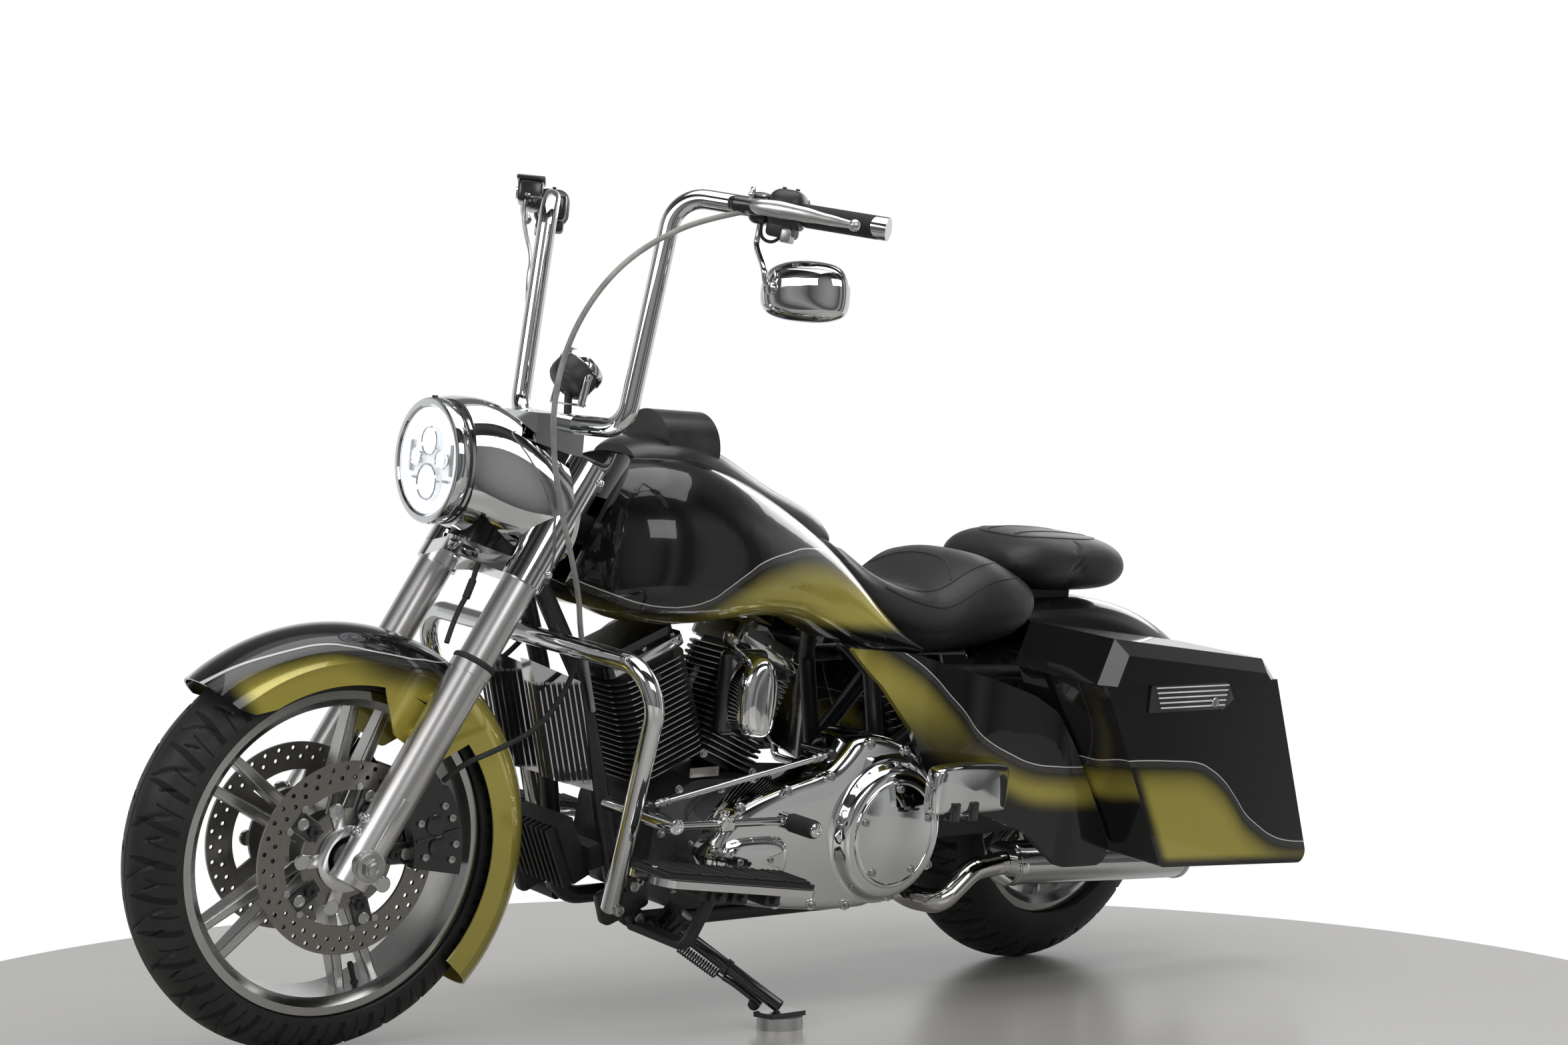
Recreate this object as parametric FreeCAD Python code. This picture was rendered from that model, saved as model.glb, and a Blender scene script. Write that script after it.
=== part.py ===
import FreeCAD
import Part
import math
import os

from FreeCAD import Vector

# Custom touring motorcycle with tall handlebars, leaning on its side stand.
# Every piece is modelled upright: X forward, Y to the rider's left, Z up, with the
# rear axle over X = 0. The finished pieces are then steered, leaned and set down.

# Stance
WHEELBASE = 1625.0
LEAN_DEG = 9.15
STEER_REST_DEG = -3.25
STEER_EACH_WAY_DEG = 30.0
RAKE_DEG = 26.0
LEG_RAKE_DEG = 29.56
STEM_LEAD = 14.0
FULL_TURN_DEG = 360.0

# Clearances and small shared sizes
OVERRUN = 2.0
SEAT_GAP = 0.3
RUN_GAP = 0.05
MOVE_GAP = 6.0
SHEET = 3.0

# Front wheel
FRONT_TYRE_R = 320.3
FRONT_CROWN_R = 63.0
FRONT_SEAT_R = 241.3
FRONT_FLANGE_R = 253.8
FRONT_RIM_HALF = 54.8
FRONT_BARREL_R = 228.0
FRONT_HUB_R = 36.0
FRONT_HUB_HALF = 80.0
FRONT_AXLE_R = 12.5
SPOKE_PAIRS = 5
SPOKE_ROOT_SPLIT = 11.0
SPOKE_TIP_SPLIT = 29.5
SPOKE_PHASE_DEG = -16.5
SPOKE_ROOT = (21.0, 46.0)
SPOKE_TIP = (15.0, 30.0)
SPOKE_ROOT_R = 52.0
FRONT_PLATE_HALF = 20.0
DISC_R = 150.0
DISC_BAND = 44.0
DISC_T = 5.0
DISC_Y = 87.0
CARRIER_R = 112.0
CARRIER_T = 6.0
CARRIER_ARMS = 5
CARRIER_ARM_W = 34.0

# Rear wheel
REAR_TYRE_R = 327.6
REAR_CROWN_R = 90.0
REAR_SEAT_R = 206.0
REAR_FLANGE_R = 221.0
REAR_RIM_HALF = 72.4
REAR_BARREL_R = 192.0
REAR_HUB_R = 40.0
REAR_HUB_HALF = 88.0
REAR_AXLE_R = 12.5
REAR_PLATE_HALF = 24.0
REAR_DISC_R = 146.0
PULLEY_R = 118.0
PULLEY_W = 20.0
RIM_LIP = 5.0

# Fork
LEG_Y = 128.0
SLIDER_R = 32.0
SLIDER_BOTTOM = 36.0
SLIDER_TOP = 347.0
SLIDER_COLLAR = 16.0
TUBE_R = 24.5
COVER_R = 29.0
LOWER_CLAMP_S = 497.0
LOWER_CLAMP_T = 28.0
UPPER_CLAMP_S = 690.0
UPPER_CLAMP_T = 24.0
CLAMP_EAR_R = 35.0
STEM_R = 16.0
NECK_R = 32.0
AXLE_LUG_R = 26.0

# Headlight and nacelle
LAMP_BACK = 156.0
LAMP_X = WHEELBASE - LAMP_BACK
LAMP_Z = 931.0
LAMP_R = 98.0
LAMP_LENS_R = 86.0
LAMP_DEPTH = 26.0
LENS_DEPTH = 30.0
LENS_FLAT_R = 8.0
NACELLE_HALF_W = 163.0
NACELLE_FRONT_BACK = 163.0
NACELLE_FRONT_X = WHEELBASE - NACELLE_FRONT_BACK
NACELLE_REAR_BACK = 325.0
NACELLE_REAR_X = WHEELBASE - NACELLE_REAR_BACK
NACELLE_TOP = 1036.0
NACELLE_BOTTOM = 770.0
NACELLE_CUT_HALF = 92.0
NACELLE_COVER_R = 36.0
STEER_ROOM_R = 183.0

# Handlebar (centre line points, upright and pointing straight ahead)
BAR_R = 16.0
BAR_CLAMP_BACK = 363.0
BAR_CLAMP_X = WHEELBASE - BAR_CLAMP_BACK
BAR_CLAMP_Z = 1004.0
BAR_FOOT_FROM_AXLE = (-399.0, 157.0, 1006.0)
BAR_TOP_FROM_AXLE = (-443.0, 180.0, 1384.0)
BAR_END_FROM_AXLE = (-639.0, 466.0, 1354.0)
BAR_FOOT_BEND = 44.0
BAR_TOP_BEND = 54.0
GRIP_R = 18.5
GRIP_L = 134.0
SWITCH_R = 25.0
SWITCH_L = 46.0
SWITCH_GAP = 1.0
PERCH_L = 40.0
LEVER_REACH = 62.0
LEVER_R = 7.0
LEVER_BALL_R = 9.0
MIRROR_C_FROM_AXLE = (-563.0, 372.0, 1248.0)
MIRROR_W = 150.0
MIRROR_H = 92.0
MIRROR_T = 26.0
MIRROR_STEM_R = 5.0
RISER_BLOCK = (92.0, 116.0, 46.0)
RISER_BACK = 27.0
GAUGE_C_FROM_AXLE = (-399.0, 0.0, 1082.0)
GAUGE_R = 38.0
GAUGE_T = 44.0
GAUGE_POST_R = 7.0

# Front fender
FENDER_R = 352.0
FENDER_EDGE_R = 266.0
FENDER_HALF = 83.0
FENDER_START_DEG = 47.0
FENDER_END_DEG = 222.0
FENDER_T = 3.0
FENDER_BOSS_R = 13.0
FENDER_BOSSES = (214.0, 278.0)
FENDER_FRONT_POLAR = ((420.0, 46.0), (352.0, 48.5), (300.0, 50.0), (279.0, 53.0), (266.0, 60.0), (240.0, 62.0), (240.0, 30.0), (420.0, 30.0))
FENDER_TONGUE_POLAR = ((282.0, 99.0), (258.0, 101.0), (228.0, 105.0), (199.0, 110.0), (194.0, 124.0), (199.0, 136.0), (240.0, 139.0), (282.0, 141.0))
FENDER_TONGUE_ROUND = 14.0

# Brakes
CALIPER_IN_R = 104.0
CALIPER_OUT_R = 190.0
CALIPER_HALF_DEG = 22.5
FRONT_CALIPER_DEG = 167.0
CALIPER_HALF_T = 26.0
CALIPER_SLOT = 15.0
REAR_CALIPER_OUT_R = 180.0
REAR_CALIPER_HALF_T = 21.0
REAR_CALIPER_DEG = 58.0
REAR_HANGER_POLAR = ((112.0, 50.0), (150.0, 40.0), (132.0, 6.0), (100.0, 8.0))
CALIPER_HANGER_POLAR = ((112.0, 158.0), (184.0, 148.0), (190.0, 128.0), (104.0, 128.0))

# Frame
FRAME_TUBE_R = 16.0
BACKBONE_R = 26.0
BACKBONE_REAR = (640.0, 0.0, 706.0)
DOWN_TOP_FROM_AXLE = (-349.0, 24.0, 750.0)
DOWN_MID = (1192.0, 56.0, 590.0)
DOWN_FOOT = (1082.0, 90.0, 178.0)
RAIL_REAR = (462.0, 90.0, 178.0)
UPRIGHT_TOP = (560.0, 88.0, 600.0)
SEAT_RAIL_MID = (300.0, 138.0, 600.0)
SEAT_RAIL_REAR = (-60.0, 138.0, 600.0)
STRUT_FOOT = (516.0, 86.0, 436.0)
PIVOT_PLATE = (32.0, 22.0, 104.0)
PIVOT_PLATE_C = (440.0, 106.6, 348.0)
PIVOT_LINK = (84.0, 20.0, 96.0)
PIVOT_LINK_C = (468.0, 94.0, 348.0)
LUG_R = 11.0
TANK_MOUNT = (1130.0, 814.0)
COVER_STUB = (478.0, 600.0)
BAG_STUBS_X = (-40.0, 220.0)
FRAME_BEND = 60.0

# Engine: a narrow-angle twin
CRANK_X = 925.0
CRANK_Z = 300.0
V_HALF_DEG = 22.5
FIN_COUNT = 13
FIN_PITCH = 10.5
FIN_T = 3.0
FIN_LEN = 164.0
FIN_WIDTH = 152.0
FIN_CORNER = 36.0
FIN_START = 150.0
BARREL_R = 60.0
HEAD_H = 56.0
HEAD_FINS = 5
ROCKER_H = 40.0
ROCKER_LEN = 168.0
ROCKER_WIDTH = 128.0
CASE_HALF_W = 107.7
CASE_LOW = 194.3
CASE_REAR_X = 520.0
CASE_FRONT_X = 1052.0
CASE_TOP = 420.0
CASE_ROUND = 60.0

# Primary drive cover
PRIMARY_IN_Y = 108.0
PRIMARY_OUT_Y = 206.0
PRIMARY_LEN = 540.0
PRIMARY_H = 326.0
PRIMARY_X = 458.0
PRIMARY_Z = 190.0
PRIMARY_ROUND = 40.0
DERBY_X = 601.0
DERBY_Z = 333.0
DERBY_R = 93.5
DERBY_RING_R = 112.0
DERBY_RING_H = 24.0
DERBY_H = 9.0
HATCH_X = 912.0
HATCH_Z = 302.0
HATCH_LEN = 118.0
HATCH_H = 58.0
HATCH_RISE = 16.0

# Horn cover
HORN_X = 874.0
HORN_Z = 566.0
HORN_W = 84.0
HORN_H = 150.0
HORN_IN_Y = 76.3
HORN_OUT_Y = 166.0

# Right side of the engine
CAM_COVER_R = 92.0
CAM_COVER_T = 34.0
CAM_STEP_T = 8.0
AIR_R = 92.0
AIR_T = 66.0
AIR_IN_Y = 112.0
AIR_Z = 566.0
AIR_PLATE_LEN = 250.0
AIR_PLATE_H = 22.0
AIR_PLATE_T = 8.0
PUSHROD_R = 10.0

# Exhaust
HEADER_R = 20.0
MUFFLER_R = 42.0
MUFFLER_Y = 176.0
MUFFLER_Z = 244.0
MUFFLER_REAR_Z = 224.0
MUFFLER_FRONT_X = 250.0
MUFFLER_REAR_X = -260.0
EXHAUST_BEND = 70.0
PORT_S = 310.0
PORT_Y = 48.0
PORT_L = 22.0
ELBOW_R = 21.5
HEADER_FRONT = (
    (1148.0, -104.0, 540.0), (1122.0, -160.0, 420.0), (1060.0, -170.0, 250.0),
    (500.0, -172.0, 240.0), (250.0, -176.0, 244.0),
)
HEADER_REAR = (
    (664.0, -104.0, 520.0), (636.0, -166.0, 420.0), (604.0, -171.0, 241.0),
)
HEADER_LEFT = (
    (440.0, -170.0, 240.0), (424.0, -60.0, 210.0), (424.0, 120.0, 178.0), (402.0, 172.0, 178.0),
    (330.0, 175.0, 236.0), (250.0, 176.0, 244.0),
)

# Tank and dash
TANK_LEN = 725.0
TANK_FRONT_BACK = 375.0
TANK_REAR_X = WHEELBASE - TANK_FRONT_BACK - TANK_LEN
TANK_HALF_W = 190.0
TANK_Z = 636.0
TANK_H = 334.0
TUNNEL_HALF = 44.0
TUNNEL_TOP = 886.0
TAIL_TUNNEL_HALF = 108.0
TAIL_TUNNEL_TOP = 736.0
TAIL_TUNNEL_X = 690.0
DASH_REAR_X = 640.0
DASH_LEN = 486.0
DASH_HALF_W = 88.0
DASH_Z = 780.0
DASH_H = 212.0
HUMP_X = 1006.0
HUMP_Z = 972.0
HUMP_R = 66.0
HUMP_LEN = 112.0

# Seats
SEAT_REAR_X = 176.0
SEAT_LEN = 514.0
SEAT_HALF_W = 172.0
SEAT_Z = 628.0
SEAT_H = 222.0
SEAT_TUNNEL_X = 530.0
SEAT_TUNNEL_TOP = 724.0
PAD_REAR_X = -100.0
PAD_LEN = 330.0
PAD_HALF_W = 126.0
PAD_Z = 748.0
PAD_H = 108.0
PAD_MOUNT_C = (60.0, 0.0, 745.0)
PAD_MOUNT = (110.0, 96.0, 60.0)

# Rear bodywork
REAR_FENDER_HALF = 118.0
REAR_FENDER_T = 4.0
REAR_FENDER_ROUND = 56.0
REAR_FENDER_CX = -60.0
REAR_FENDER_CZ = 380.0
REAR_FENDER_POLAR = (
    (52.0, 446.0, 150.0), (68.0, 380.0, 128.0), (90.0, 348.0, 118.0), (112.0, 343.0, 128.0), (134.0, 358.0, 166.0),
    (152.0, 386.0, 224.0), (168.0, 404.0, 292.0), (184.0, 412.0, 330.0), (194.0, 422.0, 352.0),
)
SIDE_COVER_Y = 190.0
SIDE_COVER_FLARE = 168.0
SIDE_COVER_T = 12.0
SIDE_COVER_X = 142.0
SIDE_COVER_LEN = 564.0
SIDE_COVER_Z = 276.0
SIDE_COVER_H = 380.0
SIDE_COVER_ROUND = 30.0

# Saddlebags
BAG_IN_Y = 252.0
BAG_OUT_Y = 465.0
BAG_WALL = 4.0
BAG_REAR_X = -300.0
BAG_LEN = 650.0
BAG_Z = 277.0
BAG_H = 362.0
LID_H = 82.0
LID_LIP = 8.0
LID_GAP = 0.4
HINGE_R = 5.0

# Engine guard, boards and controls
GUARD_R = 16.0
GUARD_CORNER = (1258.0, 352.0, 652.0)
GUARD_FOOT = (1152.0, 146.0, 222.0)
GUARD_BEND = 62.0
GUARD_LUG_SHARE = 0.58
GUARD_FOOT_SHARE = 0.11
BOARD_C = (1050.0, 304.0, 296.0)
BOARD_LEN = 350.0
BOARD_W = 108.0
BOARD_T = 12.0
BOARD_TILT_DEG = 7.3
BOARD_PAD_T = 8.0
BOARD_ARM_R = 11.0
BOARD_LOW_ARM_X = 1070.0
BOARD_HIGH_ARM_X = 1112.0
BOARD_HIGH_ARM_Y = 98.0
PASS_BOARD_SHARE = 0.61
PASS_BOARD_C = (SIDE_COVER_X + SIDE_COVER_LEN * PASS_BOARD_SHARE, 286.0, 422.0)
PASS_ARM_BACK = 40.0
PASS_BOARD_LEN = 184.0
PASS_BOARD_H = 84.0
PASS_BOARD_T = 16.0
PASS_ARM_X = 446.0
PASS_ARM_Z = 364.0
PASS_ARM_R = 8.0
PASS_ARM_BEND = 16.0
SHIFT_PIVOT = (1137.0, 262.0, 384.0)
SHIFT_START_Y = 90.4
SHIFT_PEG = (905.0, 290.0, 384.0)
SHIFT_ROD_R = 7.0
PEG_R = 12.0
PEG_L = 64.0
PEG_COLLAR_L = 20.0
PEG_COLLAR_R = 14.0
LINK_FRONT = (1137.0, 200.0, 402.0)
LINK_REAR = (745.0, 200.0, 474.0)
LINK_R = 5.0
LINK_ARM_R = 7.0
LINK_END_Y = 130.0
PEDAL_PIVOT = (1112.0, 238.0, 257.0)
PEDAL_TIP = (1206.0, 238.0, 354.0)
PEDAL_START_Y = 100.2
PEDAL_SHAFT_SHARE = 0.75
PEDAL_PAD = (30.0, 86.0, 16.0)

# Cooler and regulator in front of the engine
COOLER_LOW_Z = 403.0
COOLER_TOP_Z = 588.0
COOLER_FRONT_TOP = (1312.0, 624.0)
COOLER_FRONT_LOW = (1250.0, 427.0)
COOLER_W = 30.0
COOLER_Y = 64.0
REGULATOR_X = 1178.0
REGULATOR_Z = 300.0
REGULATOR_SIZE = (70.0, 132.0, 110.0)
REGULATOR_FINS = 9
REGULATOR_PLATE = (26.0, 168.0, 40.0)

# Rear suspension and tail
PIVOT_X = 418.0
PIVOT_Z = 322.0
SWING_Y = 130.0
SWING_W = 24.0
SWING_H = 58.0
SHOCK_R = 24.0
SHOCK_TOP = (150.0, 179.0, 600.0)
SHOCK_FOOT = (44.0, 179.0, 327.0)
SHOCK_EYE_R = 12.0
TAIL_X = -390.0
TAIL_Z = 560.0
TAIL_W = 120.0
TAIL_H = 62.0
TAIL_D = 72.0
TAIL_STALK_X = -436.0
PLATE_X = -482.0
PLATE_MOUNT = (60.0, 64.0, 36.0)
PLATE_W = 180.0
PLATE_H = 120.0
PLATE_T = 3.0
TURN_R = 26.0
TURN_L = 50.0
TURN_Y = 150.0

# Side stand and the low metal puck under its foot
STAND_PIVOT = (1030.0, 172.0, 186.0)
STAND_LEG_R = 11.0
STAND_FOOT_L = 74.0
STAND_FOOT_W = 46.0
STAND_FOOT_T = 8.0
PUCK_X = 942.0
PUCK_Y = 310.0
PUCK_R = 38.0
PUCK_H = 20.0
STAND_AXIS = (-0.36, 0.44, 0.82)
STAND_WEB = 10.0
STAND_LUG_R = 13.0
STAND_PIN_R = 8.0
STAND_EYE_R = 18.0
STAND_EYE_L = 30.0
STAND_EAR_T = 8.0

# Clutch cable: the route as it lies at rest
CABLE_R = 4.5
CABLE_FROM_AXLE = (
    (-475.0, 306.0, 1372.0),
    (-419.0, 272.0, 1352.0),
    (-357.0, 250.0, 1318.0),
    (-295.0, 240.0, 1272.0),
    (-247.0, 232.0, 1212.0),
    (-217.0, 222.0, 1140.0),
    (-207.0, 214.0, 1060.0),
    (-219.0, 208.0, 975.0),
    (-249.0, 200.0, 890.0),
    (-287.0, 190.0, 812.0),
    (-331.0, 164.0, 742.0),
    (-381.0, 112.0, 672.0),
)
CABLE_END = (
    (1190.0, 78.3, 586.0), (1178.0, 81.4, 538.0),
)

# Front brake hoses, on the left
HOSE_R = 4.5
HOSE_FROM_AXLE = (
    (-137.0, 120.0, 443.0),
    (-152.0, 140.0, 472.0),
    (-208.0, 150.0, 494.0),
    (-288.0, 140.0, 521.0),
    (-344.0, 118.0, 558.0),
    (-392.0, 92.0, 605.0),
    (-417.0, 70.0, 650.0),
)

# Sections: shares of half width and of height, from the bottom centre up one side
ROUND_SECTION_SHARES = ((0.0, 0.0), (0.55, 0.04), (0.9, 0.22), (1.0, 0.5), (0.9, 0.78), (0.55, 0.96), (0.0, 1.0))
TANK_SECTION_SHARES = ((0.0, 0.0), (0.62, 0.0), (0.93, 0.12), (1.0, 0.38), (0.86, 0.72), (0.5, 0.95), (0.0, 1.0))
TANK_STATION_SHARES = (
    (0.0, 0.94, 0.01, 0.1), (0.1, 0.9, 0.01, 0.3), (0.2, 0.86, 0.05, 0.52), (0.31, 0.86, 0.15, 0.68),
    (0.45, 0.93, 0.2, 0.83), (0.6, 1.0, 0.18, 0.95), (0.74, 1.0, 0.16, 1.0), (0.85, 0.93, 0.18, 0.96),
    (0.93, 0.64, 0.24, 0.86), (0.98, 0.34, 0.33, 0.74),
)
DASH_STATION_SHARES = (
    (0.0, 0.3, 0.1, 0.3), (0.15, 0.55, 0.12, 0.5), (0.4, 0.72, 0.3, 0.72), (0.6, 0.9, 0.4, 0.92),
    (0.78, 1.0, 0.5, 1.0), (0.92, 0.95, 0.5, 0.99), (1.0, 0.7, 0.56, 0.92),
)
NACELLE_STATION_SHARES = (
    (0.0, 1.0, 0.0, 0.74), (0.3, 0.97, 0.06, 0.85), (0.55, 0.86, 0.12, 0.96), (0.8, 0.72, 0.2, 1.0), (1.0, 0.63, 0.225, 0.98),
)
SEAT_STATION_SHARES = (
    (0.0, 0.62, 0.3, 0.62), (0.1, 0.9, 0.16, 0.74), (0.25, 1.0, 0.06, 0.82), (0.4, 1.0, 0.02, 0.72),
    (0.52, 0.95, 0.0, 0.55), (0.66, 0.84, 0.08, 0.56), (0.8, 0.7, 0.3, 0.68), (0.92, 0.58, 0.6, 0.88), (1.0, 0.4, 0.82, 0.97),
)
PAD_STATION_SHARES = (
    (0.0, 0.62, 0.25, 0.6), (0.07, 0.88, 0.06, 0.84), (0.3, 1.0, 0.0, 0.98), (0.6, 1.0, 0.0, 1.0),
    (0.9, 0.92, 0.1, 0.86), (1.0, 0.7, 0.3, 0.62),
)
PRIMARY_OUTLINE_SHARES = (
    (0.4, 0.98), (0.2, 0.93), (0.04, 0.74), (0.0, 0.44), (0.15, 0.06), (0.34, 0.0), (0.61, 0.03),
    (0.9, 0.1), (1.0, 0.3), (0.99, 0.42), (0.94, 0.56), (0.78, 0.68), (0.53, 0.77), (0.46, 0.86),
)
CASE_OUTLINE_SHARES = ((0.0, 0.3), (0.2, 0.0), (0.9, 0.0), (1.0, 0.3), (0.98, 0.82), (0.84, 1.0), (0.5, 0.98), (0.4, 0.9), (0.0, 0.85))
HORN_SECTION_SHARES = ((0.5, 0.0), (0.9, 0.05), (1.0, 0.4), (0.96, 0.72), (0.7, 0.98), (0.3, 0.98), (0.04, 0.72), (0.0, 0.4), (0.1, 0.05))
BAG_SIDE_SHARES = ((0.0, 0.0), (0.686, 0.055), (1.0, 0.985), (0.255, 1.0))
LID_SIDE_SHARES = ((0.255, 0.0), (1.0, -0.06), (0.975, 0.8), (0.31, 0.5))
SIDE_COVER_SHARES = (
    (1.0, 1.0), (0.771, 0.984), (0.468, 0.874), (0.369, 0.821), (0.301, 0.747), (0.2, 0.503), (0.0, 0.003),
    (0.248, 0.003), (0.305, 0.079), (0.351, 0.158), (0.491, 0.237), (0.635, 0.337), (0.697, 0.442),
    (0.759, 0.632), (0.862, 0.821), (0.972, 0.963),
)
SIDE_COVER_PLAN_SHARES = (
    (1.04, 0.0), (0.88, 0.012), (0.79, 0.115), (0.71, 0.21), (0.6, 0.27), (0.457, 0.43), (0.36, 0.68),
    (0.28, 0.857), (0.156, 0.952), (-0.04, 1.0),
)


def from_axle(point):
    """A point given ahead of or behind the front axle, in the machine's own space."""
    return WHEELBASE + point[0], point[1], point[2]


BAR_FOOT = from_axle(BAR_FOOT_FROM_AXLE)
BAR_TOP = from_axle(BAR_TOP_FROM_AXLE)
BAR_END = from_axle(BAR_END_FROM_AXLE)
MIRROR_C = from_axle(MIRROR_C_FROM_AXLE)
GAUGE_C = from_axle(GAUGE_C_FROM_AXLE)
DOWN_TOP = from_axle(DOWN_TOP_FROM_AXLE)
CABLE_POINTS = tuple(from_axle(p) for p in CABLE_FROM_AXLE) + CABLE_END
HOSE_POINTS = tuple(from_axle(p) for p in HOSE_FROM_AXLE)


def rod(start, end, radius):
    """A round bar between two points."""
    a, b = Vector(*start), Vector(*end)
    return Part.makeCylinder(radius, (b - a).Length, a, b - a)


def lateral(x, z, y_low, y_high, radius):
    """A round bar that lies across the machine."""
    return Part.makeCylinder(radius, y_high - y_low, Vector(x, y_low, z), Vector(0, 1, 0))


def block(centre, size):
    """A box given by its centre and its size."""
    low = [c - s / 2 for c, s in zip(centre, size)]
    return Part.makeBox(size[0], size[1], size[2], Vector(*low))


def rounded_path(points, radius, closed=False):
    """Straight runs through the points, joined by tangent arcs."""
    pts = [Vector(*p) for p in points]
    count = len(pts)
    corners = range(count) if closed else range(1, count - 1)
    starts, ends, arcs = {}, {}, {}
    for i in corners:
        before, at, after = pts[i - 1], pts[i], pts[(i + 1) % count]
        u, v = (before - at), (after - at)
        shorter = min(u.Length, v.Length)
        u.normalize()
        v.normalize()
        half_turn = (math.pi - u.getAngle(v)) / 2
        wanted = radius[i] if isinstance(radius, (list, tuple)) else radius
        limit = 0.45 * shorter / math.tan(half_turn)
        use = min(wanted, limit) if wanted else limit
        back = use * math.tan(half_turn)
        starts[i] = at + u * back
        ends[i] = at + v * back
        bisect = u + v
        bisect.normalize()
        middle = at + bisect * (use / math.cos(half_turn) - use)
        arcs[i] = Part.Arc(starts[i], middle, ends[i]).toShape()
    edges = []
    last = count if closed else count - 1
    for i in range(last):
        j = (i + 1) % count
        a = ends.get(i, pts[i])
        b = starts.get(j, pts[j])
        if (b - a).Length > RUN_GAP / 10:
            edges.append(Part.makeLine(a, b))
        if j in arcs:
            edges.append(arcs[j])
    return Part.Wire(edges)


def bent_tube(points, radius, bend):
    """A round tube along straight runs and tangent arcs."""
    path = rounded_path(points, bend)
    start = Vector(*points[0])
    ahead = Vector(*points[1]) - start
    ring = Part.Wire(Part.makeCircle(radius, start, ahead))
    return path.makePipeShell([ring], True, False)


def fuse(shapes):
    """One solid out of several that meet."""
    whole = shapes[0]
    if len(shapes) > 1:
        whole = whole.multiFuse(shapes[1:])
    return whole.removeSplitter()


def largest(shape):
    """The main solid of a shape that a cut has left in pieces."""
    return max(shape.Solids, key=lambda solid: solid.Volume)


def mirrored(shape):
    """The same shape on the other side of the machine."""
    return shape.mirror(Vector(0, 0, 0), Vector(0, 1, 0))


def both_sides(shape):
    """Left and right copies as one compound of separate solids."""
    return Part.Compound([shape, mirrored(shape)])


def prism(points_xz, y_low, y_high, rounding=0.0):
    """An outline seen from the side, given width across the machine."""
    pts = [(x, y_low, z) for x, z in points_xz]
    if rounding:
        wire = rounded_path(pts, rounding, closed=True)
    else:
        wire = Part.makePolygon([Vector(*p) for p in pts + pts[:1]])
    return Part.Face(wire).extrude(Vector(0, y_high - y_low, 0))


def outline(shares, x, z, length, height):
    """Points worked out from shares of a length and a height."""
    return [(x + a * length, z + b * height) for a, b in shares]


def section(x, half_width, low, high, shares):
    """A closed smooth cross-section across the machine."""
    side = [Vector(x, half_width * a, low + (high - low) * b) for a, b in shares]
    other = [Vector(p.x, -p.y, p.z) for p in side[-2:0:-1]]
    curve = Part.BSplineCurve()
    curve.interpolate(side + other, PeriodicFlag=True)
    return Part.Wire(curve.toShape())


def loft_body(rows, shares, x, length, half_width, z, height, grow=0.0):
    """A smooth body through cross-sections given as shares of its sizes."""
    wires = []
    for at, wide, low, high in rows:
        wires.append(section(
            x + at * length, half_width * wide + grow,
            z + low * height - grow, z + high * height + grow, shares,
        ))
    return Part.makeLoft(wires, True, False)


def ring(outer, inner, y_low, y_high, x=0.0, z=0.0):
    """A flat ring across the machine."""
    return lateral(x, z, y_low, y_high, outer).cut(
        lateral(x, z, y_low - OVERRUN, y_high + OVERRUN, inner))


def spun(points_ry):
    """A profile of radius and sideways place, turned about the Y axis."""
    pts = [Vector(r, y, 0) for r, y in points_ry]
    face = Part.Face(Part.makePolygon(pts + pts[:1]))
    return face.revolve(Vector(0, 0, 0), Vector(0, 1, 0), FULL_TURN_DEG)


def turned(shape, degrees, about=(0, 0, 0), axis=(0, 1, 0)):
    """A copy turned about an axis."""
    copy = shape.copy()
    copy.rotate(Vector(*about), Vector(*axis), degrees)
    return copy


def polar(radius, degrees, x=0.0, z=0.0):
    """Side-view point at an angle that grows from the front over the top."""
    a = math.radians(degrees)
    return x + radius * math.cos(a), z + radius * math.sin(a)


# Wheels, modelled about the Y axis at the origin

def tyre(outer_r, crown_r, seat_r, flange_r, rim_half):
    """Round-shouldered tyre that fills the rim's well."""
    ring_r = outer_r - crown_r
    angle = math.acos((flange_r + RIM_LIP / 2 - ring_r) / crown_r)
    edge = Vector(ring_r + crown_r * math.cos(angle), crown_r * math.sin(angle), 0)
    low = Vector(edge.x, -edge.y, 0)
    crown = Part.Arc(low, Vector(outer_r, 0, 0), edge).toShape()
    bead = rim_half - RIM_LIP
    pts = [edge, Vector(flange_r + RIM_LIP / 2, bead, 0), Vector(seat_r, bead, 0),
           Vector(seat_r, -bead, 0), Vector(flange_r + RIM_LIP / 2, -bead, 0), low]
    sides = [Part.makeLine(a, b) for a, b in zip(pts, pts[1:])]
    face = Part.Face(Part.Wire([crown] + sides))
    return face.revolve(Vector(0, 0, 0), Vector(0, 1, 0), FULL_TURN_DEG)


def spoke(root_r, tip_r, side):
    """One tapered spoke bar that points up."""
    wires = []
    for (wide, deep), split, r in ((SPOKE_ROOT, SPOKE_ROOT_SPLIT, root_r), (SPOKE_TIP, SPOKE_TIP_SPLIT, tip_r)):
        offset = side * split
        pts = [(offset - wide / 2, -deep / 2, r), (offset + wide / 2, -deep / 2, r),
               (offset + wide / 2, deep / 2, r), (offset - wide / 2, deep / 2, r)]
        wires.append(rounded_path(pts, wide / 4, closed=True))
    return Part.makeLoft(wires, True, True)


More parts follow.
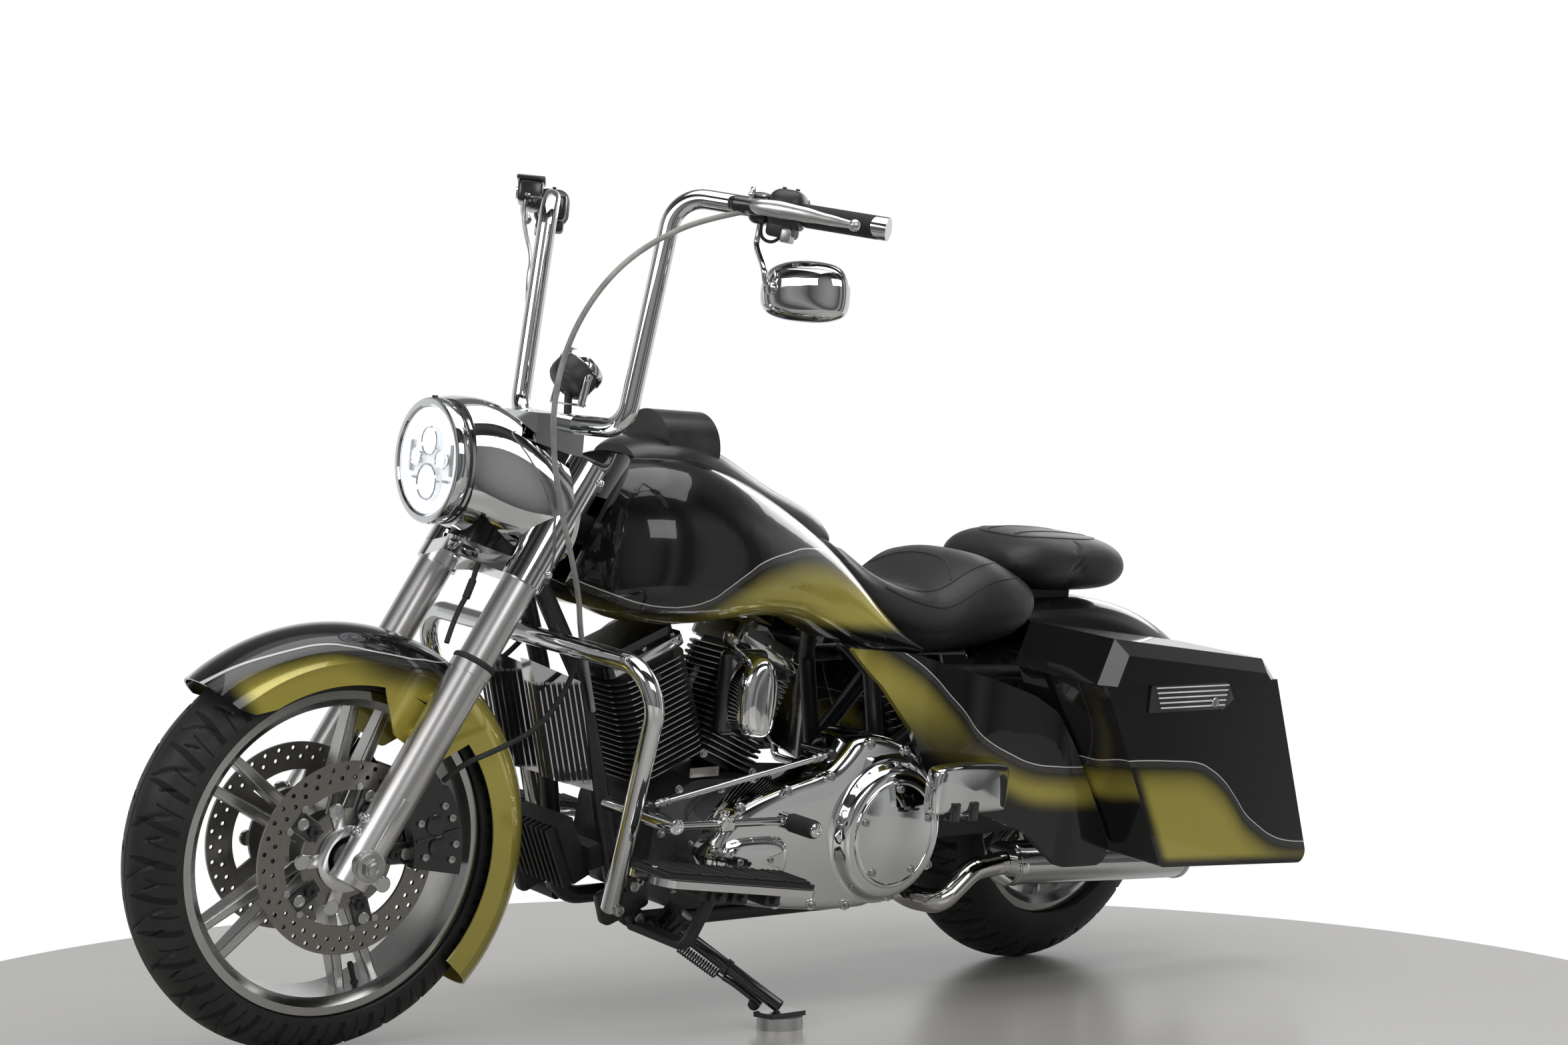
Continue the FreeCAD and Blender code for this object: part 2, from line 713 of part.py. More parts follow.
def cast_wheel(seat_r, flange_r, rim_half, barrel_r, hub_r, hub_half, axle_r, plate_half):
    """Rim, hub and paired spokes cast in one piece."""
    bead = rim_half - RIM_LIP
    step = (flange_r - barrel_r) / 2
    rim = spun([(seat_r, -bead), (flange_r, -bead), (flange_r, -rim_half), (barrel_r + step, -rim_half),
                (barrel_r, -rim_half + step), (barrel_r, rim_half - step), (barrel_r + step, rim_half),
                (flange_r, rim_half), (flange_r, bead), (seat_r, bead)])
    hub = ring(hub_r, axle_r + RUN_GAP, -hub_half, hub_half)
    plate = ring(SPOKE_ROOT_R + SPOKE_ROOT[0] / 2, axle_r + RUN_GAP, -plate_half, plate_half)
    pieces = [rim, hub, plate]
    for k in range(SPOKE_PAIRS):
        for side in (-1, 1):
            bar = spoke(SPOKE_ROOT_R, barrel_r + step / 2, side)
            pieces.append(turned(bar, k * FULL_TURN_DEG / SPOKE_PAIRS + SPOKE_PHASE_DEG))
    return fuse(pieces)


def brake_disc(y, inner_y, hub_r):
    """Floating disc on a five-armed carrier; both as one solid set."""
    half = DISC_T / 2
    band = ring(DISC_R, DISC_R - DISC_BAND, y - half, y + half)
    arms = [ring(CARRIER_R - CARRIER_ARM_W, hub_r, inner_y, inner_y + CARRIER_T)]
    for k in range(CARRIER_ARMS):
        arm = block((0, inner_y + CARRIER_T / 2, (CARRIER_R + hub_r) / 2), (CARRIER_ARM_W, CARRIER_T, CARRIER_R - hub_r))
        arms.append(turned(arm, k * FULL_TURN_DEG / CARRIER_ARMS + SPOKE_PHASE_DEG))
    carrier = fuse(arms)
    return fuse([band, carrier])


def front_wheel():
    tyre_solid = tyre(FRONT_TYRE_R, FRONT_CROWN_R, FRONT_SEAT_R, FRONT_FLANGE_R, FRONT_RIM_HALF)
    rim = cast_wheel(FRONT_SEAT_R, FRONT_FLANGE_R, FRONT_RIM_HALF, FRONT_BARREL_R,
                     FRONT_HUB_R, FRONT_HUB_HALF, FRONT_AXLE_R, FRONT_PLATE_HALF)
    disc = brake_disc(DISC_Y, DISC_Y + DISC_T / 2 - CARRIER_T, FRONT_HUB_R)
    return {"front_tyre": tyre_solid, "front_rim": rim, "front_discs": both_sides(disc)}


def rear_wheel():
    tyre_solid = tyre(REAR_TYRE_R, REAR_CROWN_R, REAR_SEAT_R, REAR_FLANGE_R, REAR_RIM_HALF)
    rim = cast_wheel(REAR_SEAT_R, REAR_FLANGE_R, REAR_RIM_HALF, REAR_BARREL_R,
                     REAR_HUB_R, REAR_HUB_HALF, REAR_AXLE_R, REAR_PLATE_HALF)
    disc_y = REAR_HUB_HALF + DISC_T
    disc = mirrored(ring(REAR_DISC_R, REAR_HUB_R / 2, REAR_HUB_HALF, disc_y))
    pulley = ring(PULLEY_R, REAR_HUB_R / 2, REAR_HUB_HALF, REAR_HUB_HALF + PULLEY_W)
    return {"rear_tyre": tyre_solid, "rear_rim": rim, "rear_disc": disc, "rear_pulley": pulley}


# Fork and steering, modelled pointing straight ahead

def leg_point(s, forward=0.0, y=0.0):
    """A point at a distance up the fork legs from the front axle."""
    a = math.radians(LEG_RAKE_DEG)
    return Vector(WHEELBASE - s * math.sin(a) + forward * math.cos(a), y,
                  FRONT_AXLE_Z + s * math.cos(a) + forward * math.sin(a))


def stem_offset(s):
    """How far the steering axis runs ahead of the leg line, at a distance up the legs."""
    slant = math.radians(LEG_RAKE_DEG - RAKE_DEG)
    return STEM_LEAD * math.cos(math.radians(LEG_RAKE_DEG)) + s * math.tan(slant)


def stem_direction():
    a = math.radians(RAKE_DEG)
    return Vector(-math.sin(a), 0, math.cos(a))


def leg_direction():
    a = math.radians(LEG_RAKE_DEG)
    return Vector(-math.sin(a), 0, math.cos(a))


def leg_rod(s_low, s_high, radius, y, forward=0.0):
    low, high = leg_point(s_low, forward, y), leg_point(s_high, forward, y)
    return Part.makeCylinder(radius, (high - low).Length, low, high - low)


def fork_sliders():
    body = leg_rod(-SLIDER_BOTTOM, SLIDER_TOP, SLIDER_R, LEG_Y)
    collar = leg_rod(SLIDER_TOP - SLIDER_COLLAR, SLIDER_TOP, SLIDER_R + OVERRUN, LEG_Y)
    boss = lateral(WHEELBASE, FRONT_AXLE_Z, LEG_Y - SLIDER_R, LEG_Y + SLIDER_R, AXLE_LUG_R)
    bore = lateral(WHEELBASE, FRONT_AXLE_Z, LEG_Y - SLIDER_R - OVERRUN, LEG_Y + SLIDER_R + OVERRUN, FRONT_AXLE_R)
    return both_sides(fuse([body, collar, boss]).cut(bore))


def fork_tubes():
    tube = leg_rod(SLIDER_TOP, UPPER_CLAMP_S + UPPER_CLAMP_T, TUBE_R, LEG_Y)
    cover = leg_rod(SLIDER_TOP, LOWER_CLAMP_S - SEAT_GAP, COVER_R, LEG_Y)
    return both_sides(fuse([tube, cover]))


def clamp_plate(s, thick):
    """Fork clamp that joins both tubes to the stem."""
    stem = stem_offset(s)
    ear = leg_rod(s, s + thick, CLAMP_EAR_R, LEG_Y)
    eye = leg_rod(s, s + thick, CLAMP_EAR_R, 0.0, stem)
    pts = [leg_point(s, stem + CLAMP_EAR_R * 0.9, 0.0), leg_point(s, CLAMP_EAR_R * 0.9, LEG_Y),
           leg_point(s, -CLAMP_EAR_R / 2, LEG_Y), leg_point(s, stem - CLAMP_EAR_R * 0.9, 0.0)]
    bar = Part.Face(Part.makePolygon(pts + pts[:1])).extrude(leg_direction() * thick)
    plate = fuse([ear, eye, bar, mirrored(ear), mirrored(bar)])
    for side in (-1, 1):
        plate = plate.cut(leg_rod(s - OVERRUN, s + thick + OVERRUN, TUBE_R, side * LEG_Y))
    return plate


def triple_clamp():
    lower = clamp_plate(LOWER_CLAMP_S, LOWER_CLAMP_T)
    upper = clamp_plate(UPPER_CLAMP_S, UPPER_CLAMP_T)
    low = leg_point(LOWER_CLAMP_S, stem_offset(LOWER_CLAMP_S))
    high = leg_point(UPPER_CLAMP_S + UPPER_CLAMP_T / 2, stem_offset(UPPER_CLAMP_S + UPPER_CLAMP_T / 2))
    stem = Part.makeCylinder(STEM_R, (high - low).Length, low, high - low)
    return largest(fuse([lower, upper, stem, riser_clamp()]))


def nacelle():
    """Chrome headlight nacelle with a cover round each fork tube, open at the back."""
    shell = loft_body(NACELLE_STATION_SHARES, ROUND_SECTION_SHARES, NACELLE_REAR_X,
                      NACELLE_FRONT_X - NACELLE_REAR_X, NACELLE_HALF_W - SEAT_GAP,
                      NACELLE_BOTTOM, NACELLE_TOP - NACELLE_BOTTOM)
    foot = LOWER_CLAMP_S + LOWER_CLAMP_T + SEAT_GAP
    covers = [leg_rod(foot, UPPER_CLAMP_S - SEAT_GAP, NACELLE_COVER_R, side * LEG_Y) for side in (-1, 1)]
    whole = fuse([shell] + covers)
    for side in (-1, 1):
        whole = whole.cut(leg_rod(0, UPPER_CLAMP_S + WHEELBASE, TUBE_R + SEAT_GAP, side * LEG_Y))
    low_x, high_x = NACELLE_REAR_X - LAMP_R * 2, leg_point(foot, stem_offset(foot) + NECK_R + MOVE_GAP).x
    room = block(((low_x + high_x) / 2, 0, (NACELLE_BOTTOM + NACELLE_TOP) / 2 - LAMP_R / 2),
                 (high_x - low_x, NACELLE_CUT_HALF * 2, NACELLE_TOP - NACELLE_BOTTOM))
    lower_plate = slab(LOWER_CLAMP_S - SEAT_GAP, LOWER_CLAMP_S + LOWER_CLAMP_T + SEAT_GAP)
    upper_plate = slab(UPPER_CLAMP_S - SEAT_GAP, UPPER_CLAMP_S + UPPER_CLAMP_T + SEAT_GAP)
    return largest(whole.cut(room).cut(lower_plate).cut(upper_plate))


def slab(s_low, s_high):
    """The space between two planes square to the fork legs, round the clamps."""
    reach = CLAMP_EAR_R * 2 + stem_offset(s_high)
    low, high = -CLAMP_EAR_R - OVERRUN, reach
    wide = LEG_Y + CLAMP_EAR_R + OVERRUN
    pts = [leg_point(s_low, low, -wide), leg_point(s_low, high, -wide),
           leg_point(s_low, high, wide), leg_point(s_low, low, wide)]
    return Part.Face(Part.makePolygon(pts + pts[:1])).extrude(leg_direction() * (s_high - s_low))


def headlight():
    """Bezel and lens: a stepped round unit with a domed glass."""
    bezel = Part.makeCylinder(LAMP_R, LAMP_DEPTH, Vector(NACELLE_FRONT_X, 0, LAMP_Z), Vector(1, 0, 0))
    well = Part.makeCylinder(LAMP_LENS_R, LAMP_DEPTH, Vector(NACELLE_FRONT_X + LAMP_DEPTH / 2, 0, LAMP_Z), Vector(1, 0, 0))
    bezel = bezel.cut(well)
    start = NACELLE_FRONT_X + LAMP_DEPTH / 2 + SEAT_GAP
    rim = Vector(start, LAMP_LENS_R - SEAT_GAP, 0)
    edge = Vector(start + LAMP_DEPTH / 2, LAMP_LENS_R - SEAT_GAP, 0)
    nose = Vector(start + LENS_DEPTH, LENS_FLAT_R, 0)
    tip = Vector(start + LENS_DEPTH, 0, 0)
    middle = Vector(start + LENS_DEPTH * 0.8, LAMP_LENS_R / 2, 0)
    dome = Part.Wire([Part.makeLine(Vector(start, 0, 0), rim), Part.makeLine(rim, edge),
                      Part.Arc(edge, middle, nose).toShape(), Part.makeLine(nose, tip),
                      Part.makeLine(tip, Vector(start, 0, 0))])
    lens = Part.Face(dome).revolve(Vector(0, 0, 0), Vector(1, 0, 0), FULL_TURN_DEG)
    lens.translate(Vector(0, 0, LAMP_Z))
    return bezel, lens


def bar_points():
    half = [(BAR_CLAMP_X, 0, BAR_CLAMP_Z), BAR_FOOT, BAR_TOP, BAR_END]
    other = [(x, -y, z) for x, y, z in half[:0:-1]]
    return other + half


def handlebar():
    bends = [0, BAR_TOP_BEND, BAR_FOOT_BEND, BAR_FOOT_BEND, BAR_FOOT_BEND, BAR_TOP_BEND, 0]
    return bent_tube(bar_points(), BAR_R, bends)


def grip_axis():
    end, top = Vector(*BAR_END), Vector(*BAR_TOP)
    along = (top - end).normalize()
    return end, along


def sleeve(start, length, outer):
    """A hollow sleeve on the bar, measured in from its end."""
    end, along = grip_axis()
    a = end + along * start
    tube = Part.makeCylinder(outer, length, a, along)
    return tube.cut(Part.makeCylinder(BAR_R + RUN_GAP, length + OVERRUN * 2, a - along * OVERRUN, along))


def grips():
    end, along = grip_axis()
    cap = Part.makeCylinder(GRIP_R, RIM_LIP, end - along * (RIM_LIP + RUN_GAP), along)
    return both_sides(Part.Compound([sleeve(0.0, GRIP_L, GRIP_R), cap]))


def control_housings():
    start = GRIP_L + SWITCH_GAP
    return both_sides(sleeve(start, SWITCH_L, SWITCH_R))


def levers():
    """Perch clamp and blade of each hand lever."""
    end, along = grip_axis()
    start = GRIP_L + SWITCH_GAP * 2 + SWITCH_L
    clamp = sleeve(start, PERCH_L, SWITCH_R * 0.9)
    ahead = along.cross(Vector(0, 0, 1)).normalize()
    if ahead.x < 0:
        ahead = ahead * -1
    root = end + along * (start + PERCH_L / 2)
    knuckle = root + ahead * (SWITCH_R * 1.9)
    arm = rod(root + ahead * (BAR_R + LEVER_R / 2), knuckle, LEVER_BALL_R)
    tip = end + along * (GRIP_L * 0.12) + ahead * LEVER_REACH * 0.8
    mid = knuckle + (tip - knuckle) * 0.45 + ahead * (LEVER_R * 1.2)
    blade = bent_tube([knuckle, mid, tip], LEVER_R, LEVER_REACH)
    ball = Part.makeSphere(LEVER_BALL_R, tip)
    return both_sides(fuse([clamp, arm, blade, ball]))


def mirror_left():
    """Rounded mirror head hung on a slim stem below each perch."""
    end, along = grip_axis()
    root = end + along * (GRIP_L + SWITCH_GAP * 2 + SWITCH_L + PERCH_L / 2)
    top = root - Vector(0, 0, SWITCH_R * 0.9 + SEAT_GAP)
    down = top - Vector(0, 0, SWITCH_R)
    head = Vector(*MIRROR_C)
    body = block((0, 0, 0), (MIRROR_T, MIRROR_W, MIRROR_H))
    corners = [e for e in body.Edges if abs(e.tangentAt(e.FirstParameter).x) > 0.9]
    body = body.makeFillet(MIRROR_H / 3, corners)
    body.rotate(Vector(0, 0, 0), Vector(0, 0, 1), RAKE_DEG)
    body.translate(head)
    elbow = Vector(top.x + LEVER_REACH / 2, top.y, (top.z + head.z) / 2)
    stem = bent_tube([top, down, elbow, head], MIRROR_STEM_R, LEVER_REACH / 2)
    return fuse([body, stem])


def riser_clamp():
    """Block on the upper clamp that grips the handlebar."""
    high = leg_point(UPPER_CLAMP_S + UPPER_CLAMP_T, stem_offset(UPPER_CLAMP_S))
    foot = Part.makeBox(RISER_BLOCK[0], RISER_BLOCK[1], BAR_CLAMP_Z - high.z + BAR_R * 2,
                        Vector(BAR_CLAMP_X - RISER_BACK, -RISER_BLOCK[1] / 2, high.z - BAR_R))
    lower = slab(0, UPPER_CLAMP_S + UPPER_CLAMP_T / 2)
    return largest(foot.cut(lower).cut(handlebar()))


def gauge():
    """Round instrument in its cup on a short post."""
    axis = Vector(-1, 0, 1).normalize()
    centre = Vector(*GAUGE_C)
    cup = Part.makeCylinder(GAUGE_R, GAUGE_T, centre - axis * GAUGE_T / 2, axis)
    foot = Vector(BAR_CLAMP_X, 0, BAR_CLAMP_Z + BAR_R * 2 + SEAT_GAP)
    base = Part.makeCylinder(GAUGE_POST_R * 2, GAUGE_POST_R, foot, Vector(0, 0, 1))
    post = rod(foot + Vector(0, 0, GAUGE_POST_R), centre, GAUGE_POST_R)
    return fuse([cup, base, post])


def front_fender():
    """Deep wrap-round fender made of one rolled sheet."""
    def arch(outer_r, half, edge_r):
        crown = Vector(outer_r, 0, 0)
        shoulder = Vector(outer_r - half * 0.22, half * 0.72, 0)
        side = Vector(outer_r - half * 0.62, half, 0)
        foot = Vector(edge_r, half, 0)
        curve = Part.BSplineCurve()
        curve.interpolate([Vector(side.x, -side.y, 0), Vector(shoulder.x, -shoulder.y, 0), crown, shoulder, side])
        low_foot = Vector(foot.x, -foot.y, 0)
        low_side = Vector(side.x, -side.y, 0)
        return Part.Face(Part.Wire([Part.makeLine(low_foot, low_side), curve.toShape(),
                                    Part.makeLine(side, foot), Part.makeLine(foot, low_foot)]))
    outer = arch(FENDER_R, FENDER_HALF, FENDER_EDGE_R)
    inner = arch(FENDER_R - FENDER_T, FENDER_HALF - FENDER_T, FENDER_EDGE_R - OVERRUN)
    sweep = FENDER_END_DEG - FENDER_START_DEG
    origin, axis = Vector(0, 0, 0), Vector(0, 1, 0)
    solid = outer.revolve(origin, axis, sweep).cut(inner.revolve(origin, axis, sweep))
    solid.rotate(origin, axis, -FENDER_END_DEG)
    front = prism([polar(r, a) for r, a in FENDER_FRONT_POLAR], -FENDER_R, FENDER_R)
    tongue = prism([polar(r, a) for r, a in FENDER_TONGUE_POLAR], FENDER_HALF - FENDER_T, FENDER_HALF, FENDER_TONGUE_ROUND)
    solid = fuse([solid.cut(front), tongue, mirrored(tongue)])
    solid.translate(Vector(WHEELBASE, 0, FRONT_AXLE_Z))
    bosses = []
    for s in FENDER_BOSSES:
        at = leg_point(s)
        for side in (-1, 1):
            near, far = sorted((side * (FENDER_HALF - FENDER_T), side * (LEG_Y - SLIDER_R - SEAT_GAP)))
            bosses.append(lateral(at.x, at.z, near, far, FENDER_BOSS_R))
    return fuse([solid] + bosses)


def front_axle():
    bar = lateral(WHEELBASE, FRONT_AXLE_Z, -LEG_Y - SLIDER_R - RIM_LIP, LEG_Y + SLIDER_R + RIM_LIP, FRONT_AXLE_R)
    return bar


def caliper(disc_y, disc_r, outer_r, half_t, at_deg, hanger_polar, hanger_y):
    """Caliper body over the edge of a disc, with the lug that holds it, about the wheel's centre."""
    wedge = Part.Face(Part.Wire([
        Part.makeCircle(outer_r, Vector(0, 0, 0), Vector(0, 1, 0), -CALIPER_HALF_DEG, CALIPER_HALF_DEG),
    ] + arc_sides(CALIPER_IN_R, outer_r, CALIPER_HALF_DEG)))
    body = wedge.extrude(Vector(0, half_t * 2, 0))
    body.translate(Vector(0, disc_y - half_t, 0))
    body.rotate(Vector(0, 0, 0), Vector(0, 1, 0), -at_deg)
    slot = lateral(0, 0, disc_y - CALIPER_SLOT / 2, disc_y + CALIPER_SLOT / 2, disc_r + MOVE_GAP)
    hanger = prism([polar(r, a) for r, a in hanger_polar], disc_y + CALIPER_SLOT / 2 + OVERRUN, hanger_y)
    return fuse([body.cut(slot), hanger])


def front_calipers():
    """A caliper behind each fork leg."""
    body = caliper(DISC_Y, DISC_R, CALIPER_OUT_R, CALIPER_HALF_T, FRONT_CALIPER_DEG,
                   CALIPER_HANGER_POLAR, DISC_Y + CALIPER_HALF_T)
    body.translate(Vector(WHEELBASE, 0, FRONT_AXLE_Z))
    leg = leg_rod(-SLIDER_BOTTOM * 2, SLIDER_TOP, SLIDER_R + SEAT_GAP, LEG_Y)
    return both_sides(body.cut(leg))


def rear_caliper():
    """The caliper over the rear disc, held by the swingarm."""
    disc_y = REAR_HUB_HALF + DISC_T / 2
    body = caliper(disc_y, REAR_DISC_R, REAR_CALIPER_OUT_R, REAR_CALIPER_HALF_T, REAR_CALIPER_DEG,
                   REAR_HANGER_POLAR, SWING_Y - SWING_W / 2 - SEAT_GAP)
    body.translate(Vector(0, 0, REAR_TYRE_R))
    return mirrored(body)


def arc_sides(inner, outer, half_deg):
    """Two straight sides and the inner arc of a caliper's outline."""
    a = math.radians(half_deg)
    def at(r, angle):
        return Vector(r * math.cos(angle), 0, -r * math.sin(angle))
    inner_arc = Part.Arc(at(inner, -a), Vector(inner, 0, 0), at(inner, a)).toShape()
    return [Part.makeLine(at(outer, a), at(inner, a)), inner_arc, Part.makeLine(at(inner, -a), at(outer, -a))]


def steering():
    bezel, lens = headlight()
    return {
        "fork_sliders": fork_sliders(), "fork_tubes": fork_tubes(), "triple_clamp": triple_clamp(),
        "headlight_nacelle": fuse([nacelle(), bezel]), "headlight_lens": lens,
        "handlebar": handlebar(), "grips": grips(),
        "control_housings": control_housings(), "levers": levers(), "mirror": mirror_left(),
        "gauge": gauge(), "front_fender": front_fender(), "front_axle": front_axle(),
        "front_calipers": front_calipers(),
    }


# Frame and engine

def neck_span():
    low = LOWER_CLAMP_S + LOWER_CLAMP_T + MOVE_GAP
    high = UPPER_CLAMP_S - MOVE_GAP
    return leg_point(low, stem_offset(low)), leg_point(high, stem_offset(high))


def frame():
    low, high = neck_span()
    along = high - low
    neck = Part.makeCylinder(NECK_R, along.Length, low, along)
    middle = low + along * 0.5
    spine = rod(middle, BACKBONE_REAR, BACKBONE_R)
    gusset_top = low + along * 0.3
    pieces = [neck, spine, rod(gusset_top, (DOWN_TOP[0], 0, DOWN_TOP[2]), BACKBONE_R)]
    left = [
        bent_tube([DOWN_TOP, DOWN_MID, DOWN_FOOT, RAIL_REAR, UPRIGHT_TOP, BACKBONE_REAR],
                  FRAME_TUBE_R, [0, FRAME_BEND * 2, FRAME_BEND, FRAME_BEND, FRAME_BEND / 2, 0]),
        bent_tube([UPRIGHT_TOP, SEAT_RAIL_MID, SEAT_RAIL_REAR], FRAME_TUBE_R, FRAME_BEND * 2),
        rod(STRUT_FOOT, SEAT_RAIL_MID, FRAME_TUBE_R),
        block(PIVOT_PLATE_C, PIVOT_PLATE), block(PIVOT_LINK_C, PIVOT_LINK),
        rod(between(DOWN_TOP, DOWN_MID, GUARD_LUG_SHARE), guard_top_lug(), LUG_R),
        rod(between(DOWN_FOOT, DOWN_MID, GUARD_FOOT_SHARE), GUARD_FOOT, LUG_R),
    ]
    pieces += left + [mirrored(s) for s in left] + stand_bracket()
    whole = fuse(pieces)
    bore = Part.makeCylinder(STEM_R + RUN_GAP, along.Length + OVERRUN * 2,
                             low - along.normalize() * OVERRUN, along)
    cross = lateral(RAIL_REAR[0] + FRAME_TUBE_R, RAIL_REAR[2] + FRAME_BEND, -RAIL_REAR[1], RAIL_REAR[1], FRAME_TUBE_R)
    pieces = [whole, cross, lateral(TANK_MOUNT[0], TANK_MOUNT[1], -TUNNEL_HALF + SEAT_GAP, TUNNEL_HALF - SEAT_GAP, LUG_R)]
    cover = side_covers().Solids[0].translated(Vector(0, -SEAT_GAP, 0))
    x, z = COVER_STUB
    stub = lateral(x, z, SEAT_RAIL_MID[1] / 2, BAG_IN_Y, LUG_R).cut(cover)
    stub = min(stub.Solids, key=lambda solid: solid.CenterOfMass.y)
    stubs = [stub]
    for x in BAG_STUBS_X:
        stubs.append(lateral(x, SEAT_RAIL_REAR[2], SEAT_RAIL_REAR[1], BAG_IN_Y - SEAT_GAP, LUG_R))
    pieces += stubs + [mirrored(s) for s in stubs]
    return fuse(pieces).cut(bore).cut(crash_bar(SEAT_GAP))


def between(start, end, share):
    """A point at a share of the way from one point to another."""
    return tuple(a + (b - a) * share for a, b in zip(start, end))


def guard_top_lug():
    """Where the engine guard's top bar passes in front of a downtube."""
    y = between(DOWN_TOP, DOWN_MID, GUARD_LUG_SHARE)[1]
    return GUARD_CORNER[0], y, GUARD_CORNER[2]


def stand_bracket():
    """A fork of two ears and a pin, on a stub from the lower rail, for the stand's eye."""
    axis = Vector(*STAND_AXIS).normalize()
    pivot = Vector(*STAND_PIVOT)
    rail = Vector(pivot.x, RAIL_REAR[1], RAIL_REAR[2])
    inward = rail - pivot
    inward = (inward - axis * inward.dot(axis)).normalize()
    across = axis.cross(inward)
    half = STAND_EYE_L / 2 + SEAT_GAP + STAND_EAR_T
    reach = STAND_EYE_R + SHEET * 2 + STAND_WEB
    pieces = [Part.makeCylinder(STAND_PIN_R, half * 2, pivot - axis * half, axis)]
    for start in (-half, half - STAND_EAR_T):
        base = pivot + axis * start
        pieces.append(Part.makeCylinder(STAND_EYE_R, STAND_EAR_T, base, axis))
        pieces.append(slab_between(base, across * STAND_EYE_R, inward * reach, axis * STAND_EAR_T))
    web = pivot - axis * half + inward * (reach - STAND_WEB)
    pieces.append(slab_between(web, across * STAND_EYE_R, inward * STAND_WEB, axis * half * 2))
    pieces.append(rod(pivot + inward * (reach - STAND_WEB / 2), rail, STAND_LUG_R))
    return pieces


def slab_between(base, half_width, length, thickness):
    """A box set out by three directions from the middle of one end."""
    pts = [base - half_width, base + half_width, base + half_width + length, base - half_width + length]
    return Part.Face(Part.makePolygon(pts + pts[:1])).extrude(thickness)


def along_cylinder(shape, lean_deg):
    """Turn what is modelled upright over the crank to one cylinder's lean."""
    shape.rotate(Vector(0, 0, 0), Vector(0, 1, 0), lean_deg)
    shape.translate(Vector(CRANK_X, 0, CRANK_Z))
    return shape


def fin_plate(z, thick, length, width, corner):
    pts = [(-length / 2, -width / 2, z), (length / 2, -width / 2, z), (length / 2, width / 2, z), (-length / 2, width / 2, z)]
    return Part.Face(rounded_path(pts, corner, closed=True)).extrude(Vector(0, 0, thick))


def cylinder_barrel():
    top = FIN_START + FIN_COUNT * FIN_PITCH
    parts = [Part.makeCylinder(BARREL_R, top - FIN_START + FIN_PITCH, Vector(0, 0, FIN_START - FIN_PITCH))]
    for k in range(FIN_COUNT):
        parts.append(fin_plate(FIN_START + k * FIN_PITCH, FIN_T, FIN_LEN, FIN_WIDTH, FIN_CORNER))
    return fuse(parts)


def cylinder_head():
    base = FIN_START + FIN_COUNT * FIN_PITCH
    core = fin_plate(base, HEAD_H, FIN_LEN - FIN_CORNER, FIN_WIDTH - FIN_CORNER, FIN_CORNER / 2)
    parts = [core]
    for k in range(HEAD_FINS):
        parts.append(fin_plate(base + k * FIN_PITCH, FIN_T, FIN_LEN, FIN_WIDTH, FIN_CORNER))
    return fuse(parts)


def rocker_cover():
    base = FIN_START + FIN_COUNT * FIN_PITCH + HEAD_H
    low = fin_plate(base, ROCKER_H / 2, ROCKER_LEN, ROCKER_WIDTH, FIN_CORNER / 2)
    top = fin_plate(base + ROCKER_H / 2, ROCKER_H / 2, ROCKER_LEN - FIN_CORNER / 2, ROCKER_WIDTH - FIN_CORNER / 2, FIN_CORNER / 2)
    return fuse([low, top])


def engine():
    case = prism(outline(CASE_OUTLINE_SHARES, CASE_REAR_X, CASE_LOW, CASE_FRONT_X - CASE_REAR_X, CASE_TOP - CASE_LOW),
                 -CASE_HALF_W, CASE_HALF_W, CASE_ROUND)
    both = (V_HALF_DEG, -V_HALF_DEG)
    barrels = [along_cylinder(cylinder_barrel(), a) for a in both]
    heads = [along_cylinder(cylinder_head(), a) for a in both]
    rockers = [along_cylinder(rocker_cover(), a) for a in both]
    for k in range(2):
        barrels[k] = barrels[k].cut(case)
    front, rear = barrels
    middle = block((CRANK_X, 0, CRANK_Z + FIN_START * 2), (SEAT_GAP, FIN_WIDTH * 2, FIN_START * 4))
    barrels = [halved(front, 1), halved(rear, -1)]
    heads = [halved(heads[0], 1), halved(heads[1], -1)]
    return case, barrels, heads, rockers


def halved(shape, side):
    """Keep what lies on one side of the plane between the cylinders."""
    far = FIN_START * 8
    x = CRANK_X + SEAT_GAP / 2 if side > 0 else CRANK_X - SEAT_GAP / 2 - far
    keep = Part.makeBox(far, far, far, Vector(x, -far / 2, CRANK_Z - far / 2))
    return shape.common(keep)


def primary_cover():
    pts = outline(PRIMARY_OUTLINE_SHARES, PRIMARY_X, PRIMARY_Z, PRIMARY_LEN, PRIMARY_H)
    base = prism(pts, PRIMARY_IN_Y, PRIMARY_OUT_Y, PRIMARY_ROUND)
    cushion = lateral(DERBY_X, DERBY_Z, PRIMARY_OUT_Y - OVERRUN, PRIMARY_OUT_Y + DERBY_RING_H, DERBY_RING_R)
    hatch_pts = [(HATCH_X - HATCH_LEN / 2, HATCH_Z - HATCH_H / 2), (HATCH_X + HATCH_LEN / 2, HATCH_Z - HATCH_H / 2),
                 (HATCH_X + HATCH_LEN / 2, HATCH_Z + HATCH_H / 2), (HATCH_X - HATCH_LEN / 2, HATCH_Z + HATCH_H / 2)]
    hatch = prism(hatch_pts, PRIMARY_OUT_Y - OVERRUN, PRIMARY_OUT_Y + HATCH_RISE, HATCH_H / 2)
    y = PRIMARY_OUT_Y + DERBY_RING_H
    derby = lateral(DERBY_X, DERBY_Z, y, y + DERBY_H, DERBY_R)
    return fuse([base, cushion, hatch, derby])


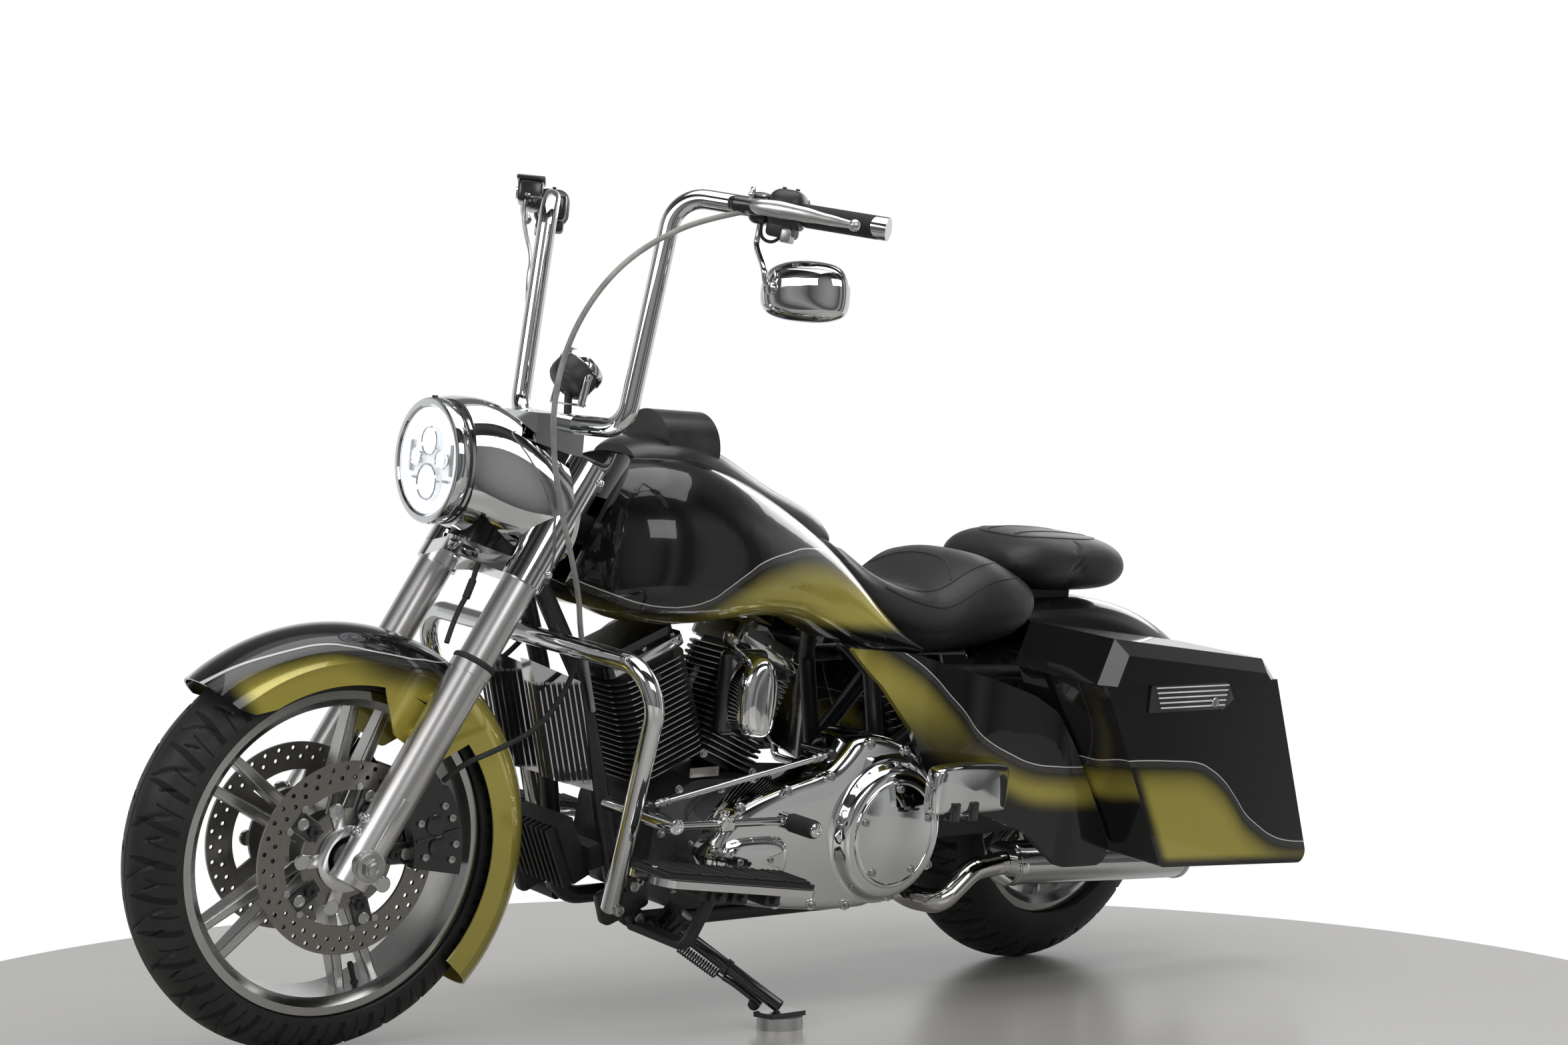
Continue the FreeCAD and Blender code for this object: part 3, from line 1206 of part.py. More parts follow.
def horn_cover():
    pts = outline(HORN_SECTION_SHARES, HORN_X - HORN_W / 2, HORN_Z - HORN_H / 2, HORN_W, HORN_H)
    body = prism(pts, HORN_IN_Y, HORN_OUT_Y, HORN_W / 4)
    edges = [e for e in body.Edges if e.BoundBox.YMin > HORN_OUT_Y - OVERRUN]
    return body.makeFillet(HORN_W / 6, edges)


def cam_cover():
    outer = lateral(CRANK_X, CRANK_Z, CASE_HALF_W, CASE_HALF_W + CAM_COVER_T, CAM_COVER_R)
    step = lateral(CRANK_X, CRANK_Z, CASE_HALF_W + CAM_COVER_T, CASE_HALF_W + CAM_COVER_T + CAM_STEP_T, CAM_COVER_R * 0.7)
    return mirrored(fuse([outer, step]))


def air_cleaner():
    body = lateral(CRANK_X, AIR_Z, AIR_IN_Y, AIR_IN_Y + AIR_T, AIR_R)
    edges = [e for e in body.Edges if e.BoundBox.YMin > AIR_IN_Y + AIR_T - OVERRUN]
    body = body.makeFillet(AIR_T / 4, edges)
    y = AIR_IN_Y + AIR_PLATE_T / 2
    plate = block((CRANK_X, y, AIR_Z), (AIR_PLATE_LEN, AIR_PLATE_T, AIR_PLATE_H))
    pieces = [body, plate]
    for side in (-1, 1):
        pieces.append(lateral(CRANK_X + side * (AIR_PLATE_LEN - AIR_PLATE_H) / 2, AIR_Z,
                              FIN_WIDTH / 2 + SEAT_GAP, AIR_IN_Y + AIR_PLATE_T, AIR_PLATE_H / 2))
    return mirrored(fuse(pieces))


def pushrod_tubes():
    """Four slim tubes on the right, from the cam chest up to the rocker covers."""
    tubes = []
    for lean in (V_HALF_DEG, -V_HALF_DEG):
        for side in (-1, 1):
            a = math.radians(lean + side * V_HALF_DEG / 4)
            start = (CASE_TOP - CRANK_Z + SEAT_GAP) / math.cos(a) + PUSHROD_R * abs(math.tan(a)) + SEAT_GAP * 2
            end = FIN_START + FIN_COUNT * FIN_PITCH + HEAD_H
            y = -(FIN_WIDTH / 2 + PUSHROD_R + SEAT_GAP)
            low = (CRANK_X + start * math.sin(a), y - PUSHROD_R, CRANK_Z + start * math.cos(a))
            high = (CRANK_X + end * math.sin(a), y, CRANK_Z + end * math.cos(a))
            tubes.append(rod(low, high, PUSHROD_R))
    return Part.Compound(tubes)


def port(lean_deg, side):
    """Centre of a cylinder head's exhaust port and the direction it faces."""
    a = math.radians(lean_deg)
    reach = FIN_LEN / 2 + SEAT_GAP
    centre = Vector(CRANK_X + PORT_S * math.sin(a) + side * reach * math.cos(a), -PORT_Y,
                    CRANK_Z + PORT_S * math.cos(a) - side * reach * math.sin(a))
    return centre, Vector(side * math.cos(a), 0, -side * math.sin(a))


def muffler_ends(side):
    """Front and rear centre of the silencer on one side."""
    return ((MUFFLER_FRONT_X, side * MUFFLER_Y, MUFFLER_Z), (MUFFLER_REAR_X, side * MUFFLER_Y, MUFFLER_REAR_Z))


def exhaust():
    """Header pipes on the right, a crossover to the left, ahead of a silencer on each side."""
    pieces = []
    for lean_deg, side, route in ((V_HALF_DEG, 1, HEADER_FRONT), (-V_HALF_DEG, -1, HEADER_REAR)):
        centre, out = port(lean_deg, side)
        elbow = centre + out * PORT_L
        pieces.append(rod(centre, elbow, HEADER_R))
        pieces.append(Part.makeSphere(ELBOW_R, elbow))
        pieces.append(bent_tube((tuple(elbow),) + route, HEADER_R, EXHAUST_BEND))
    pieces.append(bent_tube(HEADER_LEFT, HEADER_R * 1.1, EXHAUST_BEND))
    pipes = fuse(pieces)
    for side in (-1, 1):
        front, rear = muffler_ends(side)
        pipes = pipes.cut(rod(front, rear, MUFFLER_R + SEAT_GAP))
    return pipes


def muffler():
    front, rear = (Vector(*p) for p in muffler_ends(1))
    back = (rear - front).normalize()
    body = rod(front, rear, MUFFLER_R)
    mouth = rod(rear - back * MUFFLER_R * 2, rear + back * OVERRUN, MUFFLER_R - SHEET)
    return both_sides(body.cut(mouth))


def tank_shell(grow=0.0):
    return loft_body(TANK_STATION_SHARES, TANK_SECTION_SHARES, TANK_REAR_X, TANK_LEN,
                     TANK_HALF_W, TANK_Z, TANK_H, grow)


def fuel_tank():
    tunnel = block((TANK_REAR_X + TANK_LEN / 2, 0, TUNNEL_TOP - TANK_H), (TANK_LEN * 2, TUNNEL_HALF * 2, TANK_H * 2))
    tail = block((TAIL_TUNNEL_X - TANK_LEN, 0, TAIL_TUNNEL_TOP - TANK_H), (TANK_LEN * 2, TAIL_TUNNEL_HALF * 2, TANK_H * 2))
    return tank_shell().cut(tunnel).cut(tail).cut(steering_room())


def steering_room():
    """The space that the fork and nacelle sweep, round the steering axis."""
    low, high = leg_point(SLIDER_TOP, stem_offset(SLIDER_TOP)), leg_point(UPPER_CLAMP_S * 2, stem_offset(UPPER_CLAMP_S * 2))
    return Part.makeCylinder(STEER_ROOM_R, (high - low).Length, low, high - low)


def dash_console():
    body = loft_body(DASH_STATION_SHARES, ROUND_SECTION_SHARES, DASH_REAR_X, DASH_LEN, DASH_HALF_W, DASH_Z, DASH_H)
    hump = rod((HUMP_X - HUMP_LEN / 2, 0, HUMP_Z), (HUMP_X + HUMP_LEN / 2, 0, HUMP_Z), HUMP_R)
    return fuse([body, hump]).cut(tank_shell(SEAT_GAP))


def rider_seat(keep_clear):
    body = loft_body(SEAT_STATION_SHARES, ROUND_SECTION_SHARES, SEAT_REAR_X, SEAT_LEN, SEAT_HALF_W, SEAT_Z, SEAT_H)
    tunnel = block((SEAT_TUNNEL_X + TANK_LEN / 2, 0, SEAT_TUNNEL_TOP - TANK_H), (TANK_LEN, TAIL_TUNNEL_HALF * 2, TANK_H * 2))
    for other in keep_clear + [tunnel]:
        body = body.cut(other)
    return largest(body)


def pillion_seat():
    return loft_body(PAD_STATION_SHARES, ROUND_SECTION_SHARES, PAD_REAR_X, PAD_LEN, PAD_HALF_W, PAD_Z, PAD_H)


def fender_section(degrees, radius, inner_r, half, rounding):
    """Closed outline of the stretched fender's form in a plane through its centre."""
    a = math.radians(degrees)
    out = Vector(math.cos(a), 0, math.sin(a))
    centre = Vector(REAR_FENDER_CX, 0, REAR_FENDER_CZ)
    def at(y, r):
        return centre + out * r + Vector(0, y, 0)
    k = rounding * (1 - math.sqrt(0.5))
    left, right = -half, half
    edges = [Part.makeLine(at(left, inner_r), at(left, radius - rounding)),
             Part.Arc(at(left, radius - rounding), at(left + k, radius - k), at(left + rounding, radius)).toShape(),
             Part.makeLine(at(left + rounding, radius), at(right - rounding, radius)),
             Part.Arc(at(right - rounding, radius), at(right - k, radius - k), at(right, radius - rounding)).toShape(),
             Part.makeLine(at(right, radius - rounding), at(right, inner_r)),
             Part.makeLine(at(right, inner_r), at(left, inner_r))]
    return Part.Wire(edges)


def rear_fender_fill(grow=0.0, extra_deg=0.0):
    """Whole form of the stretched fender, with flat sides and a rounded crown."""
    wires = []
    last = len(REAR_FENDER_POLAR) - 1
    for i, (degrees, radius, inner_r) in enumerate(REAR_FENDER_POLAR):
        wider = -extra_deg if i == 0 else extra_deg if i == last else 0.0
        wires.append(fender_section(degrees + wider, radius + grow, inner_r - abs(grow) * 2,
                                    REAR_FENDER_HALF + grow, REAR_FENDER_ROUND + grow))
    return Part.makeLoft(wires, True, False)


def rear_fender():
    """Stretched fender, one bent sheet."""
    sheet = rear_fender_fill().cut(rear_fender_fill(-REAR_FENDER_T, 1.0))
    pedestal = block(PAD_MOUNT_C, PAD_MOUNT).cut(pillion_seat().translated(Vector(0, 0, -SEAT_GAP)))
    pedestal = min(pedestal.Solids, key=lambda solid: solid.CenterOfMass.z).cut(rear_fender_fill(-REAR_FENDER_T / 2))
    return fuse([sheet, pedestal])


def side_covers():
    """Covers that flare from the tank's tail out to the saddlebags."""
    outer = [Vector(x, y, SIDE_COVER_Z - SIDE_COVER_T) for x, y in
             outline(SIDE_COVER_PLAN_SHARES, SIDE_COVER_X, SIDE_COVER_Y, SIDE_COVER_LEN, SIDE_COVER_FLARE)]
    inner = []
    for i, p in enumerate(outer):
        along = outer[min(i + 1, len(outer) - 1)] - outer[max(i - 1, 0)]
        across = Vector(along.y, -along.x, 0).normalize() * SIDE_COVER_T
        inner.append(p - across if across.y > 0 else p + across)
    curves = []
    for row in (outer, inner[::-1]):
        curve = Part.BSplineCurve()
        curve.interpolate(row)
        curves.append(curve.toShape())
    ends = [Part.makeLine(outer[-1], inner[-1]), Part.makeLine(inner[0], outer[0])]
    plan = Part.Face(Part.Wire([curves[0], ends[0], curves[1], ends[1]]))
    wall = plan.extrude(Vector(0, 0, SIDE_COVER_H + SIDE_COVER_T * 2))
    pts = outline(SIDE_COVER_SHARES, SIDE_COVER_X, SIDE_COVER_Z, SIDE_COVER_LEN, SIDE_COVER_H)
    side = prism(pts, 0, BAG_OUT_Y, SIDE_COVER_ROUND)
    return both_sides(wall.common(side))


def bag_body():
    """Hard case with real walls, open at the top."""
    pts = outline(BAG_SIDE_SHARES, BAG_REAR_X, BAG_Z, BAG_LEN, BAG_H)
    outer = prism(pts, BAG_IN_Y, BAG_OUT_Y)
    along = [e for e in outer.Edges if abs(e.tangentAt(e.FirstParameter).y) > 0.9 and e.BoundBox.ZMax < BAG_Z + BAG_H / 2]
    outer = outer.makeFillet(BAG_WALL * 5, along)
    mouth = [f for f in outer.Faces if f.CenterOfMass.z > BAG_Z + BAG_H * 0.95]
    return outer.makeThickness(mouth, -BAG_WALL, RUN_GAP / 10)


def bag_seam():
    """Rear and front end of the line where the lid meets the case."""
    return outline((BAG_SIDE_SHARES[3], BAG_SIDE_SHARES[2]), BAG_REAR_X, BAG_Z, BAG_LEN, BAG_H)


def lid_hinge_line():
    """A point on the lid's hinge, beside its inner lower edge, and the way it runs."""
    (rear_x, rear_z), (front_x, front_z) = bag_seam()
    point = Vector((rear_x + front_x) / 2, BAG_IN_Y - LID_LIP / 2 - HINGE_R, (rear_z + front_z) / 2 + HINGE_R)
    return point, Vector(front_x - rear_x, 0, front_z - rear_z).normalize()


def bag_lid():
    """Hollow lid with a ridge, split from the case where it opens."""
    (rear_x, rear_z), (front_x, front_z) = bag_seam()
    lip = LID_LIP
    pts = [(rear_x - lip, rear_z + LID_GAP), (front_x + lip, front_z + LID_GAP),
           (front_x - lip * 3, front_z + LID_H), (rear_x + LID_H * 0.4, rear_z + LID_H * 0.45)]
    outer = prism(pts, BAG_IN_Y - lip / 2, BAG_OUT_Y + lip)
    base = [f for f in outer.Faces if f.CenterOfMass.z < rear_z + lip and abs(f.normalAt(0, 0).z) > 0.9]
    side = [e for e in outer.Edges if e.BoundBox.YMin > BAG_OUT_Y and e.BoundBox.ZMax > rear_z + LID_H * 0.4]
    outer = outer.makeChamfer(LID_H * 0.3, side)
    base = [f for f in outer.Faces if f.CenterOfMass.z < rear_z + lip and abs(f.normalAt(0, 0).z) > 0.9]
    return outer.makeThickness(base, -BAG_WALL, RUN_GAP / 10)


def crash_bar(grow=0.0):
    half = [GUARD_CORNER, GUARD_FOOT]
    other = [(x, -y, z) for x, y, z in half[::-1]]
    return bent_tube(other + half, GUARD_R + grow, [0, GUARD_BEND, GUARD_BEND, 0])


def floorboards():
    x, y, z = BOARD_C
    plate = block((0, 0, 0), (BOARD_LEN, BOARD_W, BOARD_T))
    corners = [e for e in plate.Edges if abs(e.tangentAt(e.FirstParameter).z) > 0.9]
    plate = plate.makeFillet(BOARD_W / 3, corners)
    pad = block((0, 0, (BOARD_T + BOARD_PAD_T) / 2), (BOARD_LEN - BOARD_T * 2, BOARD_W - BOARD_T * 2, BOARD_PAD_T))
    plate = fuse([plate, pad])
    plate.rotate(Vector(0, 0, 0), Vector(0, 1, 0), -BOARD_TILT_DEG)
    plate.translate(Vector(x, y, z))
    def under(at_x):
        """Height of an arm's centre just below the board."""
        slope = math.radians(BOARD_TILT_DEG)
        return z + math.tan(slope) * (at_x - x) - (BOARD_T / 2) / math.cos(slope) - BOARD_ARM_R - SEAT_GAP
    low_x, high_x = BOARD_LOW_ARM_X, BOARD_HIGH_ARM_X
    rail_y, rail_z = RAIL_REAR[1] + FRAME_TUBE_R + SEAT_GAP, RAIL_REAR[2]
    low = bent_tube([(low_x, rail_y, rail_z), (low_x, y - BOARD_W / 2, rail_z),
                     (low_x, y, under(low_x)), (low_x, y + BOARD_W / 4, under(low_x))], BOARD_ARM_R, BOARD_ARM_R * 3)
    high = rod((high_x, BOARD_HIGH_ARM_Y, under(high_x)), (high_x, y + BOARD_W / 4, under(high_x)), BOARD_ARM_R)
    return plate, [low, high]


def passenger_boards():
    x, y, z = PASS_BOARD_C
    plate = block((x, y, z), (PASS_BOARD_LEN, PASS_BOARD_T, PASS_BOARD_H))
    corners = [e for e in plate.Edges if abs(e.tangentAt(e.FirstParameter).y) > 0.9]
    plate = plate.makeFillet(PASS_BOARD_H / 3, corners)
    start = PIVOT_PLATE_C[1] + PIVOT_PLATE[1] / 2 + SEAT_GAP
    arm = bent_tube([(PASS_ARM_X, start, PASS_ARM_Z), (PASS_ARM_X, y - PASS_BOARD_T, PASS_ARM_Z),
                     (x - PASS_ARM_BACK, y, z)], PASS_ARM_R, PASS_ARM_BEND)
    return both_sides(fuse([plate, arm]))


def shift_linkage():
    peg_end = (SHIFT_PEG[0], SHIFT_PEG[1] + PEG_L, SHIFT_PEG[2])
    arm = rod(SHIFT_PIVOT, (SHIFT_PEG[0], SHIFT_PEG[1] - PEG_COLLAR_L / 2, SHIFT_PEG[2]), SHIFT_ROD_R)
    collar = lateral(SHIFT_PEG[0], SHIFT_PEG[2], SHIFT_PEG[1] - PEG_COLLAR_L, SHIFT_PEG[1], PEG_COLLAR_R)
    pivot = rod((SHIFT_PIVOT[0], SHIFT_START_Y, SHIFT_PIVOT[2]), (SHIFT_PIVOT[0], SHIFT_PIVOT[1] + PEG_R, SHIFT_PIVOT[2]), PEG_R)
    peg = rod(SHIFT_PEG, peg_end, PEG_R)
    front, rear = Vector(*LINK_FRONT), Vector(*LINK_REAR)
    lever = rod((SHIFT_PIVOT[0], front.y, SHIFT_PIVOT[2]), front, LINK_ARM_R)
    link = rod(front, rear, LINK_R)
    end = rod(rear, (rear.x, LINK_END_Y, rear.z), LINK_ARM_R)
    return fuse([arm, collar, pivot, peg, lever, link, end])


def brake_pedal():
    """Shaft, arm and pad of the foot brake on the right."""
    x, y, z = PEDAL_PIVOT
    shaft = lateral(x, z, PEDAL_START_Y, y + SHIFT_ROD_R + OVERRUN, PEG_R * PEDAL_SHAFT_SHARE)
    arm = rod(PEDAL_PIVOT, PEDAL_TIP, SHIFT_ROD_R)
    pad = block((0, 0, 0), PEDAL_PAD)
    pad.rotate(Vector(0, 0, 0), Vector(0, 1, 0), -RAKE_DEG)
    pad.translate(Vector(PEDAL_TIP[0], PEDAL_TIP[1] + PEDAL_PAD[1] / 2 - SHIFT_ROD_R - OVERRUN, PEDAL_TIP[2]))
    return mirrored(fuse([shaft, arm, pad]))


def brake_hoses():
    """Hoses from the front calipers back to the frame, as they lie at rest."""
    return both_sides(bent_tube(HOSE_POINTS, HOSE_R, 0))


def cooler():
    """Two upright finned coolers in front of the downtubes."""
    slope = math.atan2(DOWN_MID[0] - DOWN_FOOT[0], DOWN_MID[2] - DOWN_FOOT[2])
    face = (FRAME_TUBE_R + SEAT_GAP) / math.cos(slope) - DOWN_FOOT[2] * math.tan(slope) + DOWN_FOOT[0]
    rear = [(face + z * math.tan(slope), z) for z in (COOLER_LOW_Z, COOLER_TOP_Z)]
    return both_sides(prism([rear[0], rear[1], COOLER_FRONT_TOP, COOLER_FRONT_LOW],
                            COOLER_Y - COOLER_W / 2, COOLER_Y + COOLER_W / 2))


def regulator():
    deep, wide, high = REGULATOR_SIZE
    core = block((0, 0, 0), (deep / 2, wide, high))
    parts = [core]
    pitch = wide / REGULATOR_FINS
    for k in range(REGULATOR_FINS):
        y = (k - (REGULATOR_FINS - 1) / 2) * pitch
        parts.append(block((deep / 4, y, 0), (deep / 2, pitch / 3, high)))
    whole = fuse(parts)
    whole.rotate(Vector(0, 0, 0), Vector(0, 1, 0), RAKE_DEG)
    whole.translate(Vector(REGULATOR_X, 0, REGULATOR_Z))
    slope = math.atan2(DOWN_MID[0] - DOWN_FOOT[0], DOWN_MID[2] - DOWN_FOOT[2])
    thick, wide, high = REGULATOR_PLATE
    x = DOWN_FOOT[0] + (REGULATOR_Z - DOWN_FOOT[2]) * math.tan(slope)
    out = FRAME_TUBE_R + SEAT_GAP + thick / 2
    plate = block((0, 0, 0), REGULATOR_PLATE)
    plate.rotate(Vector(0, 0, 0), Vector(0, 1, 0), math.degrees(slope))
    plate.translate(Vector(x + out * math.cos(slope), 0, REGULATOR_Z - out * math.sin(slope)))
    return fuse([whole, plate])


def swingarm():
    axle_z = REAR_TYRE_R
    arm = prism([(PIVOT_X + SWING_H / 2, PIVOT_Z - SWING_H / 2), (PIVOT_X + SWING_H / 2, PIVOT_Z + SWING_H / 2),
                 (-SWING_H, axle_z + SWING_H / 2), (-SWING_H, axle_z - SWING_H / 2)],
                SWING_Y - SWING_W / 2, SWING_Y + SWING_W / 2, SWING_H / 3)
    cross = lateral(PIVOT_X - SWING_H / 2, PIVOT_Z, -SWING_Y, SWING_Y, SWING_H / 2)
    bore = lateral(0, axle_z, -SWING_Y * 2, SWING_Y * 2, REAR_AXLE_R)
    return fuse([arm, mirrored(arm), cross]).cut(bore)


def rear_axle():
    return lateral(0, REAR_TYRE_R, -SWING_Y - SWING_W, SWING_Y + SWING_W, REAR_AXLE_R)


def shocks():
    body = rod(SHOCK_FOOT, SHOCK_TOP, SHOCK_R)
    upper = lateral(SHOCK_TOP[0], SHOCK_TOP[2], SEAT_RAIL_REAR[1] + FRAME_TUBE_R + SEAT_GAP, SHOCK_TOP[1], SHOCK_EYE_R)
    lower = lateral(SHOCK_FOOT[0], SHOCK_FOOT[2], SWING_Y + SWING_W / 2 + SEAT_GAP, SHOCK_FOOT[1], SHOCK_EYE_R)
    return both_sides(fuse([body, upper, lower]))


def rear_lamps():
    """Tail lamp and the two turn signals beside it."""
    lamp = block((TAIL_X - TAIL_D / 2, 0, TAIL_Z), (TAIL_D, TAIL_W, TAIL_H)).cut(rear_fender_fill(SEAT_GAP))
    stalk = lateral(TAIL_STALK_X, TAIL_Z, TAIL_W / 2 + SEAT_GAP, TURN_Y, TURN_L / 4)
    head = Part.makeCylinder(TURN_R, TURN_L, Vector(TAIL_STALK_X - TURN_L / 2, TURN_Y, TAIL_Z), Vector(1, 0, 0))
    signal = fuse([stalk, head])
    return Part.Compound([lamp, signal, mirrored(signal)])


def number_plate():
    z = TAIL_Z - TAIL_H - PLATE_H / 2
    plate = block((PLATE_X, 0, z), (PLATE_T, PLATE_W, PLATE_H))
    mount = block((PLATE_X + PLATE_MOUNT[0] / 2, 0, z + PLATE_H / 4), PLATE_MOUNT).cut(rear_fender_fill(SEAT_GAP))
    return fuse([plate, largest(mount)])


# Side stand

def upright_from_ground(x, y, z):
    """A point given in the parked machine's space, as the upright model has it."""
    p = Vector(x, y, z - REAR_AXLE_HEIGHT)
    p = FreeCAD.Rotation(Vector(1, 0, 0), LEAN_DEG).multVec(p)
    return Vector(p.x, p.y, p.z + REAR_TYRE_R)


def stand_foot_centre():
    return upright_from_ground(PUCK_X, PUCK_Y, PUCK_H + STAND_FOOT_T / 2 + STAND_LEG_R)


def side_stand():
    axis, pivot, foot_c = Vector(*STAND_AXIS).normalize(), Vector(*STAND_PIVOT), stand_foot_centre()
    leg = rod(STAND_PIVOT, foot_c, STAND_LEG_R)
    eye = Part.makeCylinder(STAND_EYE_R, STAND_EYE_L, pivot - axis * STAND_EYE_L / 2, axis)
    bore = Part.makeCylinder(STAND_PIN_R + RUN_GAP, STAND_EYE_L * 2, pivot - axis * STAND_EYE_L, axis)
    foot = block((0, 0, 0), (STAND_FOOT_L, STAND_FOOT_W, STAND_FOOT_T))
    foot.rotate(Vector(0, 0, 0), Vector(1, 0, 0), LEAN_DEG)
    foot.translate(upright_from_ground(PUCK_X, PUCK_Y, PUCK_H + STAND_FOOT_T / 2))
    return fuse([leg, eye, foot]).cut(bore)


def stand_puck():
    puck = Part.makeCylinder(PUCK_R, PUCK_H, Vector(0, 0, 0), Vector(0, 0, 1))
    puck.rotate(Vector(0, 0, 0), Vector(1, 0, 0), LEAN_DEG)
    puck.translate(upright_from_ground(PUCK_X, PUCK_Y, 0))
    return puck


def clutch_cable():
    tube = bent_tube(CABLE_POINTS, CABLE_R, 0)
    return tube


# Stance: heights that set both tyres on the ground

def leaned_drop(ring_r, normal_z):
    """Height of a wheel's centre over its lowest crown centre."""
    return ring_r * math.sqrt(1 - normal_z ** 2)


def rear_axle_height():
    normal_z = math.sin(math.radians(LEAN_DEG))
    return leaned_drop(REAR_TYRE_R - REAR_CROWN_R, normal_z) + REAR_CROWN_R


def front_axle_level():
    """Upright height of the front axle that sets the steered, leaned tyre on the ground."""
    steer = FreeCAD.Rotation(stem_direction(), STEER_REST_DEG)
    lean = FreeCAD.Rotation(Vector(1, 0, 0), -LEAN_DEG)
    normal = lean.multVec(steer.multVec(Vector(0, 1, 0)))
    arm = Vector(-STEM_LEAD, 0, 0)
    shift = lean.multVec(steer.multVec(arm) - arm)
    wanted = leaned_drop(FRONT_TYRE_R - FRONT_CROWN_R, normal.z) + FRONT_CROWN_R
    return REAR_TYRE_R + (wanted - shift.z - REAR_AXLE_HEIGHT) / math.cos(math.radians(LEAN_DEG))


REAR_AXLE_HEIGHT = rear_axle_height()
FRONT_AXLE_Z = front_axle_level()


def steered(shape):
    """Turn a piece of the steering about its axis to where it rests."""
    copy = shape.copy()
    copy.rotate(Vector(WHEELBASE + STEM_LEAD, 0, FRONT_AXLE_Z), stem_direction(), STEER_REST_DEG)
    return copy


def leaned(shape):
    """Lean a finished piece and set it on the ground."""
    copy = shape.copy()
    copy.translate(Vector(0, 0, -REAR_TYRE_R))
    copy.rotate(Vector(0, 0, 0), Vector(1, 0, 0), -LEAN_DEG)
    copy.translate(Vector(0, 0, REAR_AXLE_HEIGHT))
    return copy


def parts_upright():
    """Every node in the upright machine, by body."""
    front = {k: v.translated(Vector(WHEELBASE, 0, FRONT_AXLE_Z)) for k, v in front_wheel().items()}
    rear = {k: v.translated(Vector(0, 0, REAR_TYRE_R)) for k, v in rear_wheel().items()}
    case, barrels, heads, rockers = engine()
    board, arms = floorboards()
    tank = fuel_tank()
    left_lid = bag_lid()
    clear_tank = tank_shell(SEAT_GAP)
    frame_solid = frame()
    dash, pad, fender = dash_console(), pillion_seat(), rear_fender()
    body = {
        "frame": frame_solid, "engine_case": case, "cylinders": Part.Compound([fuse([b, h]) for b, h in zip(barrels, heads)]),
        "rocker_covers": Part.Compound(rockers),
        "primary_cover": primary_cover(), "horn_cover": horn_cover(),
        "cam_cover": cam_cover(), "air_cleaner": air_cleaner(), "pushrod_tubes": pushrod_tubes(),
        "exhaust_headers": exhaust(), "mufflers": muffler(), "fuel_tank": tank,
        "dash_console": dash, "rider_seat": rider_seat([clear_tank, dash, pad, rear_fender_fill(SEAT_GAP)]),
        "pillion_seat": pad, "rear_fender": fender, "side_covers": side_covers(),
        "saddlebags": both_sides(bag_body()), "crash_bar": crash_bar(),
        "floorboards": Part.Compound(both_sides(board).Solids + passenger_boards().Solids), "board_arms": both_sides(Part.Compound(arms)),
        "shift_linkage": shift_linkage(), "brake_pedal": brake_pedal(), "rear_caliper": rear_caliper(), "oil_cooler": cooler().cut(frame_solid),
        "regulator": regulator(), "swingarm": swingarm(), "rear_axle": rear_axle(), "rear_shocks": shocks(),
        "rear_lamps": rear_lamps(), "number_plate": number_plate(),
        "clutch_cable": clutch_cable(), "brake_hoses": brake_hoses(),
    }
    return {
        "frame": body,
        "steering": {k: steered(v) for k, v in steering().items()},
        "front_wheel": {k: steered(v) for k, v in front.items()},
        "rear_wheel": rear,
        "side_stand": {"side_stand": side_stand(), "stand_puck": stand_puck()},
        "left_lid": {"left_bag_lid": left_lid},
        "right_lid": {"right_bag_lid": mirrored(left_lid)},
    }


def parked(bodies):
    """Lean everything, and put the origin under the middle of the whole machine."""
    placed = {b: {n: leaned(s) for n, s in nodes.items()} for b, nodes in bodies.items()}
    box = FreeCAD.BoundBox()
    for nodes in placed.values():
        for shape in nodes.values():
            box.add(shape.optimalBoundingBox(False, False))
    shift = Vector(-(box.XMin + box.XMax) / 2, -(box.YMin + box.YMax) / 2, 0)
    for nodes in placed.values():
        for shape in nodes.values():
            shape.translate(shift)
    return placed, shift


def main():
    os.makedirs("parts", exist_ok=True)
    placed, shift = parked(parts_upright())
    for nodes in placed.values():
        for name, shape in nodes.items():
            shape.exportStep(os.path.join("parts", name + ".step"))
            print(name, len(shape.Solids), shape.isValid(), round(shape.Volume))


if __name__ == "__main__":
    main()
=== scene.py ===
# %% [markdown]
# # A leaning custom touring motorcycle
# The solid model is the fixed frame of this scene. This file gives it its materials, adds the
# small pieces that a solid model leaves out, and sets it up in a white studio. Lengths are
# metres. Pieces are drawn in the machine's own upright space (X forward, Y to the rider's left,
# Z up, rear axle over X = 0) and then set down leaning, with the steering turned.

# %% A leaning custom touring motorcycle
import bpy
import math
from mathutils import Matrix, Vector


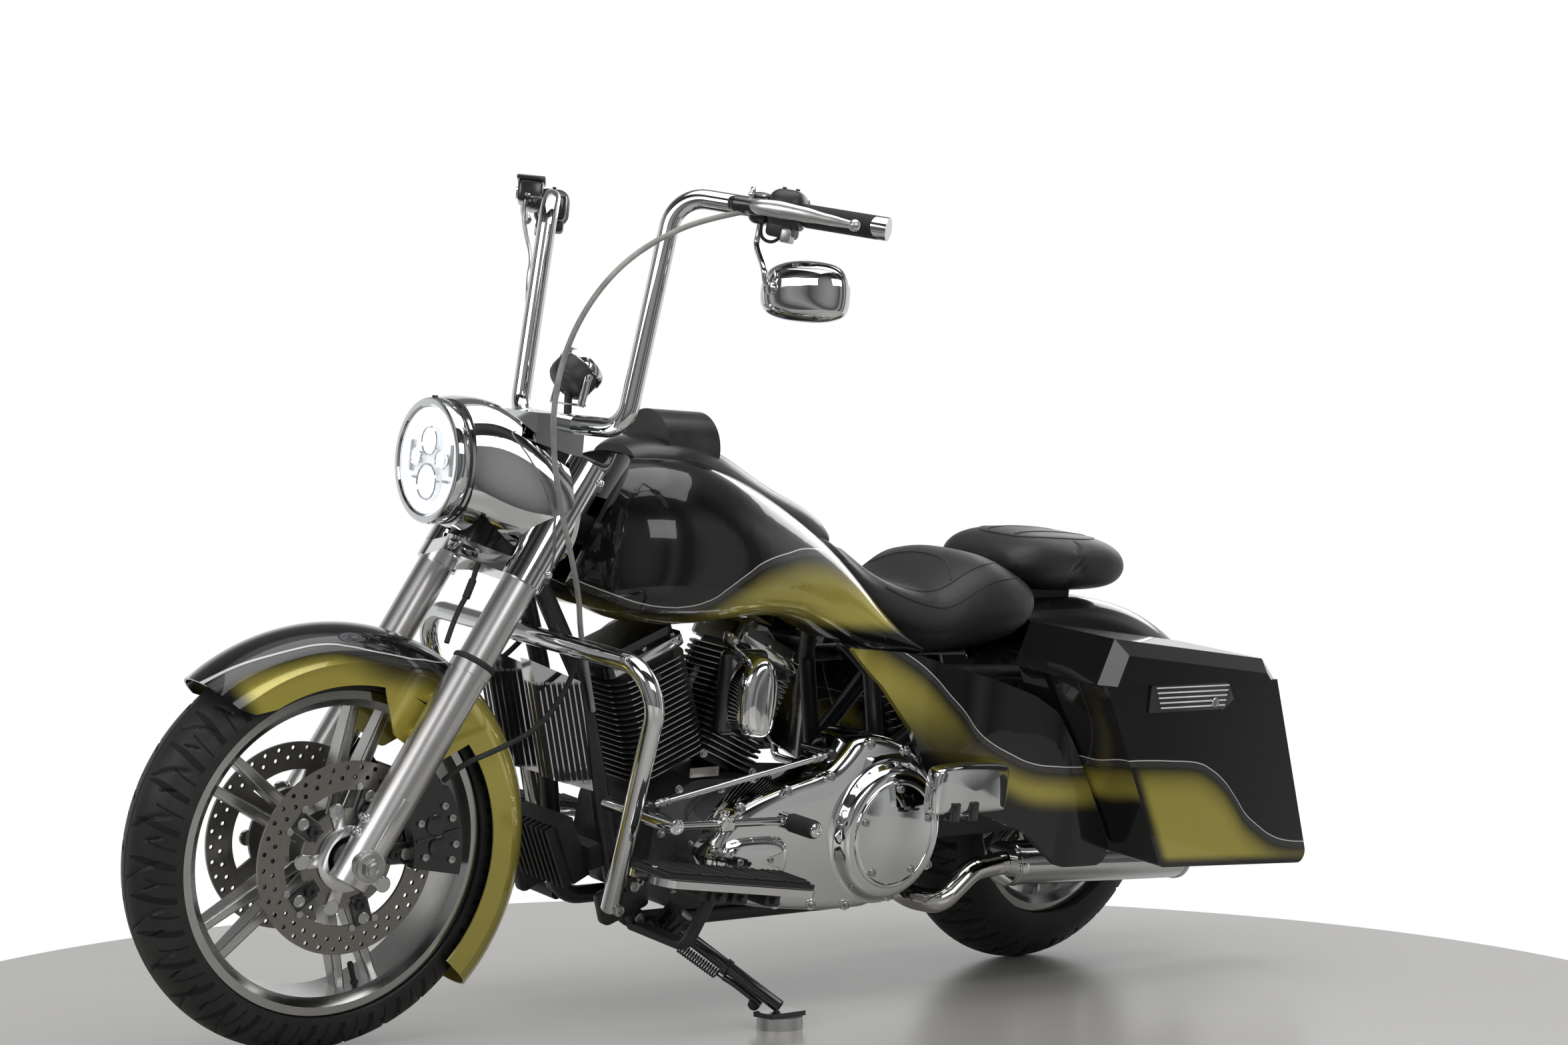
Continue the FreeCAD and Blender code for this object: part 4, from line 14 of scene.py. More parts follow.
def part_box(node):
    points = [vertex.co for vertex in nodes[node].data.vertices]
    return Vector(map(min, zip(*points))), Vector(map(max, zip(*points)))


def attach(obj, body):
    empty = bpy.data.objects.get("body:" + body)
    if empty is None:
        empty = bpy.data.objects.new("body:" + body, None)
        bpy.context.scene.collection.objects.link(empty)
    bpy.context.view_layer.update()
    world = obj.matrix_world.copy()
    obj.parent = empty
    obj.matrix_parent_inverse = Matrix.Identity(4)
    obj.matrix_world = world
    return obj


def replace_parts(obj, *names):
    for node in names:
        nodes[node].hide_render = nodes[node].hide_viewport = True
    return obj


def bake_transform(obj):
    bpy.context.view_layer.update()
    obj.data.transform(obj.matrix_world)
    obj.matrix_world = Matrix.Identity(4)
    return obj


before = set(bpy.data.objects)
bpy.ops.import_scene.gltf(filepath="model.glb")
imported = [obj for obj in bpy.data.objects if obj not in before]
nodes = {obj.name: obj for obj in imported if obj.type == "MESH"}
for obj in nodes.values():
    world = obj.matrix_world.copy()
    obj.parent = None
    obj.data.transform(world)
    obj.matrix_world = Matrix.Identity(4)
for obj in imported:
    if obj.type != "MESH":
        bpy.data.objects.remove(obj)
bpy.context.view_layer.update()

# %% [markdown]
# ## Where things are
# The rear tyre's box tells where the machine is parked. Two matrices take a point from the
# upright space to its parked place: one for the frame, one for all that turns with the bar.

# %% Where things are
LEAN = math.radians(9.15)
STEER = math.radians(-3.25)
RAKE = math.radians(26.0)
LEG_RAKE = math.radians(29.56)
WHEELBASE = 1.625
STEM_LEAD = 0.014
REAR_R = 0.3276
REAR_HEIGHT = 0.324577
FRONT_Z = 0.321016
FRONT_AXLE = (WHEELBASE * 1000, FRONT_Z * 1000)

tyre_low, tyre_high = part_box("rear_tyre")
SHIFT = Vector(((tyre_low.x + tyre_high.x) / 2, (tyre_low.y + tyre_high.y) / 2, 0))
PARK = (Matrix.Translation(SHIFT + Vector((0, 0, REAR_HEIGHT))) @ Matrix.Rotation(-LEAN, 4, "X")
        @ Matrix.Translation(Vector((0, 0, -REAR_R))))
STEM = Vector((-math.sin(RAKE), 0, math.cos(RAKE)))
NECK = Vector((WHEELBASE + STEM_LEAD, 0, FRONT_Z))
TURN = PARK @ Matrix.Translation(NECK) @ Matrix.Rotation(STEER, 4, STEM) @ Matrix.Translation(-NECK)
SPACE = {body: PARK for body in ("frame", "rear_wheel", "side_stand", "left_lid", "right_lid")}
SPACE.update({body: TURN for body in ("steering", "front_wheel")})
LEFT = Vector((0, 1, 0))
RIGHT = -LEFT
AHEAD = Vector((1, 0, 0))
UP = Vector((0, 0, 1))


def mm(*point):
    """A point given in millimetres."""
    return Vector(point) / 1000.0


def leg(s, forward=0.0, y=0.0):
    """A point up the fork legs from the front axle, all in millimetres."""
    return mm(FRONT_AXLE[0] - s * math.sin(LEG_RAKE) + forward * math.cos(LEG_RAKE), y,
              FRONT_AXLE[1] + s * math.cos(LEG_RAKE) + forward * math.sin(LEG_RAKE))


def polar(r, degrees, y=0.0, centre=FRONT_AXLE):
    """A point at a radius and angle round a centre, in millimetres; 0 is ahead, 90 is above."""
    a = math.radians(degrees)
    return mm(centre[0] + r * math.cos(a), y, centre[1] + r * math.sin(a))


print("parked at", tuple(round(v, 4) for v in SHIFT))

# %% [markdown]
# ## Shader arithmetic
# `add_node` makes any node. `Wire` wraps a shader socket, so that masks can be written as sums
# and products. `Paint` starts a material and ends it in a Principled shader.

# %% Shader arithmetic
def plug(tree, node, inputs):
    """Links wires to a node's sockets, and sets the other sockets to plain values."""
    for key, value in inputs.items():
        slot = node.inputs[int(key[1:]) if key[1:].isdigit() else key.replace("_", " ")]
        if isinstance(value, Wire):
            tree.links.new(value.socket, slot)
        elif slot.type == "RGBA" and len(value) == 3:
            slot.default_value = (*value, 1.0)
        else:
            slot.default_value = value


def add_node(tree, kind, out=0, props=None, **inputs):
    """Any node: its settings, its sockets by name or by number after an i, and its output."""
    node = tree.nodes.new(kind)
    for key, value in (props or {}).items():
        setattr(node, key, value)
    plug(tree, node, inputs)
    return Wire(tree, node.outputs[out])


class Wire:
    """A shader socket that takes part in arithmetic."""

    def __init__(self, tree, socket):
        self.tree, self.socket = tree, socket

    def math(self, operation, *others):
        values = {"i%d" % k: value for k, value in enumerate((self,) + others)}
        return add_node(self.tree, "ShaderNodeMath", 0, {"operation": operation}, **values)

    def __add__(self, other): return self.math("ADD", other)
    def __radd__(self, other): return self.math("ADD", other)
    def __sub__(self, other): return self.math("SUBTRACT", other)
    def __mul__(self, other): return self.math("MULTIPLY", other)
    def __rmul__(self, other): return self.math("MULTIPLY", other)
    def __truediv__(self, other): return self.math("DIVIDE", other)
    def __rsub__(self, other): return (self * -1.0) + other
    def __neg__(self): return self * -1.0
    def __abs__(self): return self.math("ABSOLUTE")

    def low(self, other): return self.math("MINIMUM", other)
    def high(self, other): return self.math("MAXIMUM", other)
    def over(self, other): return self.math("GREATER_THAN", other)
    def under(self, other): return self.math("LESS_THAN", other)
    def wrap(self, size): return self.math("WRAP", size, 0.0)
    def sine(self): return self.math("SINE")
    def root(self): return self.math("SQRT")
    def near(self, other): return abs(self.math("SUBTRACT", other))

    def step(self, start, end, low=0.0, high=1.0):
        """From low at start to high at end, smooth between; start may be the larger."""
        return add_node(self.tree, "ShaderNodeMapRange", 0, {"interpolation_type": "SMOOTHSTEP"},
                        Value=self, From_Min=start, From_Max=end, To_Min=low, To_Max=high)

    def range(self, low, high):
        """From 0..1 to low..high."""
        return self * (high - low) + low

    def split(self):
        """The three parts of a vector."""
        parts = add_node(self.tree, "ShaderNodeSeparateXYZ", i0=self).socket.node.outputs
        return [Wire(self.tree, part) for part in parts]


class Paint:
    """A node material under construction."""

    def __init__(self, name):
        self.material = bpy.data.materials.new(name)
        self.material.use_nodes = True
        self.tree = self.material.node_tree
        self.tree.nodes.clear()
        surface = self.make("ShaderNodeBsdfPrincipled")
        self.shader = surface.socket.node
        self.out = self.tree.nodes.new("ShaderNodeOutputMaterial")
        plug(self.tree, self.out, {"Surface": surface})
        self.position = self.make("ShaderNodeTexCoord", "Object")

    def make(self, kind, out=0, props=None, **inputs):
        return add_node(self.tree, kind, out, props, **inputs)

    def upright(self, body="frame"):
        """Object coordinates turned back to the machine's upright space, as three wires."""
        back = SPACE[body].inverted()
        return self.make("ShaderNodeMapping", 0, {"vector_type": "POINT"}, Vector=self.position,
                         Location=back.translation, Rotation=back.to_euler()).split()

    def facing(self):
        """How far the surface faces forward, from -1 to 1."""
        return self.make("ShaderNodeTexCoord", "Normal").split()[0]

    def noise(self, scale, detail=3.0, roughness=0.5):
        return self.make("ShaderNodeTexNoise", 0, Vector=self.position, Scale=scale, Detail=detail,
                         Roughness=roughness)

    def streaks(self, x, y, z):
        """Noise drawn out to fine lines, by wires of very different scale."""
        where = self.make("ShaderNodeCombineXYZ", 0, X=x, Y=y, Z=z)
        return self.make("ShaderNodeTexNoise", 0, Vector=where, Scale=1.0, Detail=2.0)

    def cells(self, scale):
        """How far the nearest edge between rounded cells is."""
        return self.make("ShaderNodeTexVoronoi", 0, {"feature": "DISTANCE_TO_EDGE"}, Vector=self.position,
                         Scale=scale)

    def colour(self, factor, first, second):
        """Mixes two colours; each is a triple or a wire."""
        return self.make("ShaderNodeMix", 2, {"data_type": "RGBA"}, i0=factor, i6=first, i7=second)

    def set(self, **inputs):
        plug(self.tree, self.shader, inputs)

    def bump(self, height, distance=0.001, strength=1.0):
        """Ends the material with a bump whose height is in units of distance."""
        self.set(Normal=self.make("ShaderNodeBump", 0, Height=height, Distance=distance, Strength=strength))
        return self.material


def times(tint, share):
    """A colour made darker or lighter."""
    return tuple(share * c for c in tint)


# %% [markdown]
# ## Plain finishes
# Chrome, brushed and polished metal, powder coat, rubber and plastic. Each has its own fine
# unevenness in roughness, colour and bump, because a surface of one single value looks unreal.

# %% Plain finishes
def chrome(name="chrome", tint=(0.86, 0.87, 0.88), rough=0.035):
    p = Paint(name)
    smear = p.noise(9.0, 4.0, 0.6)
    fine = p.noise(220.0, 2.0)
    p.set(Base_Color=p.colour(smear, tint, times(tint, 0.93)), Metallic=1.0,
          Roughness=smear.range(rough * 0.6, rough * 1.9) + fine * 0.01)
    return p.bump(p.noise(26.0, 2.0), 0.00012, 0.35)


def brushed_leg(name, tint, rough):
    """Metal with fine lines along the fork legs."""
    p = Paint(name)
    x, y, z = p.upright("steering")
    fore = x * math.cos(LEG_RAKE) + z * math.sin(LEG_RAKE)
    along = z * math.cos(LEG_RAKE) - x * math.sin(LEG_RAKE)
    lines = p.streaks(fore * 900.0, y * 900.0, along * 9.0)
    wear = p.noise(14.0, 4.0, 0.65)
    p.set(Base_Color=p.colour(lines, tint, times(tint, 0.78)), Metallic=1.0,
          Roughness=lines.range(rough * 0.8, rough * 1.25) + wear * 0.05, Anisotropic=0.35)
    return p.bump(lines, 0.00006, 0.5)


def polished(name="polished_aluminium", tint=(0.78, 0.785, 0.79), rough=0.13):
    p = Paint(name)
    wear = p.noise(18.0, 5.0, 0.62)
    fine = p.noise(420.0, 2.0)
    p.set(Base_Color=p.colour(wear, tint, times(tint, 0.82)), Metallic=1.0,
          Roughness=wear.range(rough * 0.6, rough * 1.7) + fine * 0.03)
    return p.bump(fine, 0.00004, 0.5)


def coat(name, tint=(0.011, 0.011, 0.012), rough=0.36, grain=900.0, depth=0.00006, shine=0.15):
    """Powder coat or moulded plastic."""
    p = Paint(name)
    fine = p.noise(grain, 3.0, 0.6)
    dust = p.noise(16.0, 5.0, 0.65)
    dusty = tuple(min(1.0, 1.9 * c + 0.004) for c in tint)
    p.set(Base_Color=p.colour(dust.step(0.35, 0.8), tint, dusty), Coat_Weight=shine, Coat_Roughness=0.18,
          Roughness=dust.range(rough * 0.8, rough * 1.3) + fine * 0.06)
    return p.bump(fine, depth, 0.7)


def rubber(name="rubber", tint=(0.016, 0.016, 0.016), rough=0.62):
    p = Paint(name)
    fine = p.noise(700.0, 4.0, 0.6)
    dust = p.noise(22.0, 5.0, 0.6)
    p.set(Base_Color=p.colour(dust.step(0.4, 0.85), tint, times(tint, 2.1)),
          Roughness=dust.range(rough, rough + 0.16))
    return p.bump(fine, 0.00012, 0.6)


print("plain finishes: chrome, brushed legs, polished metal, coat, rubber")

# %% [markdown]
# ## Leather, tyre, disc and glass
# Leather is a net of creases between rounded cells. A tyre and a disc are patterned round their
# own axle, so both start from a radius and an angle. Glass mixes a clear and a glossy surface.

# %% Leather, tyre, disc and glass
def leather(name="leather"):
    """Fine pebble grain: rounded cells with creases between them, the creases painted darker as shade, and
    darker where it is handled.
    """
    p = Paint(name)
    warp = p.noise(34.0, 3.0)
    grain = p.cells(640.0).step(0.0, 0.16) * 0.7 + p.cells(170.0).step(0.0, 0.07) * 0.3
    wear = p.noise(11.0, 5.0, 0.6)
    # Painted shade: the creases between the cells are coloured darker than the cell tops.
    p.set(Base_Color=p.colour(grain * warp.range(0.7, 1.0), (0.006, 0.006, 0.007), (0.021, 0.021, 0.023)),
          Roughness=wear.range(0.3, 0.46) + (1.0 - grain) * 0.12, Specular_IOR_Level=0.55)
    return p.bump(grain + warp * 0.25, 0.00016, 0.8)


def wheel_coordinates(p, body, centre):
    """Radius, angle and sideways place round a wheel's axle."""
    x, y, z = p.upright(body)
    dx, dz = x - centre.x, z - centre.z
    return (dx * dx + dz * dz).root(), dz.math("ARCTAN2", dx), y


def tyre(name, body, centre, outer, count):
    """Rubber with curved tread cuts that run from near the middle out over the shoulder; the cuts are
    painted near black, as shade in the grooves.
    """
    p = Paint(name)
    radius, angle, y = wheel_coordinates(p, body, centre)
    across = abs(y) / 0.09
    skew = across * across * 0.2 - across * 0.1 + y.math("SIGN") * (math.pi / count)
    cut = (angle + skew) * (count / (2 * math.pi))
    long_cut = cut.wrap(1.0).near(0.5).under(across.step(0.08, 0.5) * 0.07 + 0.03)
    long_cut = long_cut * across.step(0.14, 0.17) * across.step(0.88, 0.84)
    short_cut = (cut + 0.5).wrap(1.0).near(0.5).under(0.035)
    short_cut = short_cut * across.step(0.42, 0.46) * across.step(0.82, 0.78)
    middle = abs(y).under(0.0022) * radius.step(outer * 0.95, outer * 0.96)
    groove = (long_cut.high(short_cut) * radius.step(outer * 0.83, outer * 0.85)).high(middle)
    ribs = (radius * 900.0).sine().step(0.86, 1.0) * radius.step(outer * 0.82, outer * 0.8)
    fine = p.noise(600.0, 4.0, 0.62)
    dust = p.noise(15.0, 5.0, 0.6)
    dark = p.colour(dust.step(0.4, 0.8), (0.012, 0.012, 0.012), (0.028, 0.027, 0.026))
    # Painted shade: the cuts and the middle line are coloured near black as the grooves' shade; the bump
    # also presses them in.
    p.set(Base_Color=p.colour(groove, dark, (0.002, 0.002, 0.002)),
          Roughness=dust.range(0.42, 0.6) + groove * 0.2)
    return p.bump(fine * 0.05 + ribs * 0.2 - groove * 1.6, 0.0022, 1.0)


HOLE_R = 0.0036


def disc(name, body, centre, rows, count=36):
    """Ground steel with rings of drilled holes, seen right through; rows are (radius, phase)."""
    p = Paint(name)
    radius, angle, y = wheel_coordinates(p, body, centre)
    solid = 1.0
    for at, phase in rows:
        turn = (angle * (count / (2 * math.pi)) + phase).wrap(1.0).near(0.5) * (2 * math.pi * at / count)
        out = radius.near(at)
        solid = (turn * turn + out * out).root().over(HOLE_R) * solid
    rings = p.streaks(radius * 900.0, 0.0, angle * 1.5)
    wear = p.noise(12.0, 5.0)
    p.set(Base_Color=p.colour(rings, (0.2, 0.19, 0.175), (0.36, 0.345, 0.32)), Metallic=0.95,
          Roughness=wear.range(0.26, 0.42), Alpha=solid)
    return p.bump(rings, 0.00008, 0.6)


def glass(name="lamp_glass", tint=(0.96, 0.98, 1.0)):
    """Thin clear cover: mostly see-through, brighter at a slant."""
    p = Paint(name)
    slant = p.make("ShaderNodeLayerWeight", "Facing", Blend=0.35)
    smear = p.noise(20.0, 3.0)
    p.set(Base_Color=(0.9, 0.92, 0.95), Roughness=smear.range(0.02, 0.06), Specular_IOR_Level=0.8)
    clear = p.make("ShaderNodeBsdfTransparent", i0=tint)
    glossy = Wire(p.tree, p.shader.outputs[0])
    pane = p.make("ShaderNodeMixShader", i0=slant * 0.5 + 0.08, i1=clear, i2=glossy)
    plug(p.tree, p.out, {"Surface": pane})
    return p.material


def glow(name, tint, strength, rough=0.2):
    """A lit surface with a slightly uneven brightness."""
    p = Paint(name)
    p.set(Base_Color=(0.9, 0.9, 0.92), Roughness=rough, Emission_Strength=strength,
          Emission_Color=p.colour(p.noise(120.0, 2.0), tint, times(tint, 0.8)))
    return p.material


def lamp_row(name="rear_lamp_lenses"):
    """Fluted red lenses; the two round lamps at the sides have bright bodies ahead of theirs."""
    p = Paint(name)
    x, y, z = p.upright("frame")
    flutes = (y * 1500.0).sine() * (z * 1500.0).sine()
    body = abs(y).step(0.12, 0.121) * (x + 0.489).step(0.0, 0.001)
    p.set(Base_Color=p.colour(body, (0.42, 0.008, 0.008), (0.62, 0.62, 0.62)), Metallic=body,
          Roughness=flutes.range(0.08, 0.14), Coat_Weight=1.0, Coat_Roughness=0.03)
    return p.bump(flutes, 0.0003, 0.5)


print("patterned finishes: leather, tyre, disc, glass, glow, lamp row; holes of radius", HOLE_R, "m")

# %% [markdown]
# ## Paint
# Deep gloss black with airbrushed olive fades. A silver pinstripe and a band of dark mesh
# follow a curve; below it the olive comes up and fades back to black.

# %% Paint
BLACK = (0.0045, 0.0045, 0.005)
OLIVE = (0.27, 0.225, 0.022)
OLIVE_LIGHT = (0.47, 0.4, 0.06)
SILVER = (0.55, 0.56, 0.56)
OLIVE_METAL = 0.45


def curve_value(p, wire, points):
    """A smooth curve through points (input, output)."""
    ins, outs = zip(*points)
    low_in, high_in, low_out, high_out = min(ins), max(ins), min(outs), max(outs)
    share = p.make("ShaderNodeMapRange", 0, Value=wire, From_Min=low_in, From_Max=high_in)
    curve = p.make("ShaderNodeFloatCurve", 0, Value=share)
    mapping = curve.socket.node.mapping
    line = mapping.curves[0].points
    while len(line) < len(points):
        line.new(0.5, 0.5)
    for point, (a, b) in zip(line, sorted(points)):
        point.location = ((a - low_in) / (high_in - low_in), (b - low_out) / (high_out - low_out))
        point.handle_type = "AUTO"
    mapping.update()
    return curve.range(low_out, high_out)


def gloss_paint(name, scheme=None, body="frame"):
    """Black enamel under clear coat; a scheme gives the masks olive, light olive, pinstripe and mesh."""
    p = Paint(name)
    x, y, z = p.upright(body)
    peel = p.noise(60.0, 2.0)
    base = p.colour(p.noise(5.0, 3.0), BLACK, (0.008, 0.008, 0.009))
    metal = 0.0
    if scheme:
        olive, light, stripe, mesh = scheme(p, x, y, z)
        flake = p.make("ShaderNodeTexVoronoi", "Color", Vector=p.position, Scale=3800.0)
        sparkle = p.make("ShaderNodeSeparateColor", 0, Color=flake)
        tone = p.colour(sparkle * 0.35, p.colour(light, OLIVE, OLIVE_LIGHT), (0.62, 0.55, 0.2))
        base = p.colour(olive, base, tone)
        weave = ((x + z) * 1250.0).sine() * ((x - z) * 1250.0).sine()
        base = p.colour(mesh, base, p.colour(weave.step(-0.2, 0.4), (0.012, 0.012, 0.012),
                                             (0.075, 0.075, 0.07)))
        base = p.colour(stripe, base, SILVER)
        metal = (olive * OLIVE_METAL).low(OLIVE_METAL)
    p.set(Base_Color=base, Metallic=metal, Roughness=peel.range(0.16, 0.26), Coat_Weight=1.0,
          Coat_Roughness=0.015, Specular_IOR_Level=0.15)
    return p.bump(peel, 0.00008, 0.35)


def stripe_masks(distance, fade):
    """Masks under a curve: distance is metres below it, fade how softly the olive comes up."""
    stripe = distance.near(0.0).step(0.0013, 0.0007)
    mesh = distance.step(0.002, 0.003) * distance.step(0.013, 0.011)
    olive = distance.step(0.008, 0.008 + fade)
    light = distance.step(0.012 + fade * 0.4, 0.02 + fade * 1.4)
    return olive, light, stripe, mesh


print("gloss paint ready; olive flake", OLIVE, "under a pinstripe of", SILVER)

# %% [markdown]
# ## Shaping pieces
# Small pieces start as primitives and are shaped in edit mode or with modifiers that are
# applied. `place` sets a finished one down in its body's space and lets it ride there.

# %% Shaping pieces
def only(obj):
    bpy.ops.object.select_all(action="DESELECT")
    obj.select_set(True)
    bpy.context.view_layer.objects.active = obj
    return obj


def linked(obj):
    bpy.context.scene.collection.objects.link(obj)
    return obj


def duplicate(obj):
    """A copy with a mesh of its own."""
    other = obj.copy()
    other.data = obj.data.copy()
    return linked(other)


def bake(obj):
    only(obj)
    bpy.ops.object.transform_apply(location=True, rotation=True, scale=True)
    return obj


def edit(obj, operator, **settings):
    """Runs one edit-mode operator on a whole piece."""
    only(obj)
    bpy.ops.object.mode_set(mode="EDIT")
    bpy.ops.mesh.select_all(action="SELECT")
    operator(**settings)
    bpy.ops.object.mode_set(mode="OBJECT")
    return obj


def merged(obj, distance):
    return edit(obj, bpy.ops.mesh.remove_doubles, threshold=distance)


def outward(obj):
    """Turns all faces to the outside."""
    return edit(obj, bpy.ops.mesh.normals_make_consistent, inside=False)


def modify(obj, kind, **settings):
    """Adds a modifier and applies it."""
    only(obj)
    modifier = obj.modifiers.new(kind.lower(), kind)
    for key, value in settings.items():
        setattr(modifier, key, value)
    bpy.ops.object.modifier_apply(modifier=modifier.name)
    return obj


def bevel(obj, width, segments=2):
    """Rounds the edges that turn by more than 40 degrees."""
    return modify(obj, "BEVEL", width=width, segments=segments, limit_method="ANGLE",
                  angle_limit=math.radians(40))


def smooth(obj, degrees=35):
    only(obj)
    bpy.ops.object.shade_smooth_by_angle(angle=math.radians(degrees))
    return obj


def join(parts):
    bpy.ops.object.select_all(action="DESELECT")
    for part in parts:
        part.select_set(True)
    bpy.context.view_layer.objects.active = parts[0]
    if len(parts) > 1:
        bpy.ops.object.join()
    return bpy.context.view_layer.objects.active


def dress(obj, name, material):
    """Names a piece and gives it its one material."""
    obj.name = obj.data.name = name
    obj.data.materials.clear()
    obj.data.materials.append(material)
    print(name, "faces", len(obj.data.polygons))
    return obj


def place(parts, name, material, body="frame", angle=35):
    """Joins finished parts and sets them down in a body's space."""
    obj = join([bake(part) for part in (parts if isinstance(parts, list) else [parts])])
    obj.data.transform(SPACE[body])
    smooth(dress(obj, name, material), angle)
    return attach(obj, body)


print("shaping tools ready")

# %% [markdown]
# ## Bars, boxes and turned pieces
# Most small parts are bars, rounded boxes or turned profiles. A bar is set between two points, a
# box by its centre and size, and the lathe spins a line of (radius, height) pairs. A hose is a
# curve with thickness, turned into a mesh.

# %% Bars, boxes and turned pieces
def aim(direction):
    """Turns Z to a direction."""
    return Vector(direction).to_track_quat("Z", "Y").to_euler()


def rod(start, end, radius, sides=24, edge=0.0, end_radius=None):
    """A round or many-sided bar between two points; an end radius makes it a cone."""
    start, end = Vector(start), Vector(end)
    at = dict(vertices=sides, depth=(end - start).length, location=(start + end) / 2,
              rotation=aim(end - start))
    if end_radius is None:
        bpy.ops.mesh.primitive_cylinder_add(radius=radius, **at)
    else:
        bpy.ops.mesh.primitive_cone_add(radius1=radius, radius2=end_radius, **at)
    obj = bake(bpy.context.object)
    return bevel(obj, edge, 2) if edge else obj


def slab(centre, size, turn=0.0, edge=0.0, segments=2, yaw=0.0):
    """A box with rounded edges, turned in its side view by an angle and in plan by a yaw."""
    bpy.ops.mesh.primitive_cube_add(size=1.0, location=centre, rotation=(0, turn, yaw))
    obj = bpy.context.object
    obj.scale = size
    bake(obj)
    return bevel(obj, edge, segments) if edge else obj


def meshed(name, verts, faces, edges=()):
    """A new object from its points and faces."""
    mesh = bpy.data.meshes.new(name)
    mesh.from_pydata([tuple(v) for v in verts], list(edges), faces)
    return linked(bpy.data.objects.new(name, mesh))


def lathe(profile, start, direction, sides=48):
    """Turns a profile of (radius, height) about an axis."""
    edges = zip(range(len(profile)), range(1, len(profile)))
    obj = meshed("profile", [(r, 0, h) for r, h in profile], [], edges)
    modify(obj, "SCREW", steps=sides, render_steps=sides, use_merge_vertices=True, merge_threshold=1e-6,
           use_normal_calculate=True)
    outward(merged(obj, 1e-6))
    obj.location = start
    obj.rotation_euler = aim(direction)
    return bake(obj)


def rows_of_faces(rows, count, closed=False):
    """Faces between rows of points; a row runs round, and so do the rows if closed."""
    faces = []
    for k in range(rows if closed else rows - 1):
        n = (k + 1) % rows
        for i in range(count):
            j = (i + 1) % count
            faces.append((k * count + i, k * count + j, n * count + j, n * count + i))
    return faces


def hose(points, radius):
    """A smooth round tube through its control points, as a mesh."""
    curve = bpy.data.curves.new("hose", "CURVE")
    curve.dimensions = "3D"
    curve.bevel_depth = radius
    curve.bevel_resolution = 6
    curve.resolution_u = 8
    curve.use_fill_caps = True
    spline = curve.splines.new("NURBS")
    spline.points.add(len(points) - 1)
    for point, at in zip(spline.points, points):
        point.co = (*at, 1.0)
    spline.order_u = 3
    spline.use_endpoint_u = True
    only(linked(bpy.data.objects.new("hose", curve)))
    bpy.ops.object.convert(target="MESH")
    return bpy.context.object


print("bars, boxes, lathe and hose ready")

# %% [markdown]
# ## Copies, mirrored parts and bolts
# A bolt is modelled once and copied to many places. Both sides of the machine are alike, so most
# parts are made on the left and mirrored, with their faces turned right again.

# %% Copies, mirrored parts and bolts
def copies(template, places):
    """Copies of a piece modelled at the origin with Z up, set at points and turned to directions."""
    made = []
    for at, direction in places:
        part = duplicate(template)
        part.location = at
        part.rotation_euler = aim(direction)
        made.append(part)
    bpy.data.objects.remove(template)
    return made


def mirror_y(obj):
    """A piece turned over to the other side, with its faces turned right again."""
    obj.data.transform(Matrix.Scale(-1, 4, LEFT))
    obj.data.flip_normals()
    return obj


def both_sides(parts):
    parts = [bake(part) for part in parts]
    return parts + [mirror_y(duplicate(part)) for part in parts]


def other_side(point):
    return Vector((point.x, -point.y, point.z))


def socket_bolt(radius, height):
    """A round-headed bolt with a six-sided recess."""
    bpy.ops.mesh.primitive_cylinder_add(vertices=24, radius=radius, depth=height,
                                        location=(0, 0, height / 2))
    head = bevel(bake(bpy.context.object), radius * 0.18, 2)
    bpy.ops.mesh.primitive_cylinder_add(vertices=6, radius=radius * 0.5, depth=height,
                                        location=(0, 0, height * 1.05))
    key = bake(bpy.context.object)
    modify(head, "BOOLEAN", operation="DIFFERENCE", object=key)
    bpy.data.objects.remove(key)
    return head


def hex_bolt(radius, height):
    """A six-sided head on a round flange."""
    bpy.ops.mesh.primitive_cylinder_add(vertices=32, radius=radius * 1.2, depth=height * 0.3,
                                        location=(0, 0, height * 0.15))
    flange = bevel(bake(bpy.context.object), height * 0.08, 1)
    bpy.ops.mesh.primitive_cylinder_add(vertices=6, radius=radius, depth=height * 0.8,
                                        location=(0, 0, height * 0.65))
    head = bevel(bake(bpy.context.object), radius * 0.12, 2)
    return join([flange, head])


print("copies and bolts ready")

# %% [markdown]
# ## Paint schemes
# Each painted panel has its own stripe, set out as a curve in the upright space: the tank's and
# the cases' as a height over length, the front fender's as a radius over angle round the axle.

# %% Paint schemes
TANK_LINE = ((0.5, 0.70), (0.6, 0.765), (0.7, 0.805), (0.809, 0.8257), (0.869, 0.819), (0.9216, 0.8078),
             (0.967, 0.7856), (1.0066, 0.7606), (1.0435, 0.738), (1.084, 0.7275), (1.119, 0.7254),
             (1.156, 0.7285), (1.182, 0.735), (1.26, 0.775))
COVER_LINE = ((0.2, 0.4635), (0.246, 0.4625), (0.2995, 0.4618), (0.3415, 0.4635), (0.3774, 0.4786),
              (0.4025, 0.4924), (0.428, 0.5111), (0.464, 0.5507), (0.5, 0.5805), (0.535, 0.6102),
              (0.583, 0.6438), (0.7, 0.70))
BAG_LINE = ((-0.3, 0.319), (-0.223, 0.3251), (-0.1715, 0.3388), (-0.1317, 0.3578), (-0.0914, 0.381),
            (-0.0487, 0.4191), (-0.0075, 0.4521), (0.031, 0.4729), (0.068, 0.486), (0.1585, 0.4939),
            (0.246, 0.4975), (0.27, 0.4975))
FENDER_LINE = ((-45, 0.3515), (-38, 0.3475), (-33, 0.3445), (-28, 0.3405), (-23, 0.3366), (-18, 0.334),
               (-12, 0.332), (-7, 0.329), (-2, 0.3237), (10, 0.317), (22, 0.326), (34, 0.352), (50, 0.38),
               (134, 0.40))
BAG_FOOT = 0.277
BAG_FOOT_RISE = 0.0447
BAG_REAR = -0.3


